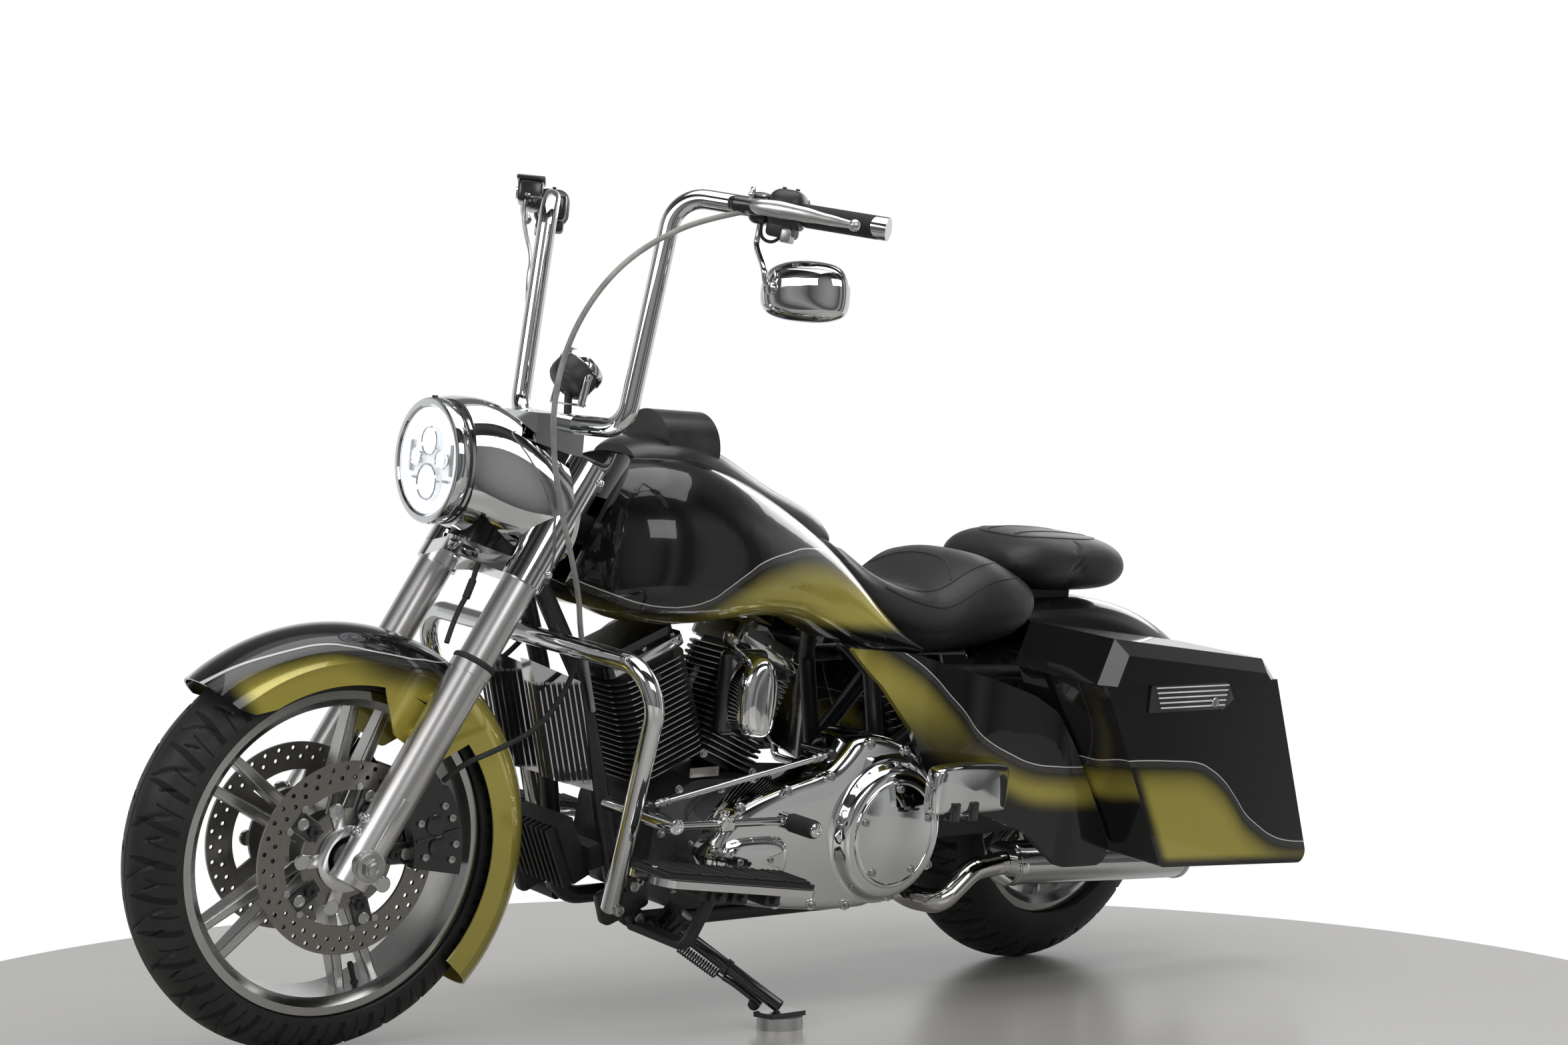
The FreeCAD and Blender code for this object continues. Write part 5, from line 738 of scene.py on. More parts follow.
def tank_scheme(p, x, y, z):
    """Olive along the lower side, black again where the tank turns under."""
    olive, light, stripe, mesh = stripe_masks(curve_value(p, x, TANK_LINE) - z, 0.05)
    side = z.step(0.676, 0.705)
    return olive * side, light * side, stripe, mesh


def cover_scheme(p, x, y, z):
    """Olive in a band that narrows toward the front and fades low down."""
    distance = curve_value(p, x, COVER_LINE) - z
    olive, light, stripe, mesh = stripe_masks(distance, 0.04)
    deep = distance - (x.step(0.38, 0.54) * 0.06 + 0.088)
    band = deep.step(0.0, -0.045) * (z.step(0.47, 0.62).high(x.step(0.44, 0.38)) * 0.85 + 0.15)
    return olive * band, light * band, stripe, mesh


def bag_scheme(p, x, y, z):
    """Olive on the outer side, black round its foot, its front edge and its inner side."""
    distance = curve_value(p, x, BAG_LINE) - y.step(0.462, 0.37) * 0.015 - z
    olive, light, stripe, mesh = stripe_masks(distance, 0.036)
    foot = (z - (x - BAG_REAR) * BAG_FOOT_RISE - BAG_FOOT).step(0.004, 0.024) * abs(y).step(0.25, 0.3)
    ahead = p.facing().step(0.25, 0.4)
    front_edge = (z - 0.297) * 0.605 + 0.146 - x
    clear = foot * (1.0 - ahead * distance.step(0.05, 0.085)) * ahead.high(front_edge.step(0.003, 0.036))
    return olive * clear, light * clear, stripe, mesh


def fender_scheme(p, x, y, z):
    """Olive on both sides under a curve round the axle, with a painted shade of the fork slider darkening
    it above the fork.
    """
    dx, dz = x - WHEELBASE, z - FRONT_Z
    back_angle = (-dx).math("ARCTAN2", dz) * (180.0 / math.pi)
    distance = curve_value(p, back_angle, FENDER_LINE) - (dx * dx + dz * dz).root()
    olive, light, stripe, mesh = stripe_masks(distance, 0.022)
    tail = back_angle.step(100.0, 62.0).high(abs(y).step(0.083, 0.03) * 0.75) * 0.55 + 0.45
    # Painted shade: near the stripe the olive is darkened where the fender lies behind the fork slider.
    slider_shade = back_angle.step(-8.0, 12.0) * back_angle.step(58.0, 36.0) * distance.step(0.062, 0.022)
    clear = back_angle.step(-40.0, -33.0) * (1.0 - slider_shade * 0.8)
    return olive * clear, light * clear * tail, stripe, mesh * back_angle.step(30.0, 20.0)


print("points of the stripe curves:",
      [len(line) for line in (TANK_LINE, COVER_LINE, BAG_LINE, FENDER_LINE)])

# %% [markdown]
# ## Two-tone pieces
# Where one casting carries two finishes, a mask on place or on the surface's direction parts
# them: bright fin edges on black cylinders, rubber on the boards, slots in the cooler.

# %% Two-tone pieces
CRANK = (925, 300)
V_HALF = math.radians(22.5)
FIN_FIRST = 0.150
FIN_PITCH = 0.0105
BOARD = (1050, 304, 296)
TILT = math.radians(7.3)


def fin_edges(name="cylinder_fins"):
    """Black fins whose outer edges are machined bright."""
    p = Paint(name)
    x, y, z = p.upright("frame")
    cx, cz = x - CRANK[0] / 1000, z - CRANK[1] / 1000
    masks = []
    for way in (1, -1):
        across = cx * math.cos(V_HALF) - cz * (math.sin(V_HALF) * way)
        up = cx * (math.sin(V_HALF) * way) + cz * math.cos(V_HALF)
        edge = abs(across).high(abs(y) + 0.006).step(0.0795, 0.0805) * up.over(FIN_FIRST - 0.002)
        band = (up - FIN_FIRST).wrap(FIN_PITCH).near(0.00155).under(0.0008)
        masks.append(edge * band * (cx * way).over(0.0))
    bright = masks[0].high(masks[1])
    fine = p.noise(500.0, 3.0)
    black = p.colour(p.noise(20.0, 4.0), (0.012, 0.012, 0.013), (0.03, 0.03, 0.031))
    p.set(Base_Color=p.colour(bright, black, (0.62, 0.62, 0.61)), Metallic=bright,
          Roughness=fine.range(0.3, 0.5) * (1.0 - bright * 0.35))
    return p.bump(fine, 0.00006, 0.6)


def board_finish(name="board_chrome_and_rubber"):
    """Rubber on top of the riders' boards, chrome below and on the passenger's."""
    p = Paint(name)
    x, y, z = p.upright("frame")
    above = (z - BOARD[2] / 1000) * math.cos(TILT) - (x - BOARD[0] / 1000) * math.sin(TILT)
    pad = above.over(0.0062) * x.over(0.8)
    smear = p.noise(12.0, 4.0)
    metal = p.colour(smear, (0.86, 0.86, 0.87), (0.78, 0.78, 0.79))
    p.set(Base_Color=p.colour(pad, metal, (0.014, 0.014, 0.014)), Metallic=1.0 - pad,
          Roughness=pad * 0.55 + smear.range(0.03, 0.08))
    return p.bump(p.noise(600.0, 3.0) * pad, 0.0002, 0.6)


def cooler_finish(name="cooler_strips"):
    """Bright strips with dark slots between them."""
    p = Paint(name)
    x, y, z = p.upright("frame")
    ahead = abs(p.facing()).over(0.5)
    along = y * ahead + (x - (z - 0.427) * 0.315) * (1.0 - ahead)
    slots = along.wrap(0.0115).near(0.00575).under(0.0043) * z.step(0.418, 0.424) * z.step(0.588, 0.582)
    smear = p.noise(14.0, 4.0)
    strips = p.colour(smear, (0.8, 0.8, 0.81), (0.6, 0.6, 0.61))
    p.set(Base_Color=p.colour(slots, strips, (0.004, 0.004, 0.004)), Metallic=1.0 - slots,
          Roughness=slots * 0.5 + smear.range(0.06, 0.14))
    return p.bump(1.0 - slots, 0.003, 0.8)


def grip_finish(name="grip_rubber_and_chrome"):
    """Ribbed rubber with chrome collars at both ends."""
    p = Paint(name)
    x, y, z = p.upright("steering")
    along = (0.466 - abs(y)) / 0.822
    ends = along.under(0.007).high(along.over(0.126))
    black = p.colour(p.noise(500.0, 3.0), (0.01, 0.01, 0.01), (0.022, 0.022, 0.022))
    p.set(Base_Color=p.colour(ends, black, (0.84, 0.84, 0.85)), Metallic=ends,
          Roughness=(1.0 - ends) * 0.5 + 0.06)
    return p.bump((along * 1400.0).sine() * (1.0 - ends), 0.0006, 0.8)


def rim_finish(name, body, centre, barrel):
    """Cast wheel: turned bright lip, satin cast spokes with fine grain."""
    p = Paint(name)
    radius, angle, y = wheel_coordinates(p, body, centre)
    lip = radius.step(barrel - 0.004, barrel + 0.004)
    turned = p.streaks(radius * 1400.0, y * 1400.0, angle)
    wear = p.noise(16.0, 4.0)
    gloss = p.make("ShaderNodeMix", 0, {"data_type": "FLOAT"}, i0=lip, i2=wear.range(0.2, 0.33),
                   i3=wear.range(0.08, 0.15))
    p.set(Base_Color=p.colour(wear, (0.66, 0.66, 0.65), (0.5, 0.5, 0.49)), Metallic=1.0, Roughness=gloss)
    return p.bump(turned * lip * 0.4 + p.noise(380.0, 3.0) * (1.0 - lip), 0.00012, 0.6)


def case_finish(name="crankcase_black"):
    """Wrinkled black casting with paler dust."""
    p = Paint(name)
    wrinkle = p.noise(260.0, 5.0, 0.62)
    dust = p.noise(12.0, 5.0, 0.66)
    p.set(Base_Color=p.colour(dust.step(0.4, 0.8), (0.013, 0.013, 0.014), (0.045, 0.044, 0.043)),
          Roughness=wrinkle.range(0.34, 0.6), Coat_Weight=0.15)
    return p.bump(wrinkle, 0.0005, 0.7)


def plate_finish(name="blank_plate"):
    """A blank pressed plate: pale, with a darker rim."""
    p = Paint(name)
    x, y, z = p.upright("frame")
    rim = abs(y).step(0.084, 0.086)
    dirt = p.noise(30.0, 5.0, 0.6)
    stained = rim.high(dirt.step(0.55, 0.9) * 0.3)
    p.set(Base_Color=p.colour(stained, (0.72, 0.72, 0.7), (0.35, 0.35, 0.34)),
          Roughness=dirt.range(0.35, 0.5))
    return p.bump(rim, 0.001, 0.5)


print("two-tone finishes ready; cylinder angle", round(math.degrees(2 * V_HALF), 1), "degrees")

# %% [markdown]
# ## Finishes on the model's nodes
# One table gives every node its finish. Finishes that several pieces share are made once.

# %% Finishes on the model's nodes
REAR_CENTRE = Vector((0, 0, REAR_R))
FRONT_CENTRE = Vector((WHEELBASE, 0, FRONT_Z))
FRONT_OUTER = 0.3203
REAR_OUTER = 0.3276

CHROME = chrome()
BLACK_COAT = coat("black_powder_coat")
BLACK_GLOSS = coat("black_gloss_enamel", (0.008, 0.008, 0.009), 0.16, 500.0, 0.00003, 0.8)
BLACK_PLASTIC = coat("black_moulded_plastic", (0.017, 0.017, 0.018), 0.42, 700.0, 0.0001, 0.1)
POLISHED = polished()
FORK_STEEL = brushed_leg("brushed_fork", (0.82, 0.81, 0.8), 0.27)
SATIN_STEEL = polished("satin_steel", (0.55, 0.55, 0.54), 0.27)
RUBBER = rubber()
LEATHER = leather()

finishes = {
    "frame": BLACK_COAT, "engine_case": case_finish(), "cylinders": fin_edges(),
    "rocker_covers": BLACK_GLOSS,
    "exhaust_headers": chrome("header_chrome", (0.8, 0.79, 0.76), 0.06),
    "dash_console": coat("satin_black_console", (0.012, 0.012, 0.013), 0.3, 900.0, 0.00004, 0.35),
    "fuel_tank": gloss_paint("tank_paint", tank_scheme), "rear_fender": gloss_paint("black_paint"),
    "side_covers": gloss_paint("cover_paint", cover_scheme),
    "saddlebags": gloss_paint("bag_paint", bag_scheme),
    "front_fender": gloss_paint("fender_paint", fender_scheme, "steering"),
    "left_bag_lid": gloss_paint("left_lid_paint"), "right_bag_lid": gloss_paint("right_lid_paint"),
    "floorboards": board_finish(), "board_arms": BLACK_COAT, "rear_caliper": BLACK_GLOSS,
    "oil_cooler": cooler_finish(), "swingarm": BLACK_COAT, "rear_shocks": BLACK_COAT,
    "regulator": coat("regulator_black", (0.013, 0.013, 0.013), 0.45, 300.0, 0.0002, 0.05),
    "rear_lamps": lamp_row(), "number_plate": plate_finish(), "fork_sliders": FORK_STEEL,
    "fork_tubes": FORK_STEEL, "headlight_lens": glass(), "grips": grip_finish(), "gauge": BLACK_GLOSS,
    "control_housings": BLACK_PLASTIC, "levers": POLISHED, "front_axle": SATIN_STEEL,
    "front_calipers": BLACK_GLOSS, "rear_pulley": BLACK_COAT, "side_stand": BLACK_GLOSS,
    "stand_puck": polished("turned_aluminium", (0.6, 0.6, 0.6), 0.3),
    "front_rim": rim_finish("front_wheel_metal", "front_wheel", FRONT_CENTRE, 0.232),
    "rear_rim": rim_finish("rear_wheel_metal", "rear_wheel", REAR_CENTRE, 0.196),
    "front_discs": disc("front_disc_steel", "front_wheel", FRONT_CENTRE, ((0.141, 0.0), (0.126, 0.4))),
    "rear_disc": disc("rear_disc_steel", "rear_wheel", REAR_CENTRE, ((0.136, 0.0), (0.122, 0.4))),
    "front_tyre": tyre("front_tyre_rubber", "front_wheel", FRONT_CENTRE, FRONT_OUTER, 34),
    "rear_tyre": tyre("rear_tyre_rubber", "rear_wheel", REAR_CENTRE, REAR_OUTER, 30),
}
for name in ("primary_cover", "horn_cover", "cam_cover", "air_cleaner", "pushrod_tubes", "mufflers",
             "crash_bar", "shift_linkage", "brake_pedal", "rear_axle", "triple_clamp",
             "headlight_nacelle", "handlebar", "mirror"):
    finishes[name] = CHROME

for name, material in finishes.items():
    for slot in nodes[name].material_slots:
        slot.material = material
print("nodes without a finish here:", sorted(set(nodes) - set(finishes)))

# %% [markdown]
# ## Swept shapes
# Levers, spines and springs are sections carried along a line. Each section is an ellipse with
# its own width and height, so that a lever can be broad at the perch and slim at the tip.

# %% Swept shapes
def swept(points, sizes, up=UP, sides=16):
    """A closed tube of elliptical sections; sizes are (half width, half height) at each point."""
    points = [Vector(p) for p in points]
    verts = []
    for i, at in enumerate(points):
        ahead = (points[min(i + 1, len(points) - 1)] - points[max(i - 1, 0)]).normalized()
        side = ahead.cross(Vector(up)).normalized()
        top = side.cross(ahead).normalized()
        half_w, half_h = sizes[i]
        for k in range(sides):
            a = 2 * math.pi * k / sides
            verts.append(at + side * half_w * math.cos(a) + top * half_h * math.sin(a))
    caps = [tuple(range(sides)), tuple(len(verts) - 1 - k for k in range(sides))]
    return outward(meshed("swept", verts, rows_of_faces(len(points), sides) + caps))


def smooth_line(points, steps=6):
    """More points on a soft curve through the given ones."""
    points = [Vector(p) for p in points]
    padded = [points[0] * 2 - points[1]] + points + [points[-1] * 2 - points[-2]]
    line = []
    for a, b, c, d in zip(padded, padded[1:], padded[2:], padded[3:]):
        for k in range(steps):
            t = k / steps
            line.append(0.5 * ((2 * b) + (c - a) * t + (2 * a - 5 * b + 4 * c - d) * t * t
                               + (3 * b - a - 3 * c + d) * t ** 3))
    return line + [points[-1]]


def blend_sizes(sizes, count):
    """Spreads a few section sizes evenly over a longer line."""
    out = []
    for i in range(count):
        t = i / (count - 1) * (len(sizes) - 1)
        k = min(int(t), len(sizes) - 2)
        f = t - k
        f = f * f * (3 - 2 * f)
        out.append(tuple(a * (1 - f) + b * f for a, b in zip(sizes[k], sizes[k + 1])))
    return out


print("swept shapes ready")

# %% [markdown]
# ## Headlight
# Behind the domed glass sit a bowl with a painted glow and four round modules: two large ones above each
# other and two small ones beside them, all lit.

# %% Headlight
LAMP = mm(1475.5, 0, 931)
LIT = glow("lamp_light", (1.0, 1.0, 1.0), 1.25)
# The bowl is a reflector, no lamp: its faint glow is painted light from the modules.
BOWL_PAINTED_GLOW = glow("lamp_bowl_painted_glow", (0.93, 0.95, 0.95), 0.62, 0.3)

bowl = lathe([(0.0845, 0.011), (0.083, 0.0065), (0.074, 0.003), (0.05, 0.0012), (0.0, 0.0012)], LAMP, AHEAD)
place(bowl, "lamp_bowl", BOWL_PAINTED_GLOW, "steering")
rim_light = lathe([(0.083, 0.0105), (0.0805, 0.0118), (0.078, 0.0105), (0.0775, 0.0055), (0.083, 0.0065),
                   (0.083, 0.0105)], LAMP, AHEAD, 96)
place(rim_light, "lamp_light_ring", LIT, "steering")
collars, eyes = [], []
for dy, dz, r in ((0.0, 0.031, 0.024), (0.0, -0.034, 0.030), (0.038, 0.004, 0.016), (-0.038, 0.004, 0.016)):
    at = LAMP + Vector((0, dy, dz))
    collars.append(lathe([(r, 0.001), (r, 0.012), (r * 0.94, 0.0138), (r * 0.86, 0.012), (r * 0.82, 0.006)],
                         at, AHEAD, 48))
    eyes.append(lathe([(r * 0.83, 0.005), (r * 0.7, 0.010), (r * 0.45, 0.0128), (r * 0.2, 0.014),
                       (0.0, 0.0143)], at, AHEAD, 40))
place(collars, "lamp_module_collars", CHROME, "steering")
place(eyes, "lamp_module_lenses", LIT, "steering")
webs = [slab(LAMP + Vector((0.004, y, 0.004)), (0.006, 0.012, 0.05), 0, 0.0015) for y in (0.062, -0.062)]
webs += [slab(LAMP + Vector((0.004, y, -0.03)), (0.005, 0.022, 0.004), 0, 0.001) for y in (0.047, -0.047)]
place(webs, "lamp_module_webs", SATIN_STEEL, "steering")

trim = lathe([(0.0862, 0.0135), (0.0885, 0.0158), (0.094, 0.0165), (0.0985, 0.0145), (0.1005, 0.010),
              (0.1008, 0.004), (0.0995, -0.004), (0.0975, -0.006)], LAMP, AHEAD, 96)
groove = lathe([(0.0975, -0.0115), (0.0995, -0.0095), (0.0995, -0.0075), (0.0975, -0.0055)],
               LAMP, AHEAD, 96)
place([trim], "lamp_trim_ring", CHROME, "steering")
place([groove, slab(LAMP + Vector((0.008, 0, 0.1005)), (0.008, 0.007, 0.005), 0, 0.001)],
      "lamp_trim_seal", BLACK_PLASTIC, "steering")

# %% [markdown]
# ## Fork details
# Acorn nuts on black collars hold the clamps, a rubber seal closes each slider, and the axle
# has a nut and washer with two pinch bolts beside it.

# %% Fork details
def acorn(at, direction, radius, height):
    """A domed nut on a round collar."""
    hexagon = rod(at, at + direction * height * 0.5, radius, 6, radius * 0.12)
    dome = lathe([(radius * 0.82, height * 0.48), (radius * 0.8, height * 0.66),
                  (radius * 0.6, height * 0.9), (radius * 0.3, height), (0.0, height * 1.02)],
                 at, direction, 24)
    return [hexagon, dome]


LEG_UP = (leg(100) - leg(0)).normalized()
FORE = (leg(0, 10) - leg(0)).normalized()
nuts, collars = [], []
way = Vector((-0.32, 0.94, 0.06)).normalized()
for x, z in ((1264, 915), (1347, 768)):
    at = mm(x + 4, 151, z + 2)
    collars.append(lathe([(0.016, -0.006), (0.016, 0.003), (0.0145, 0.005), (0.009, 0.005), (0.0, 0.005)],
                         at, way, 32))
    nuts += acorn(at + way * 0.004, way, 0.0078, 0.0105)
place(both_sides(nuts), "clamp_acorn_nuts", CHROME, "steering")
place(both_sides(collars), "clamp_collars", BLACK_GLOSS, "steering")
inner_hose = hose([leg(560, 34, 60), leg(510, 52, 66), leg(455, 40, 74), leg(405, 44, 80),
                   leg(360, 40, 92)], 0.0042)
crimp = rod(leg(470, 43.5, 71.8), leg(438, 41, 76.5), 0.0062, 20, 0.001)
place([inner_hose, crimp], "hose_between_legs", RUBBER, "steering")

seals = [lathe([(0.0246, 0.0), (0.034, 0.0), (0.0355, 0.002), (0.0355, 0.006), (0.033, 0.009),
                (0.0295, 0.0105), (0.0246, 0.0115)],
               leg(347.2, 0, 128), LEG_UP, 48)]
place(both_sides(seals), "fork_dust_seals", RUBBER, "steering")

end = polar(0, 0, 160.5)
washer = lathe([(0.0126, 0.0), (0.0225, 0.0), (0.0235, 0.001), (0.0235, 0.0024), (0.022, 0.0034),
                (0.0126, 0.0034)], end, LEFT, 48)
nut = rod(end + LEFT * 0.0034, end + LEFT * 0.0125, 0.0165, 6, 0.0012)
tip = lathe([(0.0118, 0.0), (0.0118, 0.0165), (0.0095, 0.018), (0.0045, 0.018), (0.0035, 0.0165),
             (0.0, 0.0165)], end, LEFT, 32)
place(both_sides([washer, nut, tip]), "axle_nuts", SATIN_STEEL, "steering")
pinch = []
for s in (38, 62):
    at = leg(s, 31.0, 128)
    pinch += [rod(at - FORE * 0.004, at + FORE * 0.004, 0.0085, 24, 0.001)]
    pinch += [rod(at + FORE * 0.004, at + FORE * 0.010, 0.0062, 6, 0.0008)]
place(both_sides(pinch), "axle_pinch_bolts", CHROME, "steering")
flats = [slab(leg(70, 0, 159.0), (0.018, 0.005, 0.09), -LEG_RAKE, 0.0022)]
place(both_sides(flats), "slider_ribs", FORK_STEEL, "steering")

# %% [markdown]
# ## Front wheel details
# Both discs sit on black tabs with round buttons; a silver five-armed hub plate shows inside
# them. A valve stem stands on the rim's well.

# %% Front wheel details
hub_parts, tab_parts, button_parts, bolt_parts = [], [], [], []
hub_parts.append(lathe([(0.0365, 0.0), (0.050, 0.0), (0.052, 0.002), (0.052, 0.0045), (0.048, 0.006),
                        (0.040, 0.007), (0.0365, 0.007)],
                       polar(0, 0, 89.6), LEFT, 64))
for k in range(5):
    a = 70.5 + 72 * k
    turn = math.radians(-a)
    hub_parts.append(slab(polar(62, a, 91.8), (0.040, 0.0042, 0.022), turn, 0.0018))
    hub_parts.append(lathe([(0.0, 0.0), (0.0118, 0.0), (0.0125, 0.001), (0.0125, 0.004), (0.011, 0.0052),
                            (0.0, 0.0052)],
                           polar(78, a, 89.6), LEFT, 32))
    b = 106.5 + 72 * k
    tab_parts.append(slab(polar(90, b, 91.4), (0.040, 0.0036, 0.030), math.radians(-b), 0.0016))
    tab_parts.append(slab(polar(70, b, 91.0), (0.016, 0.003, 0.022), math.radians(-b), 0.0012))
    button_parts.append(lathe([(0.0, 0.0), (0.0092, 0.0), (0.0098, 0.001), (0.0098, 0.003),
                               (0.0085, 0.0042), (0.006, 0.0042), (0.0052, 0.0032), (0.0, 0.0032)],
                              polar(100, b, 93.2), LEFT, 28))
    bolt_parts += copies(socket_bolt(0.0085, 0.0065), [(polar(78, b, 93.0), LEFT)])
    for off in (-10.5, 10.5):
        button_parts.append(lathe([(0.0, 0.0), (0.0056, 0.0), (0.006, 0.0008), (0.006, 0.0022),
                                   (0.005, 0.003), (0.0, 0.003)],
                                  polar(111, b + off, 89.4), LEFT, 20))
spacer = lathe([(0.0126, 0.0), (0.026, 0.0), (0.026, 0.003), (0.02, 0.0055), (0.0126, 0.0055)],
               polar(0, 0, 90.2), LEFT, 40)
place(both_sides(hub_parts), "front_hub_plates", POLISHED, "front_wheel")
place(both_sides(tab_parts + [spacer]), "disc_tabs", BLACK_GLOSS, "front_wheel")
place(both_sides(button_parts), "disc_buttons", SATIN_STEEL, "front_wheel")
place(both_sides(bolt_parts), "disc_bolts", BLACK_COAT, "front_wheel")
inward = (polar(0, 0) - polar(100, 252)).normalized()
valve = lathe([(0.0, 0.0), (0.0065, 0.0), (0.0065, 0.003), (0.0042, 0.005), (0.0042, 0.026),
               (0.0048, 0.0265), (0.0048, 0.034), (0.0038, 0.036), (0.0, 0.036)],
              polar(229.5, 252, 18), inward, 20)
place([valve], "front_valve_stem", RUBBER, "front_wheel")

caliper_bolts, caliper_caps = [], []
for a, r in ((152, 170), (160, 176), (174, 176), (182, 170), (154, 122), (180, 122)):
    caliper_bolts.append((polar(r, a, 113.2), LEFT))
for a in (160.0, 174.0):
    caliper_caps.append(lathe([(0.0, 0.0), (0.0165, 0.0), (0.0175, 0.001), (0.0175, 0.003), (0.016, 0.0045),
                               (0.011, 0.0052), (0.0, 0.0052)],
                              polar(147, a, 112.9), LEFT, 40))
rib = [slab(polar(147, 167, 114.2), (0.078, 0.003, 0.006), math.radians(-167), 0.0012)]
place(both_sides(copies(socket_bolt(0.0062, 0.005), caliper_bolts)), "caliper_bolts", SATIN_STEEL,
      "steering")
place(both_sides(caliper_caps + rib), "caliper_piston_caps", BLACK_GLOSS, "steering")

# %% [markdown]
# ## Tyres with cut tread
# The grooves are real: a fine ring of faces is spun from the tyre's section and every point
# that lies in a groove is pushed in. The new tyre stands for the plain one.

# %% Tyres with cut tread
TREAD_BLOCKS = 26
TREAD_EDGE = math.radians(66.0)
GROOVE_DEPTH = 0.0032
STEPS_ACROSS = 60
STEPS_A_BLOCK = 34


def clamped(value):
    return min(1.0, max(0.0, value))


def groove_depth(turn, t):
    """How deep the tread is cut: turn counts blocks round the tyre, t is the angle off the crown."""
    out = abs(t) / TREAD_EDGE
    if out >= 1.0:
        return 0.0
    start = turn + (0.5 if t < 0 else 0.0) - 0.95 * out + 0.45 * out * out
    long_cut = 1 - abs(start % 1.0 - 0.5) / (0.036 + 0.030 * out)
    long_part = clamped((out - 0.10) / 0.05) * clamped((0.95 - out) / 0.05)
    short_cut = 1 - abs((start + 0.45) % 1.0 - 0.5) / 0.034
    short_part = clamped((out - 0.5) / 0.05) * clamped((0.88 - out) / 0.05)
    return GROOVE_DEPTH * max(clamped(long_cut * 2.2) * long_part, clamped(short_cut * 2.2) * short_part)


def treaded_tyre(name, node, body, centre, outer, crown, end_degrees, bead_half, flange, seat):
    """A ring of sections; each runs from one bead over the round crown to the other."""
    around = TREAD_BLOCKS * STEPS_A_BLOCK
    end = math.radians(end_degrees)
    angles = [end * (-1 + 2 * i / STEPS_ACROSS) for i in range(STEPS_ACROSS + 1)]
    line = [(-bead_half, seat, None), (-bead_half, flange, None)]
    line += [(crown * math.sin(t), outer - crown + crown * math.cos(t), t) for t in angles]
    line += [(bead_half, flange, None), (bead_half, seat, None)]
    verts = []
    for k in range(around):
        a = 2 * math.pi * k / around
        for y, r, t in line:
            deep = 0.0 if t is None else groove_depth(TREAD_BLOCKS * k / around, t)
            if deep:
                y -= deep * math.sin(t)
                r -= deep * math.cos(t)
            verts.append((centre.x + r * math.cos(a), y, centre.z + r * math.sin(a)))
    obj = outward(meshed(name, verts, rows_of_faces(around, len(line), closed=True)))
    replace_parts(place(obj, name, finishes[node], body, 40), node)


treaded_tyre("front_tyre_tread", "front_tyre", "front_wheel", FRONT_CENTRE, FRONT_OUTER, 0.063, 90.9,
             0.0498, 0.2563, 0.2413)
treaded_tyre("rear_tyre_tread", "rear_tyre", "rear_wheel", REAR_CENTRE, REAR_OUTER, 0.090, 99.0,
             0.0674, 0.2235, 0.206)

# %% [markdown]
# ## Pressed covers
# The primary cover and the horn cover are pressings with rolled edges. Their outlines are
# softened by cutting corners, then stepped inward and outward ring by ring, as a press would
# draw the sheet. Round reflections need these rolled edges; a flat block would mirror one tone.

# %% Pressed covers
def softened(points, times=3):
    """Cuts the corners of a closed outline again and again."""
    for _ in range(times):
        cut = []
        for a, b in zip(points, points[1:] + points[:1]):
            cut.append((a[0] * 0.75 + b[0] * 0.25, a[1] * 0.75 + b[1] * 0.25))
            cut.append((a[0] * 0.25 + b[0] * 0.75, a[1] * 0.25 + b[1] * 0.75))
        points = cut
    return points


def inset(points, distance):
    """Moves a closed outline in by a distance; the outline runs either way round."""
    area = sum(a[0] * b[1] - b[0] * a[1] for a, b in zip(points, points[1:] + points[:1]))
    way = 1.0 if area > 0 else -1.0
    out = []
    for i, (x, z) in enumerate(points):
        (ax, az), (bx, bz) = points[i - 1], points[(i + 1) % len(points)]
        dx, dz = bx - ax, bz - az
        size = math.hypot(dx, dz) or 1.0
        out.append((x - way * dz / size * distance, z + way * dx / size * distance))
    return out


def shrunk(points, share):
    """A closed outline drawn toward its middle."""
    mx, mz = (sum(p[i] for p in points) / len(points) for i in (0, 1))
    return [(mx + (x - mx) * share, mz + (z - mz) * share) for x, z in points]


def pressed(points, rings, crown=None, step=inset):
    """A cover whose rings are (inset or share, sideways place); crown(x, z) lifts the inner rings."""
    verts = []
    for k, (distance, y) in enumerate(rings):
        for x, z in step(points, distance):
            rise = crown(x, z) if crown and k >= 2 else 0.0
            verts.append((x / 1000, (y + rise) / 1000, z / 1000))
    count = len(points)
    last = len(verts) - count
    cx, cz = (sum(v[i] for v in verts[last:]) / count for i in (0, 2))
    rise = crown(cx * 1000, cz * 1000) if crown else 0.0
    verts.append((cx, (rings[-1][1] + rise) / 1000, cz))
    faces = rows_of_faces(len(rings), count) + [tuple(range(count))]
    faces += [(last + i, last + (i + 1) % count, len(verts) - 1) for i in range(count)]
    return outward(meshed("pressed", verts, faces))


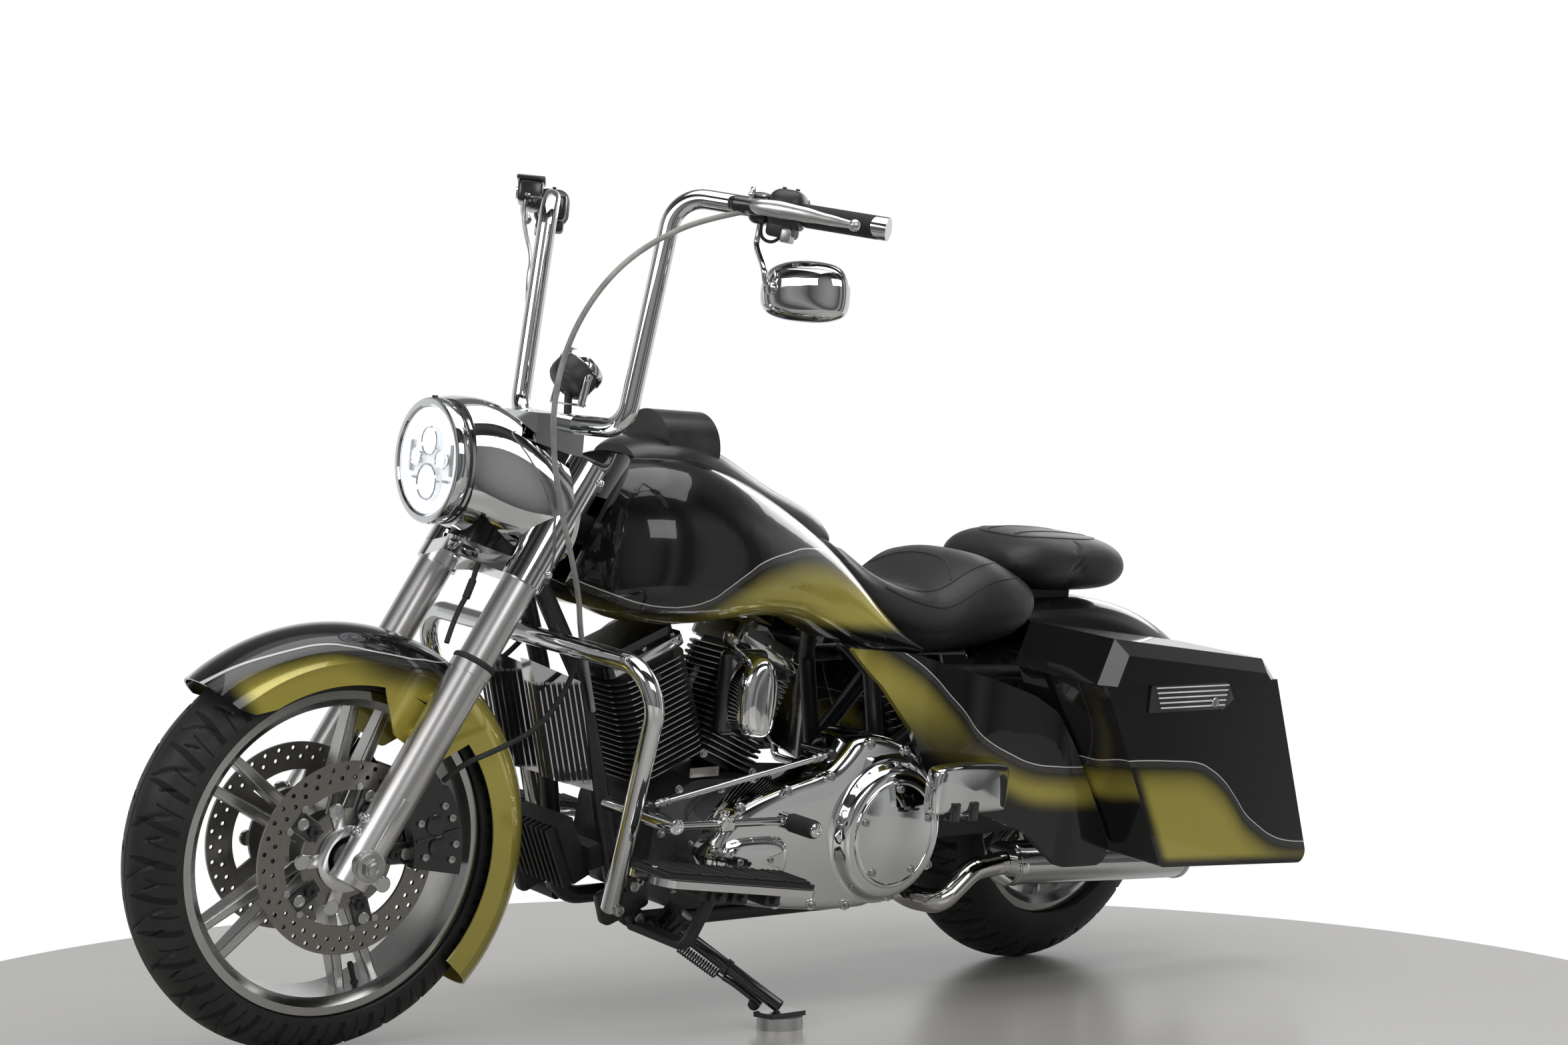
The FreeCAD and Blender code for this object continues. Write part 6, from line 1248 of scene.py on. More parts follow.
DERBY = (601, 333)
HATCH = (905, 300)
HORN = (874, 566)
primary_outline = [(458 + 540 * u, 190 + 326 * v) for u, v in (
    (0.4, 0.98), (0.2, 0.93), (0.04, 0.74), (0.0, 0.44), (0.15, 0.06), (0.34, 0.0), (0.61, 0.03),
    (0.9, 0.1), (1.0, 0.3), (0.99, 0.42), (0.94, 0.56), (0.78, 0.68), (0.53, 0.77), (0.46, 0.86))]
shell = pressed(softened(primary_outline), [(0, 108.2), (0, 186), (1.2, 192), (4, 198), (8.5, 202.5),
                                            (14, 205), (20, 206)])
derby_ring = lathe([(0.131, 0.0), (0.1255, 0.0015), (0.122, 0.006), (0.1185, 0.016),
                    (0.1145, 0.0235), (0.110, 0.0270), (0.1035, 0.0283), (0.0975, 0.0286),
                    (0.0965, 0.0312), (0.0945, 0.0330), (0.0915, 0.0332), (0.0895, 0.0318),
                    (0.0885, 0.0306), (0.080, 0.0318), (0.064, 0.0342), (0.04, 0.0364),
                    (0.02, 0.0374), (0.0, 0.0378)],
                   polar(0, 0, 205.6, DERBY), LEFT, 128)
hatch_outline = [(HATCH[0] + 72 * u, HATCH[1] + 36 * v) for u, v in (
    (-1, -0.55), (-0.75, -1), (0.75, -1), (1, -0.55), (1, 0.55), (0.75, 1), (-0.75, 1), (-1, 0.55))]
hatch_shell = pressed(softened(hatch_outline, 2), [(-6, 204), (-2.5, 207), (0, 212), (2.5, 217), (7, 220.5),
                                                   (13, 222), (19, 222.6)])
primary = place([shell, derby_ring, hatch_shell], "primary_cover_pressing", CHROME, "frame", 50)
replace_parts(primary, "primary_cover")

horn_outline = [(HORN[0] - 42 + 84 * u, HORN[1] - 75 + 150 * v) for u, v in (
    (0.5, 0.0), (0.9, 0.05), (1.0, 0.4), (0.96, 0.72), (0.7, 0.98),
    (0.3, 0.98), (0.04, 0.72), (0.0, 0.4), (0.1, 0.05))]


def horn_crown(x, z):
    """A ridge down the middle that fades toward the top."""
    return 5.0 * math.exp(-((x - 868) / 14) ** 2) * (0.6 + 0.4 * math.tanh((600 - z) / 40))


horn = place(pressed(softened(horn_outline), [(0, 77), (0, 134), (1.5, 144), (4.5, 152), (9, 158),
                                              (15, 161.5), (22, 163), (30, 163.4)], horn_crown),
             "horn_cover_pressing", CHROME, "frame", 50)
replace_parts(horn, "horn_cover")

# %% [markdown]
# ## Right side covers
# The air cleaner and the timing cover are round spun lids. A turned profile with a rolled rim and
# a shallow dome gives each the curved reflections that a flat disc can't have.

# %% Right side covers
AIR = (925, 566)
CASE_SIDE = 107.7
air_lid = lathe([(0.0785, -0.004), (0.0805, 0.0005), (0.0790, 0.0035), (0.0750, 0.0045),
                 (0.0712, 0.0032), (0.0695, 0.0022), (0.0660, 0.0040), (0.0560, 0.0078),
                 (0.0420, 0.0112), (0.0240, 0.0136), (0.0, 0.0145)],
                polar(0, 0, -178, AIR), RIGHT, 112)
air_screw = [(polar(0, 0, -178, AIR) + RIGHT * 0.0143, RIGHT)]
timing_lid = lathe([(0.0935, -0.012), (0.0950, -0.005), (0.0942, 0.0005), (0.0905, 0.0030),
                    (0.0860, 0.0034), (0.0830, 0.0022), (0.0665, 0.0030), (0.0650, 0.0080),
                    (0.0630, 0.0104), (0.0580, 0.0116), (0.0400, 0.0138), (0.0200, 0.0149),
                    (0.0, 0.0152)],
                   polar(0, 0, -CASE_SIDE - 34, CRANK), RIGHT, 112)
timing_bolts = [(polar(78, 90 + 72 * k, -CASE_SIDE - 35.8, CRANK), RIGHT) for k in range(5)]
place([air_lid, timing_lid], "right_side_lids", CHROME, "frame", 50)
place(copies(socket_bolt(0.0052, 0.0045), air_screw + timing_bolts), "right_lid_screws", SATIN_STEEL)

# %% [markdown]
# ## Engine and primary drive
# The chrome cover is held by bolts in small lugs round its rim and five in the round cover. The
# horn hangs from a tab with an acorn nut. A blank plate is riveted to the crankcase.

# %% Engine and primary drive
lugs, bolts = [], []
for x, z in ((654, 499), (561, 480), (746, 444), (849, 420), (952, 393), (1000, 318),
             (930, 232), (847, 214), (760, 203), (672, 197), (563, 208), (474, 262)):
    inward = (mm(720, 0, 320) - mm(x, 0, z)).normalized()
    at = mm(x, 0, z) + inward * 0.009
    lugs.append(lathe([(0.0, 0.0), (0.0105, 0.0), (0.0105, 0.006), (0.0092, 0.0075), (0.0, 0.0075)],
                      Vector((at.x, 0.2005, at.z)), LEFT, 28))
    bolts.append((Vector((at.x, 0.208, at.z)), LEFT))
place(lugs, "primary_bolt_lugs", CHROME)
place(copies(socket_bolt(0.0062, 0.0062), bolts), "primary_bolts", SATIN_STEEL)

derby = [(polar(81, 90 + 72 * k, 236.8, DERBY), LEFT) for k in range(5)]
place(copies(socket_bolt(0.0066, 0.0055), derby), "derby_bolts", SATIN_STEEL)
hatch = [(mm(x, 221.6, 302), LEFT) for x in (878, 946)]
place(copies(socket_bolt(0.0058, 0.004), hatch), "hatch_bolts", SATIN_STEEL)

tab = swept(smooth_line([mm(895, 118, 630), mm(915, 124, 642), mm(936, 126, 656), mm(941, 127, 676)], 5),
            blend_sizes([(0.0045, 0.017), (0.0042, 0.0165), (0.004, 0.0155), (0.004, 0.012)], 16),
            (0, 1, 0))
place([tab], "horn_tab", CHROME)
place(acorn(mm(939, 131, 664), LEFT, 0.0088, 0.017), "horn_nut", SATIN_STEEL)
back = slab(polar(0, 0, 96, HORN), (0.098, 0.028, 0.150), 0, 0.012, 4)
rings = []
for k in range(3):
    r = 0.036 - 0.004 * k
    rings.append(lathe([(r, 0.0), (r + 0.0015, 0.0015), (r, 0.003), (r - 0.0015, 0.0015), (r, 0.0)],
                       mm(829, 110, 560 + 3 * k), Vector((-1, 0.25, 0)), 40))
place([back] + rings, "horn_body", BLACK_GLOSS, "frame", 30)

plate = slab(mm(949, 109.8, 433), (0.064, 0.0036, 0.017), math.radians(1.5), 0.0014)
place([plate], "blank_case_plate", polished("case_plate_metal", (0.42, 0.4, 0.36), 0.34))
rivets = [(mm(949 + 26 * k, 111.4, 433), LEFT) for k in (-1, 1)]
place(copies(hex_bolt(0.0022, 0.002), rivets), "case_plate_rivets", SATIN_STEEL)
case_bolts = [(mm(x, 107.6, z), LEFT) for x, z in (
    (954, 465), (839, 428), (905, 398), (1000, 405), (990, 232), (1030, 330))]
place(copies(hex_bolt(0.0062, 0.006), case_bolts + [(other_side(at), RIGHT) for at, way in case_bolts]),
      "crankcase_bolts", SATIN_STEEL)

rocker_bolts, boxes, straps = [], [], []
for way in (1, -1):
    up = Vector((math.sin(V_HALF) * way, 0, math.cos(V_HALF)))
    out = Vector((math.cos(V_HALF), 0, -math.sin(V_HALF) * way))
    base = polar(0, 0, 0, CRANK)
    top = base + up * (FIN_FIRST + 13 * FIN_PITCH + 0.056)
    for u in (-0.062, 0.0, 0.062):
        for side in (-1, 1):
            rocker_bolts.append((top + up * 0.0202 + out * u + LEFT * side * 0.0575, up))
    for side in (-1, 1):
        boxes.append(slab(top + up * 0.012 + LEFT * side * 0.0655, (0.150, 0.006, 0.018),
                          V_HALF * way, 0.0024))
    boot = base + up * 0.318 + LEFT * 0.062 + out * 0.02 * way
    straps.append(rod(boot, boot + LEFT * 0.034 + up * 0.01, 0.0085, 24, 0.001))
    straps.append(rod(boot + LEFT * 0.030 + up * 0.009, boot + LEFT * 0.047 + up * 0.014,
                      0.0068, 24, 0.001))
place(copies(hex_bolt(0.0048, 0.006), rocker_bolts), "rocker_bolts", CHROME)
place(boxes, "rocker_cover_rails", CHROME)
place(straps, "spark_plug_boots", RUBBER)

# %% [markdown]
# ## Controls beside the engine
# The shift peg wears a ribbed rubber sleeve with a bolt in its end; the link rod has a joint
# and lock nuts at both ends; the board carries rubber segments in a bright frame.

# %% Controls beside the engine
PEG = (905, 384)
ARM_ROOT = (1137, 384)

sleeve_line = [(0.0122, 0.0)]
for k in range(8):
    h = 0.003 + 0.0068 * k
    sleeve_line += [(0.0152, h), (0.0158, h + 0.0015), (0.0158, h + 0.0042), (0.0146, h + 0.0052)]
sleeve_line += [(0.0152, 0.0585), (0.0145, 0.061), (0.0122, 0.0625), (0.0122, 0.0)]
place([lathe(sleeve_line, polar(0, 0, 291, PEG), LEFT, 40)], "shift_peg_rubber", RUBBER)
place([lathe([(0.0, 0.0), (0.011, 0.0), (0.0115, 0.001), (0.0115, 0.0025), (0.0085, 0.0045),
              (0.005, 0.0048), (0.004, 0.0035), (0.0, 0.0035)],
             polar(0, 0, 354, PEG), LEFT, 32)], "shift_peg_end", CHROME)
arm_way = (polar(0, 0, 280, PEG) - polar(0, 0, 262, ARM_ROOT)).normalized()
at = polar(0, 0, 262, ARM_ROOT) + arm_way * 0.105
clamp = [slab(at, (0.030, 0.024, 0.026), 0, 0.004, 3, math.radians(4.4)),
         slab(at + Vector((0.004, 0, 0.015)), (0.020, 0.012, 0.016), 0, 0.003)]
clamp += [rod(at + LEFT * 0.004 + Vector((0, 0, 0.012)), at + LEFT * 0.018 + Vector((0, 0, 0.012)),
              0.0062, 6, 0.0008)]
end = polar(0, 0, 274, ARM_ROOT)
clamp += [lathe([(0.0, 0.0), (0.0135, 0.0), (0.014, 0.001), (0.014, 0.003), (0.0115, 0.0045),
                 (0.0065, 0.0045), (0.0055, 0.0028), (0.0, 0.0028)], end, LEFT, 32)]
place(clamp, "shift_arm_clamp", CHROME)
link_way = (mm(745, 200, 474) - mm(1137, 200, 402)).normalized()
joints, balls = [], []
for start, way in ((mm(1137, 200, 402), link_way), (mm(745, 200, 474), -link_way)):
    joints.append(rod(start + way * 0.020, start + way * 0.030, 0.0082, 6, 0.0008))
    joints.append(rod(start + way * 0.034, start + way * 0.041, 0.0076, 6, 0.0008))
    balls.append(lathe([(0.0, -0.009), (0.008, -0.009), (0.0115, -0.004), (0.0118, 0.0), (0.0115, 0.004),
                        (0.008, 0.009), (0.0, 0.009)],
                       start, LEFT, 32))
place(joints, "link_lock_nuts", SATIN_STEEL)
place(balls, "link_ends", BLACK_GLOSS)

BOARD_HALF = 14


def on_board(x, y, rise):
    """A point on the rider's board: along it, across it and above its top, in millimetres."""
    up = BOARD_HALF + rise
    return mm(BOARD[0] + x * math.cos(TILT) - up * math.sin(TILT), BOARD[1] + y,
              BOARD[2] + x * math.sin(TILT) + up * math.cos(TILT))


pads, studs = [], []
for k in range(5):
    x = -128 + 62 * k
    pads.append(slab(on_board(x, 0, 2.0), (0.056, 0.078, 0.005), -TILT, 0.0022))
    for j in range(4):
        pads.append(slab(on_board(x - 19.5 + 13 * j, 0, 5.2), (0.0056, 0.068, 0.0032), -TILT, 0.0012))
for x in (-150, 150):
    studs.append((on_board(x, 0, 0.0), Vector((-math.sin(TILT), 0, math.cos(TILT)))))
place(both_sides(pads), "board_rubber_segments", RUBBER)
place(both_sides(copies(socket_bolt(0.006, 0.004), studs)), "board_bolts", CHROME)
under = []
for x in (36, -10, -82):
    base = on_board(x, 10, -20)
    under.append(slab(base - UP * 0.012, (0.034, 0.05, 0.022), -TILT, 0.004))
    under += copies(hex_bolt(0.006, 0.007), [(base + Vector((0, 0.026, -0.012)), LEFT)])
place(both_sides(under), "board_hinge_blocks", BLACK_COAT)

clips = []
for x in (0.486, 0.532):
    at = Vector((x, 0.305, 0.384))
    clips.append(slab(at + Vector((0, 0.004, 0.0)), (0.018, 0.009, 0.034), 0, 0.0022))
    clips.append(slab(at + Vector((0, -0.006, -0.015)), (0.018, 0.020, 0.005), 0, 0.0018))
place(both_sides(clips), "passenger_board_clips", BLACK_GLOSS)
PAD = (486, 422)
pad_outline = [(PAD[0] + 94 * u, PAD[1] + 44 * v) for u, v in (
    (-0.94, -1), (0.94, -1), (1, -0.9), (1, 0.6), (0.88, 1), (-0.88, 1), (-1, 0.6), (-1, -0.9))]
face = pressed(softened(pad_outline), [(1, 276), (1, 296), (0.985, 300), (0.955, 303.4), (0.9, 305.6),
                                       (0.8, 307), (0.62, 308.2), (0.4, 309), (0.2, 309.4)], step=shrunk)
place(both_sides([face]), "passenger_board_faces", CHROME)

bolts = [(mm(*at), LEFT) for at in ((1127, 168, 262), (1085, 128, 258), (1071, 122, 193), (1152, 166, 222))]
brackets = [slab(mm(1108, 118, 226), (0.096, 0.030, 0.058), math.radians(20), 0.01, 3),
            rod(mm(1127, 118, 262), mm(1127, 167, 262), 0.0135, 32, 0.0015),
            rod(mm(1085, 100, 258), mm(1085, 127, 258), 0.014, 32, 0.0015),
            rod(mm(1071, 100, 193), mm(1071, 121, 193), 0.0145, 32, 0.0015)]
place(both_sides(brackets), "guard_foot_brackets", BLACK_COAT)
place(both_sides(copies(socket_bolt(0.0095, 0.007), bolts)), "guard_foot_bolts", SATIN_STEEL)

# %% [markdown]
# ## Side stand details
# A coil spring lies along the leg, a second slim rod runs beside it, and the foot has a
# rubber bump and a nut. The spring is one wire wound round a line.

# %% Side stand details
stand_top = mm(1030, 172, 186)
foot = SPACE["frame"].inverted() @ (SHIFT + mm(942, 310, 32))
down = (foot - stand_top).normalized()
across = down.cross(UP).normalized()
fore = across.cross(down).normalized()
if fore.x < 0:
    fore = -fore
start = stand_top + down * 0.026 + fore * 0.024
stop = stand_top + down * 0.104 + fore * 0.021
turns, steps, coil_r = 15, 12, 0.0078
run = stop - start
wire = []
for k in range(turns * steps + 1):
    a = 2 * math.pi * k / steps
    here = start + run * (k / (turns * steps)) + across * coil_r * math.cos(a)
    wire.append(here + fore * coil_r * math.sin(a))
hooks = [swept(wire, [(0.0017, 0.0017)] * len(wire), tuple(across), 6)]
for a, b in ((start, start - run.normalized() * 0.014), (stop, stop + run.normalized() * 0.016)):
    hooks.append(rod(a, b, 0.0018, 10))
place(hooks, "stand_spring", BLACK_GLOSS, "side_stand", 60)
slim = [swept(smooth_line([stand_top + down * 0.115 + fore * 0.018, stand_top + down * 0.14 + fore * 0.0155,
                           foot - down * 0.03 + fore * 0.0155], 4),
              [(0.0052, 0.0052)] * 9, tuple(across), 14)]
slim.append(lathe([(0.0112, 0.0), (0.0145, 0.0015), (0.0145, 0.011), (0.0112, 0.0125)],
                  stand_top + down * 0.106, down, 28))
place(slim, "stand_slim_rod", BLACK_GLOSS, "side_stand")
bump = foot - down * 0.040 + fore * 0.018
parts = [lathe([(0.0, 0.0), (0.010, 0.0), (0.0105, 0.003), (0.009, 0.010), (0.005, 0.013), (0.0, 0.0135)],
               bump, fore, 28)]
place(parts, "stand_rubber_bump", RUBBER, "side_stand")
pivot_way = Vector((-0.36, 0.44, 0.82)).normalized()
nut = [rod(stand_top + pivot_way * 0.0235, stand_top + pivot_way * 0.031, 0.0125, 6, 0.001)]
place(nut, "stand_pivot_nut", SATIN_STEEL)

# %% [markdown]
# ## Hand controls
# Levers are swept from a broad root to a slim end with a ball. Each side has a clamp, a perch
# and a moulded switch pod; the right side has a brake reservoir and its metal hose.

# %% Hand controls
BAR_END = mm(986, 466, 1354)
BAR_TOP = mm(1182, 180, 1384)
BAR_WAY = (BAR_TOP - BAR_END).normalized()
BAR_FORE = Vector((0.825, 0.565, 0)).normalized()
BAR_UP = BAR_FORE.cross(BAR_WAY).normalized()
if BAR_UP.z < 0:
    BAR_UP = -BAR_UP


def on_bar(along, fore=0.0, up=0.0):
    """A point by the bar's left end: in from its end, ahead of it and above it, in millimetres."""
    return BAR_END + BAR_WAY * along / 1000 + BAR_FORE * fore / 1000 + BAR_UP * up / 1000


def bar_block(along, fore, up, size, edge, segments=3):
    """A rounded block set square to the bar; size is along, ahead and up."""
    obj = slab((0, 0, 0), size, 0, edge, segments)
    turn = Matrix((BAR_WAY, BAR_FORE, BAR_UP)).transposed().to_4x4()
    obj.data.transform(Matrix.Translation(on_bar(along, fore, up)) @ turn)
    if turn.determinant() < 0:
        obj.data.flip_normals()
    return obj


blade = smooth_line([on_bar(212, 36, 0), on_bar(190, 45, 1), on_bar(160, 50, 1), on_bar(120, 52, 0),
                     on_bar(80, 51, -2), on_bar(40, 49, -4)], 6)
sizes = blend_sizes([(0.009, 0.0085), (0.009, 0.0125), (0.0075, 0.0135), (0.006, 0.0115), (0.0052, 0.0085),
                     (0.0042, 0.006)], len(blade))
lever = [swept(blade, sizes, tuple(BAR_UP), 20)]
lever.append(lathe([(0.0, -0.0095), (0.0045, -0.0085), (0.008, -0.0052), (0.0095, 0.0), (0.008, 0.0052),
                    (0.0045, 0.0085), (0.0, 0.0095)],
                   on_bar(36, 48.6, -4), BAR_UP, 28))
lever.append(rod(on_bar(212, 36, -11), on_bar(212, 36, 11), 0.0085, 28, 0.001))
lever_obj = place(both_sides(lever), "hand_levers", polished("cast_lever_alloy", (0.8, 0.8, 0.79), 0.26),
                  "steering")
perch = [bar_block(214, 22, 0, (0.062, 0.050, 0.026), 0.010),
         bar_block(202, 0, 0, (0.034, 0.050, 0.050), 0.012, 4),
         bar_block(232, 34, 0, (0.034, 0.022, 0.024), 0.009)]
perch_obj = place(both_sides(perch), "lever_perches", BLACK_GLOSS, "steering")
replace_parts(lever_obj, "levers")
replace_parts(perch_obj, "levers")

pods = [bar_block(161, 2, 4, (0.058, 0.062, 0.064), 0.021, 5),
        bar_block(163, 3, -27, (0.044, 0.048, 0.026), 0.007, 3)]
place(both_sides(pods), "switch_pods", BLACK_PLASTIC, "steering")
chips = [bar_block(150, 14, -36, (0.016, 0.030, 0.022), 0.003)]
chips += [bar_block(140, -22, 22 - 13 * k, (0.013, 0.010, 0.009), 0.0028) for k in range(3)]
place(both_sides(chips), "switch_keys", SATIN_STEEL, "steering")
screws = [(on_bar(150 + 22 * k, 0, 36), BAR_UP) for k in (0, 1)]
place(both_sides(copies(socket_bolt(0.0034, 0.003), screws)), "pod_screws", BLACK_COAT, "steering")
posts = [rod(on_bar(214, 26, 11), on_bar(214, 26, 30), 0.0045, 20, 0.0006)]
posts += [rod(on_bar(196, 18, 11), on_bar(196, 18, 22), 0.0058, 6, 0.0008)]
posts += [rod(on_bar(214, 26, 16), on_bar(214, 26, 21), 0.0078, 6, 0.0008)]
place(both_sides(posts), "perch_studs", CHROME, "steering")
loop = hose([on_bar(196, 10, -24), on_bar(196, 12, -40), on_bar(184, 12, -50), on_bar(168, 12, -48),
             on_bar(160, 10, -36)], 0.0026)
place([loop], "left_switch_lead", RUBBER, "steering")

reservoir = [bar_block(206, 40, 20, (0.070, 0.044, 0.040), 0.007)]
lid = [bar_block(206, 40, 42, (0.076, 0.050, 0.008), 0.003)]
window = lathe([(0.0, 0.002), (0.0075, 0.002), (0.0085, 0.0035), (0.0105, 0.0035), (0.0112, 0.0),
                (0.0, 0.0)], on_bar(206, 61.5, 18), BAR_FORE, 32)
for part in reservoir + lid + [window]:
    mirror_y(bake(part))
place(reservoir + lid, "brake_reservoir", BLACK_GLOSS, "steering")
place([window], "reservoir_window", CHROME, "steering")
route = [other_side(on_bar(232, 44, 12)), other_side(on_bar(240, 50, -6)),
         other_side(on_bar(246, 44, -50)), other_side(on_bar(262, 26, -100)),
         mm(1196, -210, 1240), mm(1200, -196, 1180), mm(1208, -182, 1120), mm(1220, -168, 1062)]
place([hose(route, 0.0036)], "front_brake_line", FORK_STEEL, "steering")
banjo = [lathe([(0.0, -0.006), (0.0085, -0.006), (0.0095, -0.003), (0.0095, 0.003), (0.0085, 0.006),
                (0.0, 0.006)],
               other_side(on_bar(232, 44, 12)), other_side(BAR_FORE), 28)]
place(banjo, "brake_line_banjo", CHROME, "steering")

# %% [markdown]
# ## Mirror
# The shell is a dome: rings of one soft outline that shrink as they go forward, as a casting is
# rounded. The glass is set in its rear face, and a swept stem curves down from the perch.

# %% Mirror
MIRROR = mm(1062, 372, 1248)
MIRROR_TURN = Matrix.Rotation(math.radians(26), 4, "Z")
MIRROR_OUTLINE = [(-75, -6), (-72, -34), (-44, -46), (0, -49), (44, -46), (70, -34), (76, -4), (66, 30),
                  (34, 45), (-10, 49), (-54, 44), (-72, 24)]


def mirror_dome(rings):
    """Rings of the mirror's outline, each scaled and set forward, closed at both ends."""
    outline = softened(MIRROR_OUTLINE)
    verts = [(ahead / 1000, -u * scale / 1000, v * scale / 1000)
             for scale, ahead in rings for u, v in outline]
    count = len(outline)
    caps = [tuple(range(count)), tuple(range(len(verts) - count, len(verts)))]
    obj = outward(meshed("mirror_dome", verts, rows_of_faces(len(rings), count) + caps))
    obj.data.transform(Matrix.Translation(MIRROR) @ MIRROR_TURN)
    return obj


arc = [(math.sin(math.radians(a)) ** 0.72, -6 + 32 * math.cos(math.radians(a)))
       for a in (90, 82, 74, 66, 57, 48, 39, 30, 21, 13, 6, 2)]
shell = mirror_dome([(0.955, -15.5), (0.985, -16.2), (1.0, -15.0), (1.0, -9.0)] + arc)
glass_plate = mirror_dome([(0.93, -15.0), (0.93, -16.0), (0.91, -16.3)])
PIVOT = MIRROR + MIRROR_TURN.to_3x3() @ Vector((0.023, -0.046, 0.0))
line = smooth_line([on_bar(202, 0, -22), on_bar(202, 0, -42), on_bar(200, 3, -60),
                    PIVOT + Vector((0.012, -0.006, 0.030)), PIVOT + Vector((0.009, -0.002, 0.010)),
                    PIVOT], 8)
stem = swept(line, [(0.005, 0.005)] * len(line), tuple(BAR_FORE), 16)
pivot = lathe([(0.0, -0.010), (0.0065, -0.010), (0.0095, -0.005), (0.0105, 0.0), (0.0095, 0.006),
               (0.0, 0.008)], PIVOT, MIRROR_TURN.to_3x3() @ Vector((1, -0.25, 0)), 28)
shell_obj = place([shell, stem, pivot], "mirror_shell", CHROME, "steering", 50)
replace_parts(shell_obj, "mirror")
silver = chrome("mirror_silver", (0.9, 0.91, 0.92), 0.012)
place([glass_plate], "mirror_glass", silver, "steering")

# %% [markdown]
# ## Gauge
# A black cup with a bright ring on a forked bracket. The dial carries plain strokes round its
# edge and one hand.

# %% Gauge
GAUGE = mm(1226, 0, 1082)
FACE = Vector((-1, 0, 1)).normalized()
cup = lathe([(0.0, -0.027), (0.022, -0.0262), (0.031, -0.0235), (0.0365, -0.018), (0.0388, -0.009),
             (0.0388, 0.010), (0.0380, 0.0200), (0.0, 0.0205)],
            GAUGE, FACE, 72)
post = rod(GAUGE - FACE * 0.012, GAUGE + Vector((0.006, 0, -0.062)), 0.0065, 24, 0.001)
gauge_cup = place([cup, post], "gauge_cup", BLACK_PLASTIC, "steering")
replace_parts(gauge_cup, "gauge")
bezel_ring = lathe([(0.0378, 0.012), (0.0412, 0.014), (0.0418, 0.020), (0.0400, 0.0262), (0.0360, 0.0275),
                    (0.0335, 0.0262), (0.0330, 0.0235)], GAUGE, FACE, 72)
arms = [slab(GAUGE + LEFT * s * 0.0405 - Vector((-0.004, 0, 0.024)), (0.014, 0.003, 0.050),
             math.radians(-12), 0.0012) for s in (1, -1)]
arms += [rod(GAUGE + LEFT * s * 0.0385, GAUGE + LEFT * s * 0.0475, 0.006, 6, 0.0008) for s in (1, -1)]
arms.append(slab(GAUGE - Vector((-0.007, 0, 0.046)), (0.016, 0.084, 0.0035), 0, 0.0012))
place([bezel_ring] + arms, "gauge_ring_and_bracket", CHROME, "steering")
dial = lathe([(0.0335, 0.0228), (0.0, 0.0228)], GAUGE, FACE, 64)
place([dial], "gauge_dial", coat("dial_black", (0.01, 0.01, 0.011), 0.4), "steering")
dial_up = Vector((1, 0, 1)).normalized()
strokes = []
for k in range(25):
    a = math.radians(-120 + 10 * k)
    out = dial_up * math.cos(a) + LEFT * math.sin(a)
    long = 0.006 if k % 4 == 0 else 0.0035
    strokes.append(rod(GAUGE + FACE * 0.0233 + out * (0.031 - long),
                       GAUGE + FACE * 0.0233 + out * 0.031, 0.0005, 6))
a = math.radians(-118)
out = dial_up * math.cos(a) + LEFT * math.sin(a)
strokes.append(rod(GAUGE + FACE * 0.0244 - out * 0.006, GAUGE + FACE * 0.0244 + out * 0.025, 0.0009, 8,
                   end_radius=0.0003))
place(strokes, "dial_strokes", coat("dial_white", (0.75, 0.75, 0.73), 0.4), "steering")

# %% [markdown]
# ## Saddlebag latches
# Each case has a black latch plate with five bright lines and a round lock. Thin slabs give the
# plates and lines, and a turned ring gives the lock.

# %% Saddlebag latches
plates, lines, locks = [], [], []
slope = math.radians(0.66)
plates.append(slab(mm(126, 467.2, 611), (0.214, 0.0055, 0.052), slope, 0.0022, 3))
plates.append(slab(mm(20, 467.0, 607), (0.040, 0.005, 0.034), math.radians(35), 0.0022, 3))
for k in range(5):
    lines.append(slab(mm(118 - 1.5 * k, 470.4, 630.5 - 9.2 * k), (0.206 - 0.006 * k, 0.0016, 0.0027), slope,
                      0.0004, 1))
locks.append(lathe([(0.0, 0.0032), (0.0052, 0.0032), (0.006, 0.0042), (0.0088, 0.0042), (0.0096, 0.003),
                    (0.0096, 0.0), (0.0, 0.0)], mm(52, 469.8, 600), LEFT, 36))
place(both_sides(plates), "latch_plates", BLACK_PLASTIC)
place(both_sides(lines), "latch_lines",
      coat("silver_line_enamel", (0.72, 0.72, 0.72), 0.32, 500.0, 0.00003, 0.5))
place(both_sides(locks), "latch_locks", CHROME)

# %% [markdown]
# ## Silencers, rear axle, shocks and lamps
# Turned bands hold the silencers, the axle and the shocks show their nuts and coils, and bright
# rims frame the rear lamps. All are turned or six-sided, so each is one short call.

# %% Silencers, rear axle, shocks and lamps
rings = []
for side in (1, -1):
    y = side * 176
    way = (mm(-260, y, 224) - mm(250, y, 244)).normalized()
    rings.append(lathe([(0.0395, 0.0), (0.0425, 0.0), (0.0438, 0.002), (0.0438, 0.010), (0.0425, 0.012)],
                       mm(-248, y, 224.5), way, 64))
    rings.append(lathe([(0.0425, 0.0), (0.0436, 0.001), (0.0436, 0.014), (0.0425, 0.015)],
                       mm(240, y, 243.6), way, 64))
    rings.append(slab(mm(236, y + side * 46, 243), (0.016, 0.008, 0.020), 0, 0.002))
place(rings, "silencer_bands", CHROME)
nuts = []
for side in (1, -1):
    nuts.append(rod(mm(0, side * 146, 327.6), mm(0, side * 158, 327.6), 0.019, 6, 0.0014))
    for x, z in ((150, 600), (44, 327)):
        nuts.append(rod(mm(x, side * 195, z), mm(x, side * 203, z), 0.009, 6, 0.0009))
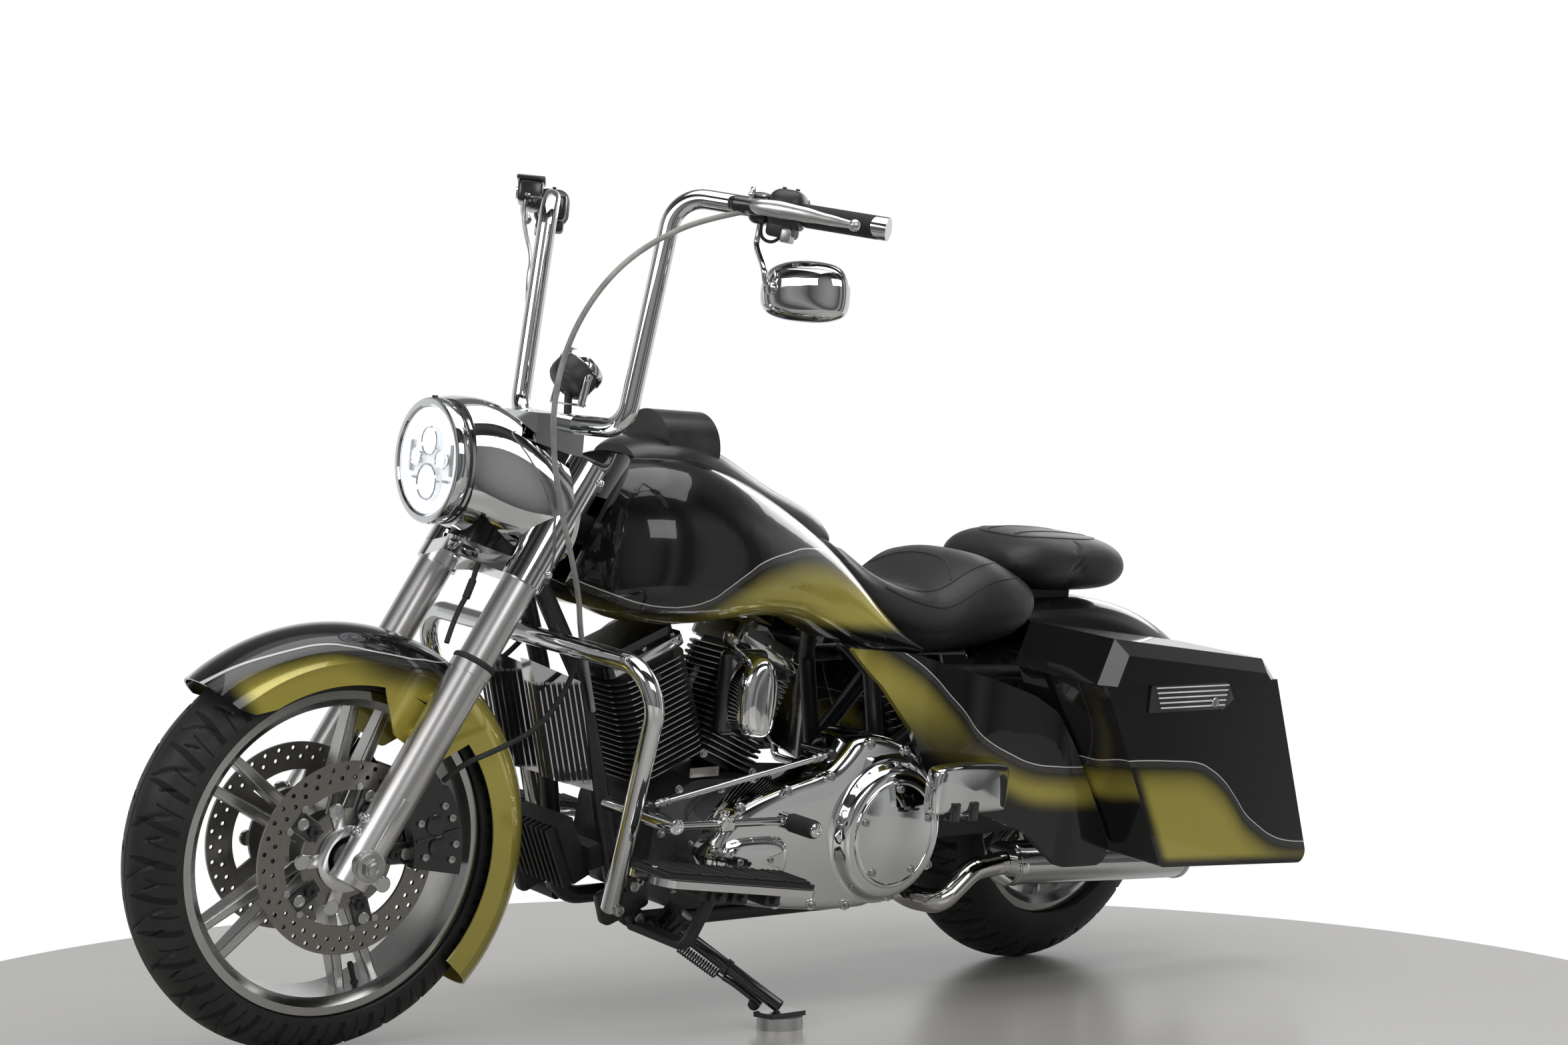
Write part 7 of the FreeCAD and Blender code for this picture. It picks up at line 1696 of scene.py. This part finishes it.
place(nuts, "rear_nuts", SATIN_STEEL)
coils = []
shock_top, shock_foot = mm(150, 179, 600), mm(44, 179, 327)
shock_way = (shock_foot - shock_top).normalized()
for k in range(9):
    coils.append(lathe([(0.0235, 0.0), (0.0262, 0.002), (0.027, 0.005), (0.0262, 0.008), (0.0235, 0.010)],
                       shock_top + shock_way * (0.055 + 0.0185 * k), shock_way, 40))
place(both_sides(coils), "shock_coils", CHROME)

lamp_rims = [slab(mm(-425, 0, 560), (0.006, 0.1235, 0.0655), 0, 0.0028, 3)]
for side in (1, -1):
    lamp_rims.append(lathe([(0.0262, 0.0), (0.0282, 0.002), (0.0288, 0.006), (0.0288, 0.030),
                            (0.0262, 0.036)], mm(-486, side * 150, 560), AHEAD, 48))
place(lamp_rims, "rear_lamp_rims", CHROME)

# %% [markdown]
# ## Cables
# The clutch cable and the brake hoses hang between the turning fork and the frame. Each follows the same
# points as the solid model, all set down in the frame's space.

# %% Cables
CLUTCH_ROUTE = [(1150, 306, 1372), (1206, 272, 1352), (1268, 250, 1318), (1330, 240, 1272),
                (1378, 232, 1212), (1408, 222, 1140), (1418, 214, 1060), (1406, 208, 975),
                (1376, 200, 890), (1338, 190, 812), (1294, 164, 742), (1244, 112, 672),
                (1190, 78.3, 586), (1178, 81.4, 538)]
HOSE_ROUTE = [(1488, 120, 443), (1473, 140, 472), (1417, 150, 494), (1337, 140, 521), (1281, 118, 558),
              (1233, 92, 605), (1208, 70, 650)]


CABLE_R = 0.0045


def held_cable(name, route, material, node):
    """A cable through the route's points, all set down in the frame's space."""
    points = [SPACE["frame"] @ mm(*at) for at in route]
    obj = smooth(dress(hose(points, CABLE_R), name, material), 60)
    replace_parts(obj, node)
    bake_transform(obj)
    print(name, "length about", round(sum((b - a).length for a, b in zip(points, points[1:])), 3), "m")


SHEATH = coat("grey_cable_sheath", (0.2, 0.195, 0.185), 0.36, 400.0, 0.0001, 0.2)
held_cable("clutch_cable_sheath", CLUTCH_ROUTE, SHEATH, "clutch_cable")
held_cable("left_brake_hose", HOSE_ROUTE, RUBBER, "brake_hoses")
held_cable("right_brake_hose", [(x, -y, z) for x, y, z in HOSE_ROUTE], RUBBER, "brake_hoses")

# %% [markdown]
# ## Seats
# Each seat starts from the solid model's own mesh, made even by a remesh. A short cloth
# simulation with inner pressure makes it swell like foam under leather, by no more than a cap.

# %% Seats
PRESSURE = 4.0
FRAMES = 20


def swelled(obj, cap):
    """Runs the cloth simulation and holds every point within cap of its start."""
    start = [v.co.copy() for v in obj.data.vertices]
    only(obj)
    cloth = obj.modifiers.new("cloth", "CLOTH")
    for key, value in dict(quality=5, mass=0.4, tension_stiffness=30, compression_stiffness=30,
                           bending_stiffness=2.0, use_pressure=True,
                           uniform_pressure_force=PRESSURE).items():
        setattr(cloth.settings, key, value)
    cloth.settings.effector_weights.gravity = 0.0
    cloth.collision_settings.use_collision = False
    cloth.point_cache.frame_start = 1
    cloth.point_cache.frame_end = FRAMES
    for f in range(1, FRAMES + 1):
        bpy.context.scene.frame_set(f)
    only(obj)
    bpy.ops.object.modifier_apply(modifier="cloth")
    bpy.context.scene.frame_set(1)
    moved = 0.0
    for v, was in zip(obj.data.vertices, start):
        step = v.co - was
        moved = max(moved, step.length)
        if step.length > cap:
            v.co = was + step * (cap / step.length)
    print("swelled by", round(moved * 1000, 1), "mm")


def cushion(name, node, voxel, cap):
    """A padded piece from a node's own mesh; voxel is the fineness of its remesh."""
    bpy.ops.object.select_all(action="DESELECT")
    obj = duplicate(nodes[node])
    obj.parent = None
    obj.matrix_world = nodes[node].matrix_world.copy()
    merged(bake(obj), 1e-5)
    modify(obj, "REMESH", mode="VOXEL", voxel_size=voxel, use_smooth_shade=True)
    modify(obj, "SMOOTH", factor=0.5, iterations=6)
    swelled(obj, cap)
    modify(obj, "SUBSURF", levels=1, render_levels=1)
    smooth(dress(obj, name, LEATHER), 60)
    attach(obj, "frame")
    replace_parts(obj, node)
    return obj


rider = cushion("rider_seat_leather", "rider_seat", 0.006, 0.007)
pillion = cushion("pillion_seat_leather", "pillion_seat", 0.0055, 0.006)


# %% [markdown]
# ## Seams
# Upholstery is sewn from panels. Each seam is a thin raised cord with a row of stitches beside
# it, laid on the leather by casting rays down at a line drawn in plan.

# %% Seams
SEAM_RISE = 0.0003
SEAM_RADIUS = 0.0013
STITCH_STEP = 0.0055
STITCH = (0.0018, 0.00055)
STITCH_ASIDE = 6.0
THREAD = coat("dark_thread", (0.05, 0.05, 0.052), 0.6, 900.0, 0.0001, 0.0)


def laid_down(obj, plan):
    """Points of a plan line dropped onto a seat from above."""
    down = (PARK.to_3x3() @ -UP).normalized()
    found = []
    for x, y in plan:
        hit, at, normal, face = obj.ray_cast(PARK @ Vector((x / 1000, y / 1000, 1.2)), down)
        if hit:
            found.append(at + normal * SEAM_RISE)
    return found


def stitch_row(line):
    """Small pointed stitches, one mesh for the whole row."""
    verts, faces, walked = [], [], 0.0
    for a, b in zip(line, line[1:]):
        walked += (b - a).length
        if walked < STITCH_STEP or (b - a).length < 1e-6:
            continue
        walked = 0.0
        along = (b - a).normalized()
        side = along.cross(UP).normalized()
        top = side.cross(along)
        first = len(verts)
        verts += [a - along * STITCH[0], a + along * STITCH[0]]
        verts += [a + side * STITCH[1], a + top * STITCH[1], a - side * STITCH[1], a - top * STITCH[1]]
        for k in range(4):
            n = (k + 1) % 4
            faces += [(first, first + 2 + n, first + 2 + k), (first + 1, first + 2 + k, first + 2 + n)]
    return outward(meshed("stitches", verts, faces))


def sewn(name, seat, plans):
    """Cords with a row of stitches beside them, along lines drawn in plan in millimetres."""
    cords, rows = [], []
    for plan in plans:
        fine = smooth_line([Vector((x, y, 0)) for x, y in plan], 14)
        for shift in (0.0, STITCH_ASIDE):
            moved = []
            for i, at in enumerate(fine):
                ahead = (fine[min(i + 1, len(fine) - 1)] - fine[max(i - 1, 0)]).normalized()
                aside = at + Vector((-ahead.y, ahead.x, 0)) * shift
                moved.append((aside.x, aside.y))
            line = laid_down(seat, moved)
            if len(line) > 3 and shift:
                rows.append(stitch_row(line))
            elif len(line) > 3:
                cords.append(swept(line, [(SEAM_RADIUS, SEAM_RADIUS * 0.7)] * len(line), UP, 8))
    for parts, kind, material in ((cords, "_cords", LEATHER), (rows, "_stitches", THREAD)):
        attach(dress(join(parts), name + kind, material), "frame")


def mirrored(plan):
    """A plan line and its other side, from one end round to the other."""
    return plan + [(x, -y) for x, y in reversed(plan)]


half = [(636, 44), (590, 58), (540, 74), (480, 96), (420, 114), (350, 118), (290, 104), (250, 66),
        (236, 20)]
edge_half = [(560, 104), (500, 126), (420, 148), (330, 152), (260, 138), (215, 104), (196, 54), (190, 16)]
cross_seam = [(404, 112), (372, 60), (362, 0), (372, -60), (404, -112)]
sewn("rider_seam", rider, [mirrored(half), mirrored(edge_half), cross_seam])
pad_ring = [(65 + 118 * math.cos(a) * abs(math.cos(a)) ** -0.35,
             84 * math.sin(a) * abs(math.sin(a)) ** -0.3)
            for a in (0.12 + 2 * math.pi * k / 24 for k in range(24))]
pad_lines = [[(65 + 100 * s, y), (65 + 40 * s, y * 1.1), (65, y * 1.12)]
             for s in (1, -1) for y in (36, -36)]
sewn("pillion_seam", pillion, [pad_ring + pad_ring[:1]] + pad_lines)

# %% [markdown]
# ## Studio
# A pale floor, four soft lamps and a white surround. The surround has three faces: the camera
# sees plain white, matt surfaces get soft even light, and gloss mirrors a room of light and
# dark bands, because chrome looks like chrome only when it has something uneven to mirror.

# %% Studio
def floor_finish(name, tint, rough):
    """A plain floor with faint large stains."""
    p = Paint(name)
    dirt = p.noise(0.9, 5.0, 0.6)
    p.set(Base_Color=p.colour(dirt, tint, times(tint, 0.94)),
          Roughness=dirt.range(rough * 0.8, rough * 1.2))
    return p.material


bpy.ops.object.select_all(action="DESELECT")
bpy.ops.mesh.primitive_circle_add(vertices=192, radius=1.62, fill_type="NGON", location=(0, 0, 0))
floor = bpy.context.object
floor.name = "studio_floor"
floor.data.materials.append(floor_finish("grey_floor", (0.37, 0.362, 0.342), 0.24))

world = bpy.data.worlds.new("studio_white")
bpy.context.scene.world = world
world.use_nodes = True
tree = world.node_tree
tree.nodes.clear()


def grey_ramp(factor, stops):
    """A ramp of greys, given as (place, shade); its first and last stop lie at 0 and 1."""
    ramp = add_node(tree, "ShaderNodeValToRGB", i0=factor)
    elements = ramp.socket.node.color_ramp.elements
    for spot, shade in stops[1:-1]:
        elements.new(spot)
    for stop, (spot, shade) in zip(elements, stops):
        stop.color = (shade, shade, shade, 1.0)
    return ramp


def toward(*way):
    """How far the direction of view points a way, from -1 to 1."""
    direction = add_node(tree, "ShaderNodeTexCoord", "Generated")
    return add_node(tree, "ShaderNodeVectorMath", "Value", {"operation": "DOT_PRODUCT"}, i0=direction,
                    i1=way)


def surround(strength, grey=1.0):
    return add_node(tree, "ShaderNodeBackground", Color=(grey, grey, grey), Strength=strength)


def for_rays(kind, otherwise, then):
    """One surround for a kind of ray, another for all other rays."""
    return add_node(tree, "ShaderNodeMixShader", i0=add_node(tree, "ShaderNodeLightPath", kind),
                    i1=otherwise, i2=then)


along = add_node(tree, "ShaderNodeMapRange", i0=toward(0.667, 0.745, 0.0), i1=-1.0, i2=1.0)
bands = grey_ramp(along, ((0.0, 0.95), (0.36, 0.78), (0.43, 0.3), (0.465, 0.1), (0.5, 0.1), (0.53, 0.4),
                          (0.6, 0.45), (0.65, 0.12), (0.71, 0.07), (0.8, 0.36), (0.88, 0.08), (1.0, 0.34)))
height = toward(0.0, 0.0, 1.0)
wall = bands * height.step(0.3, 0.6, 1.0, 0.22)
roof = height.step(0.84, 0.92, 0.0, 0.85)
lit_room = for_rays("Is Glossy Ray", surround(0.55), surround(wall.high(roof), 0.8))
world_out = tree.nodes.new("ShaderNodeOutputWorld")
plug(tree, world_out, {"Surface": for_rays("Is Camera Ray", lit_room, surround(1.0))})
print("world nodes", len(tree.nodes))


def panel_light(name, centre, look_at, size, size_y, power):
    data = bpy.data.lights.new(name, "AREA")
    data.shape = "RECTANGLE"
    data.size, data.size_y, data.energy = size, size_y, power
    lamp = linked(bpy.data.objects.new(name, data))
    lamp.location = centre
    lamp.rotation_euler = (Vector(look_at) - Vector(centre)).to_track_quat("-Z", "Y").to_euler()


panel_light("ceiling_panel", (0.2, 0.8, 4.2), (0, 0, 0.4), 5.0, 3.0, 85.0)
panel_light("left_panel", (1.0, 5.0, 2.6), (0, 0, 0.6), 4.0, 1.6, 55.0)
panel_light("front_panel", (5.0, 0.6, 2.4), (0.4, 0, 0.6), 3.0, 1.4, 40.0)
panel_light("back_panel", (-4.5, -1.5, 2.8), (-0.4, 0, 0.6), 3.0, 1.6, 40.0)

camera_data = bpy.data.cameras.new("camera")
camera = linked(bpy.data.objects.new("camera", camera_data))
camera_data.sensor_width = 36.0
camera_data.lens = 57.11
camera.location = SHIFT + mm(3679.6, 3378.5, 672.1)
camera.rotation_euler = (math.radians(92.21), 0, math.radians(138.16))
bpy.context.scene.camera = camera
bpy.context.scene.view_settings.view_transform = "Standard"
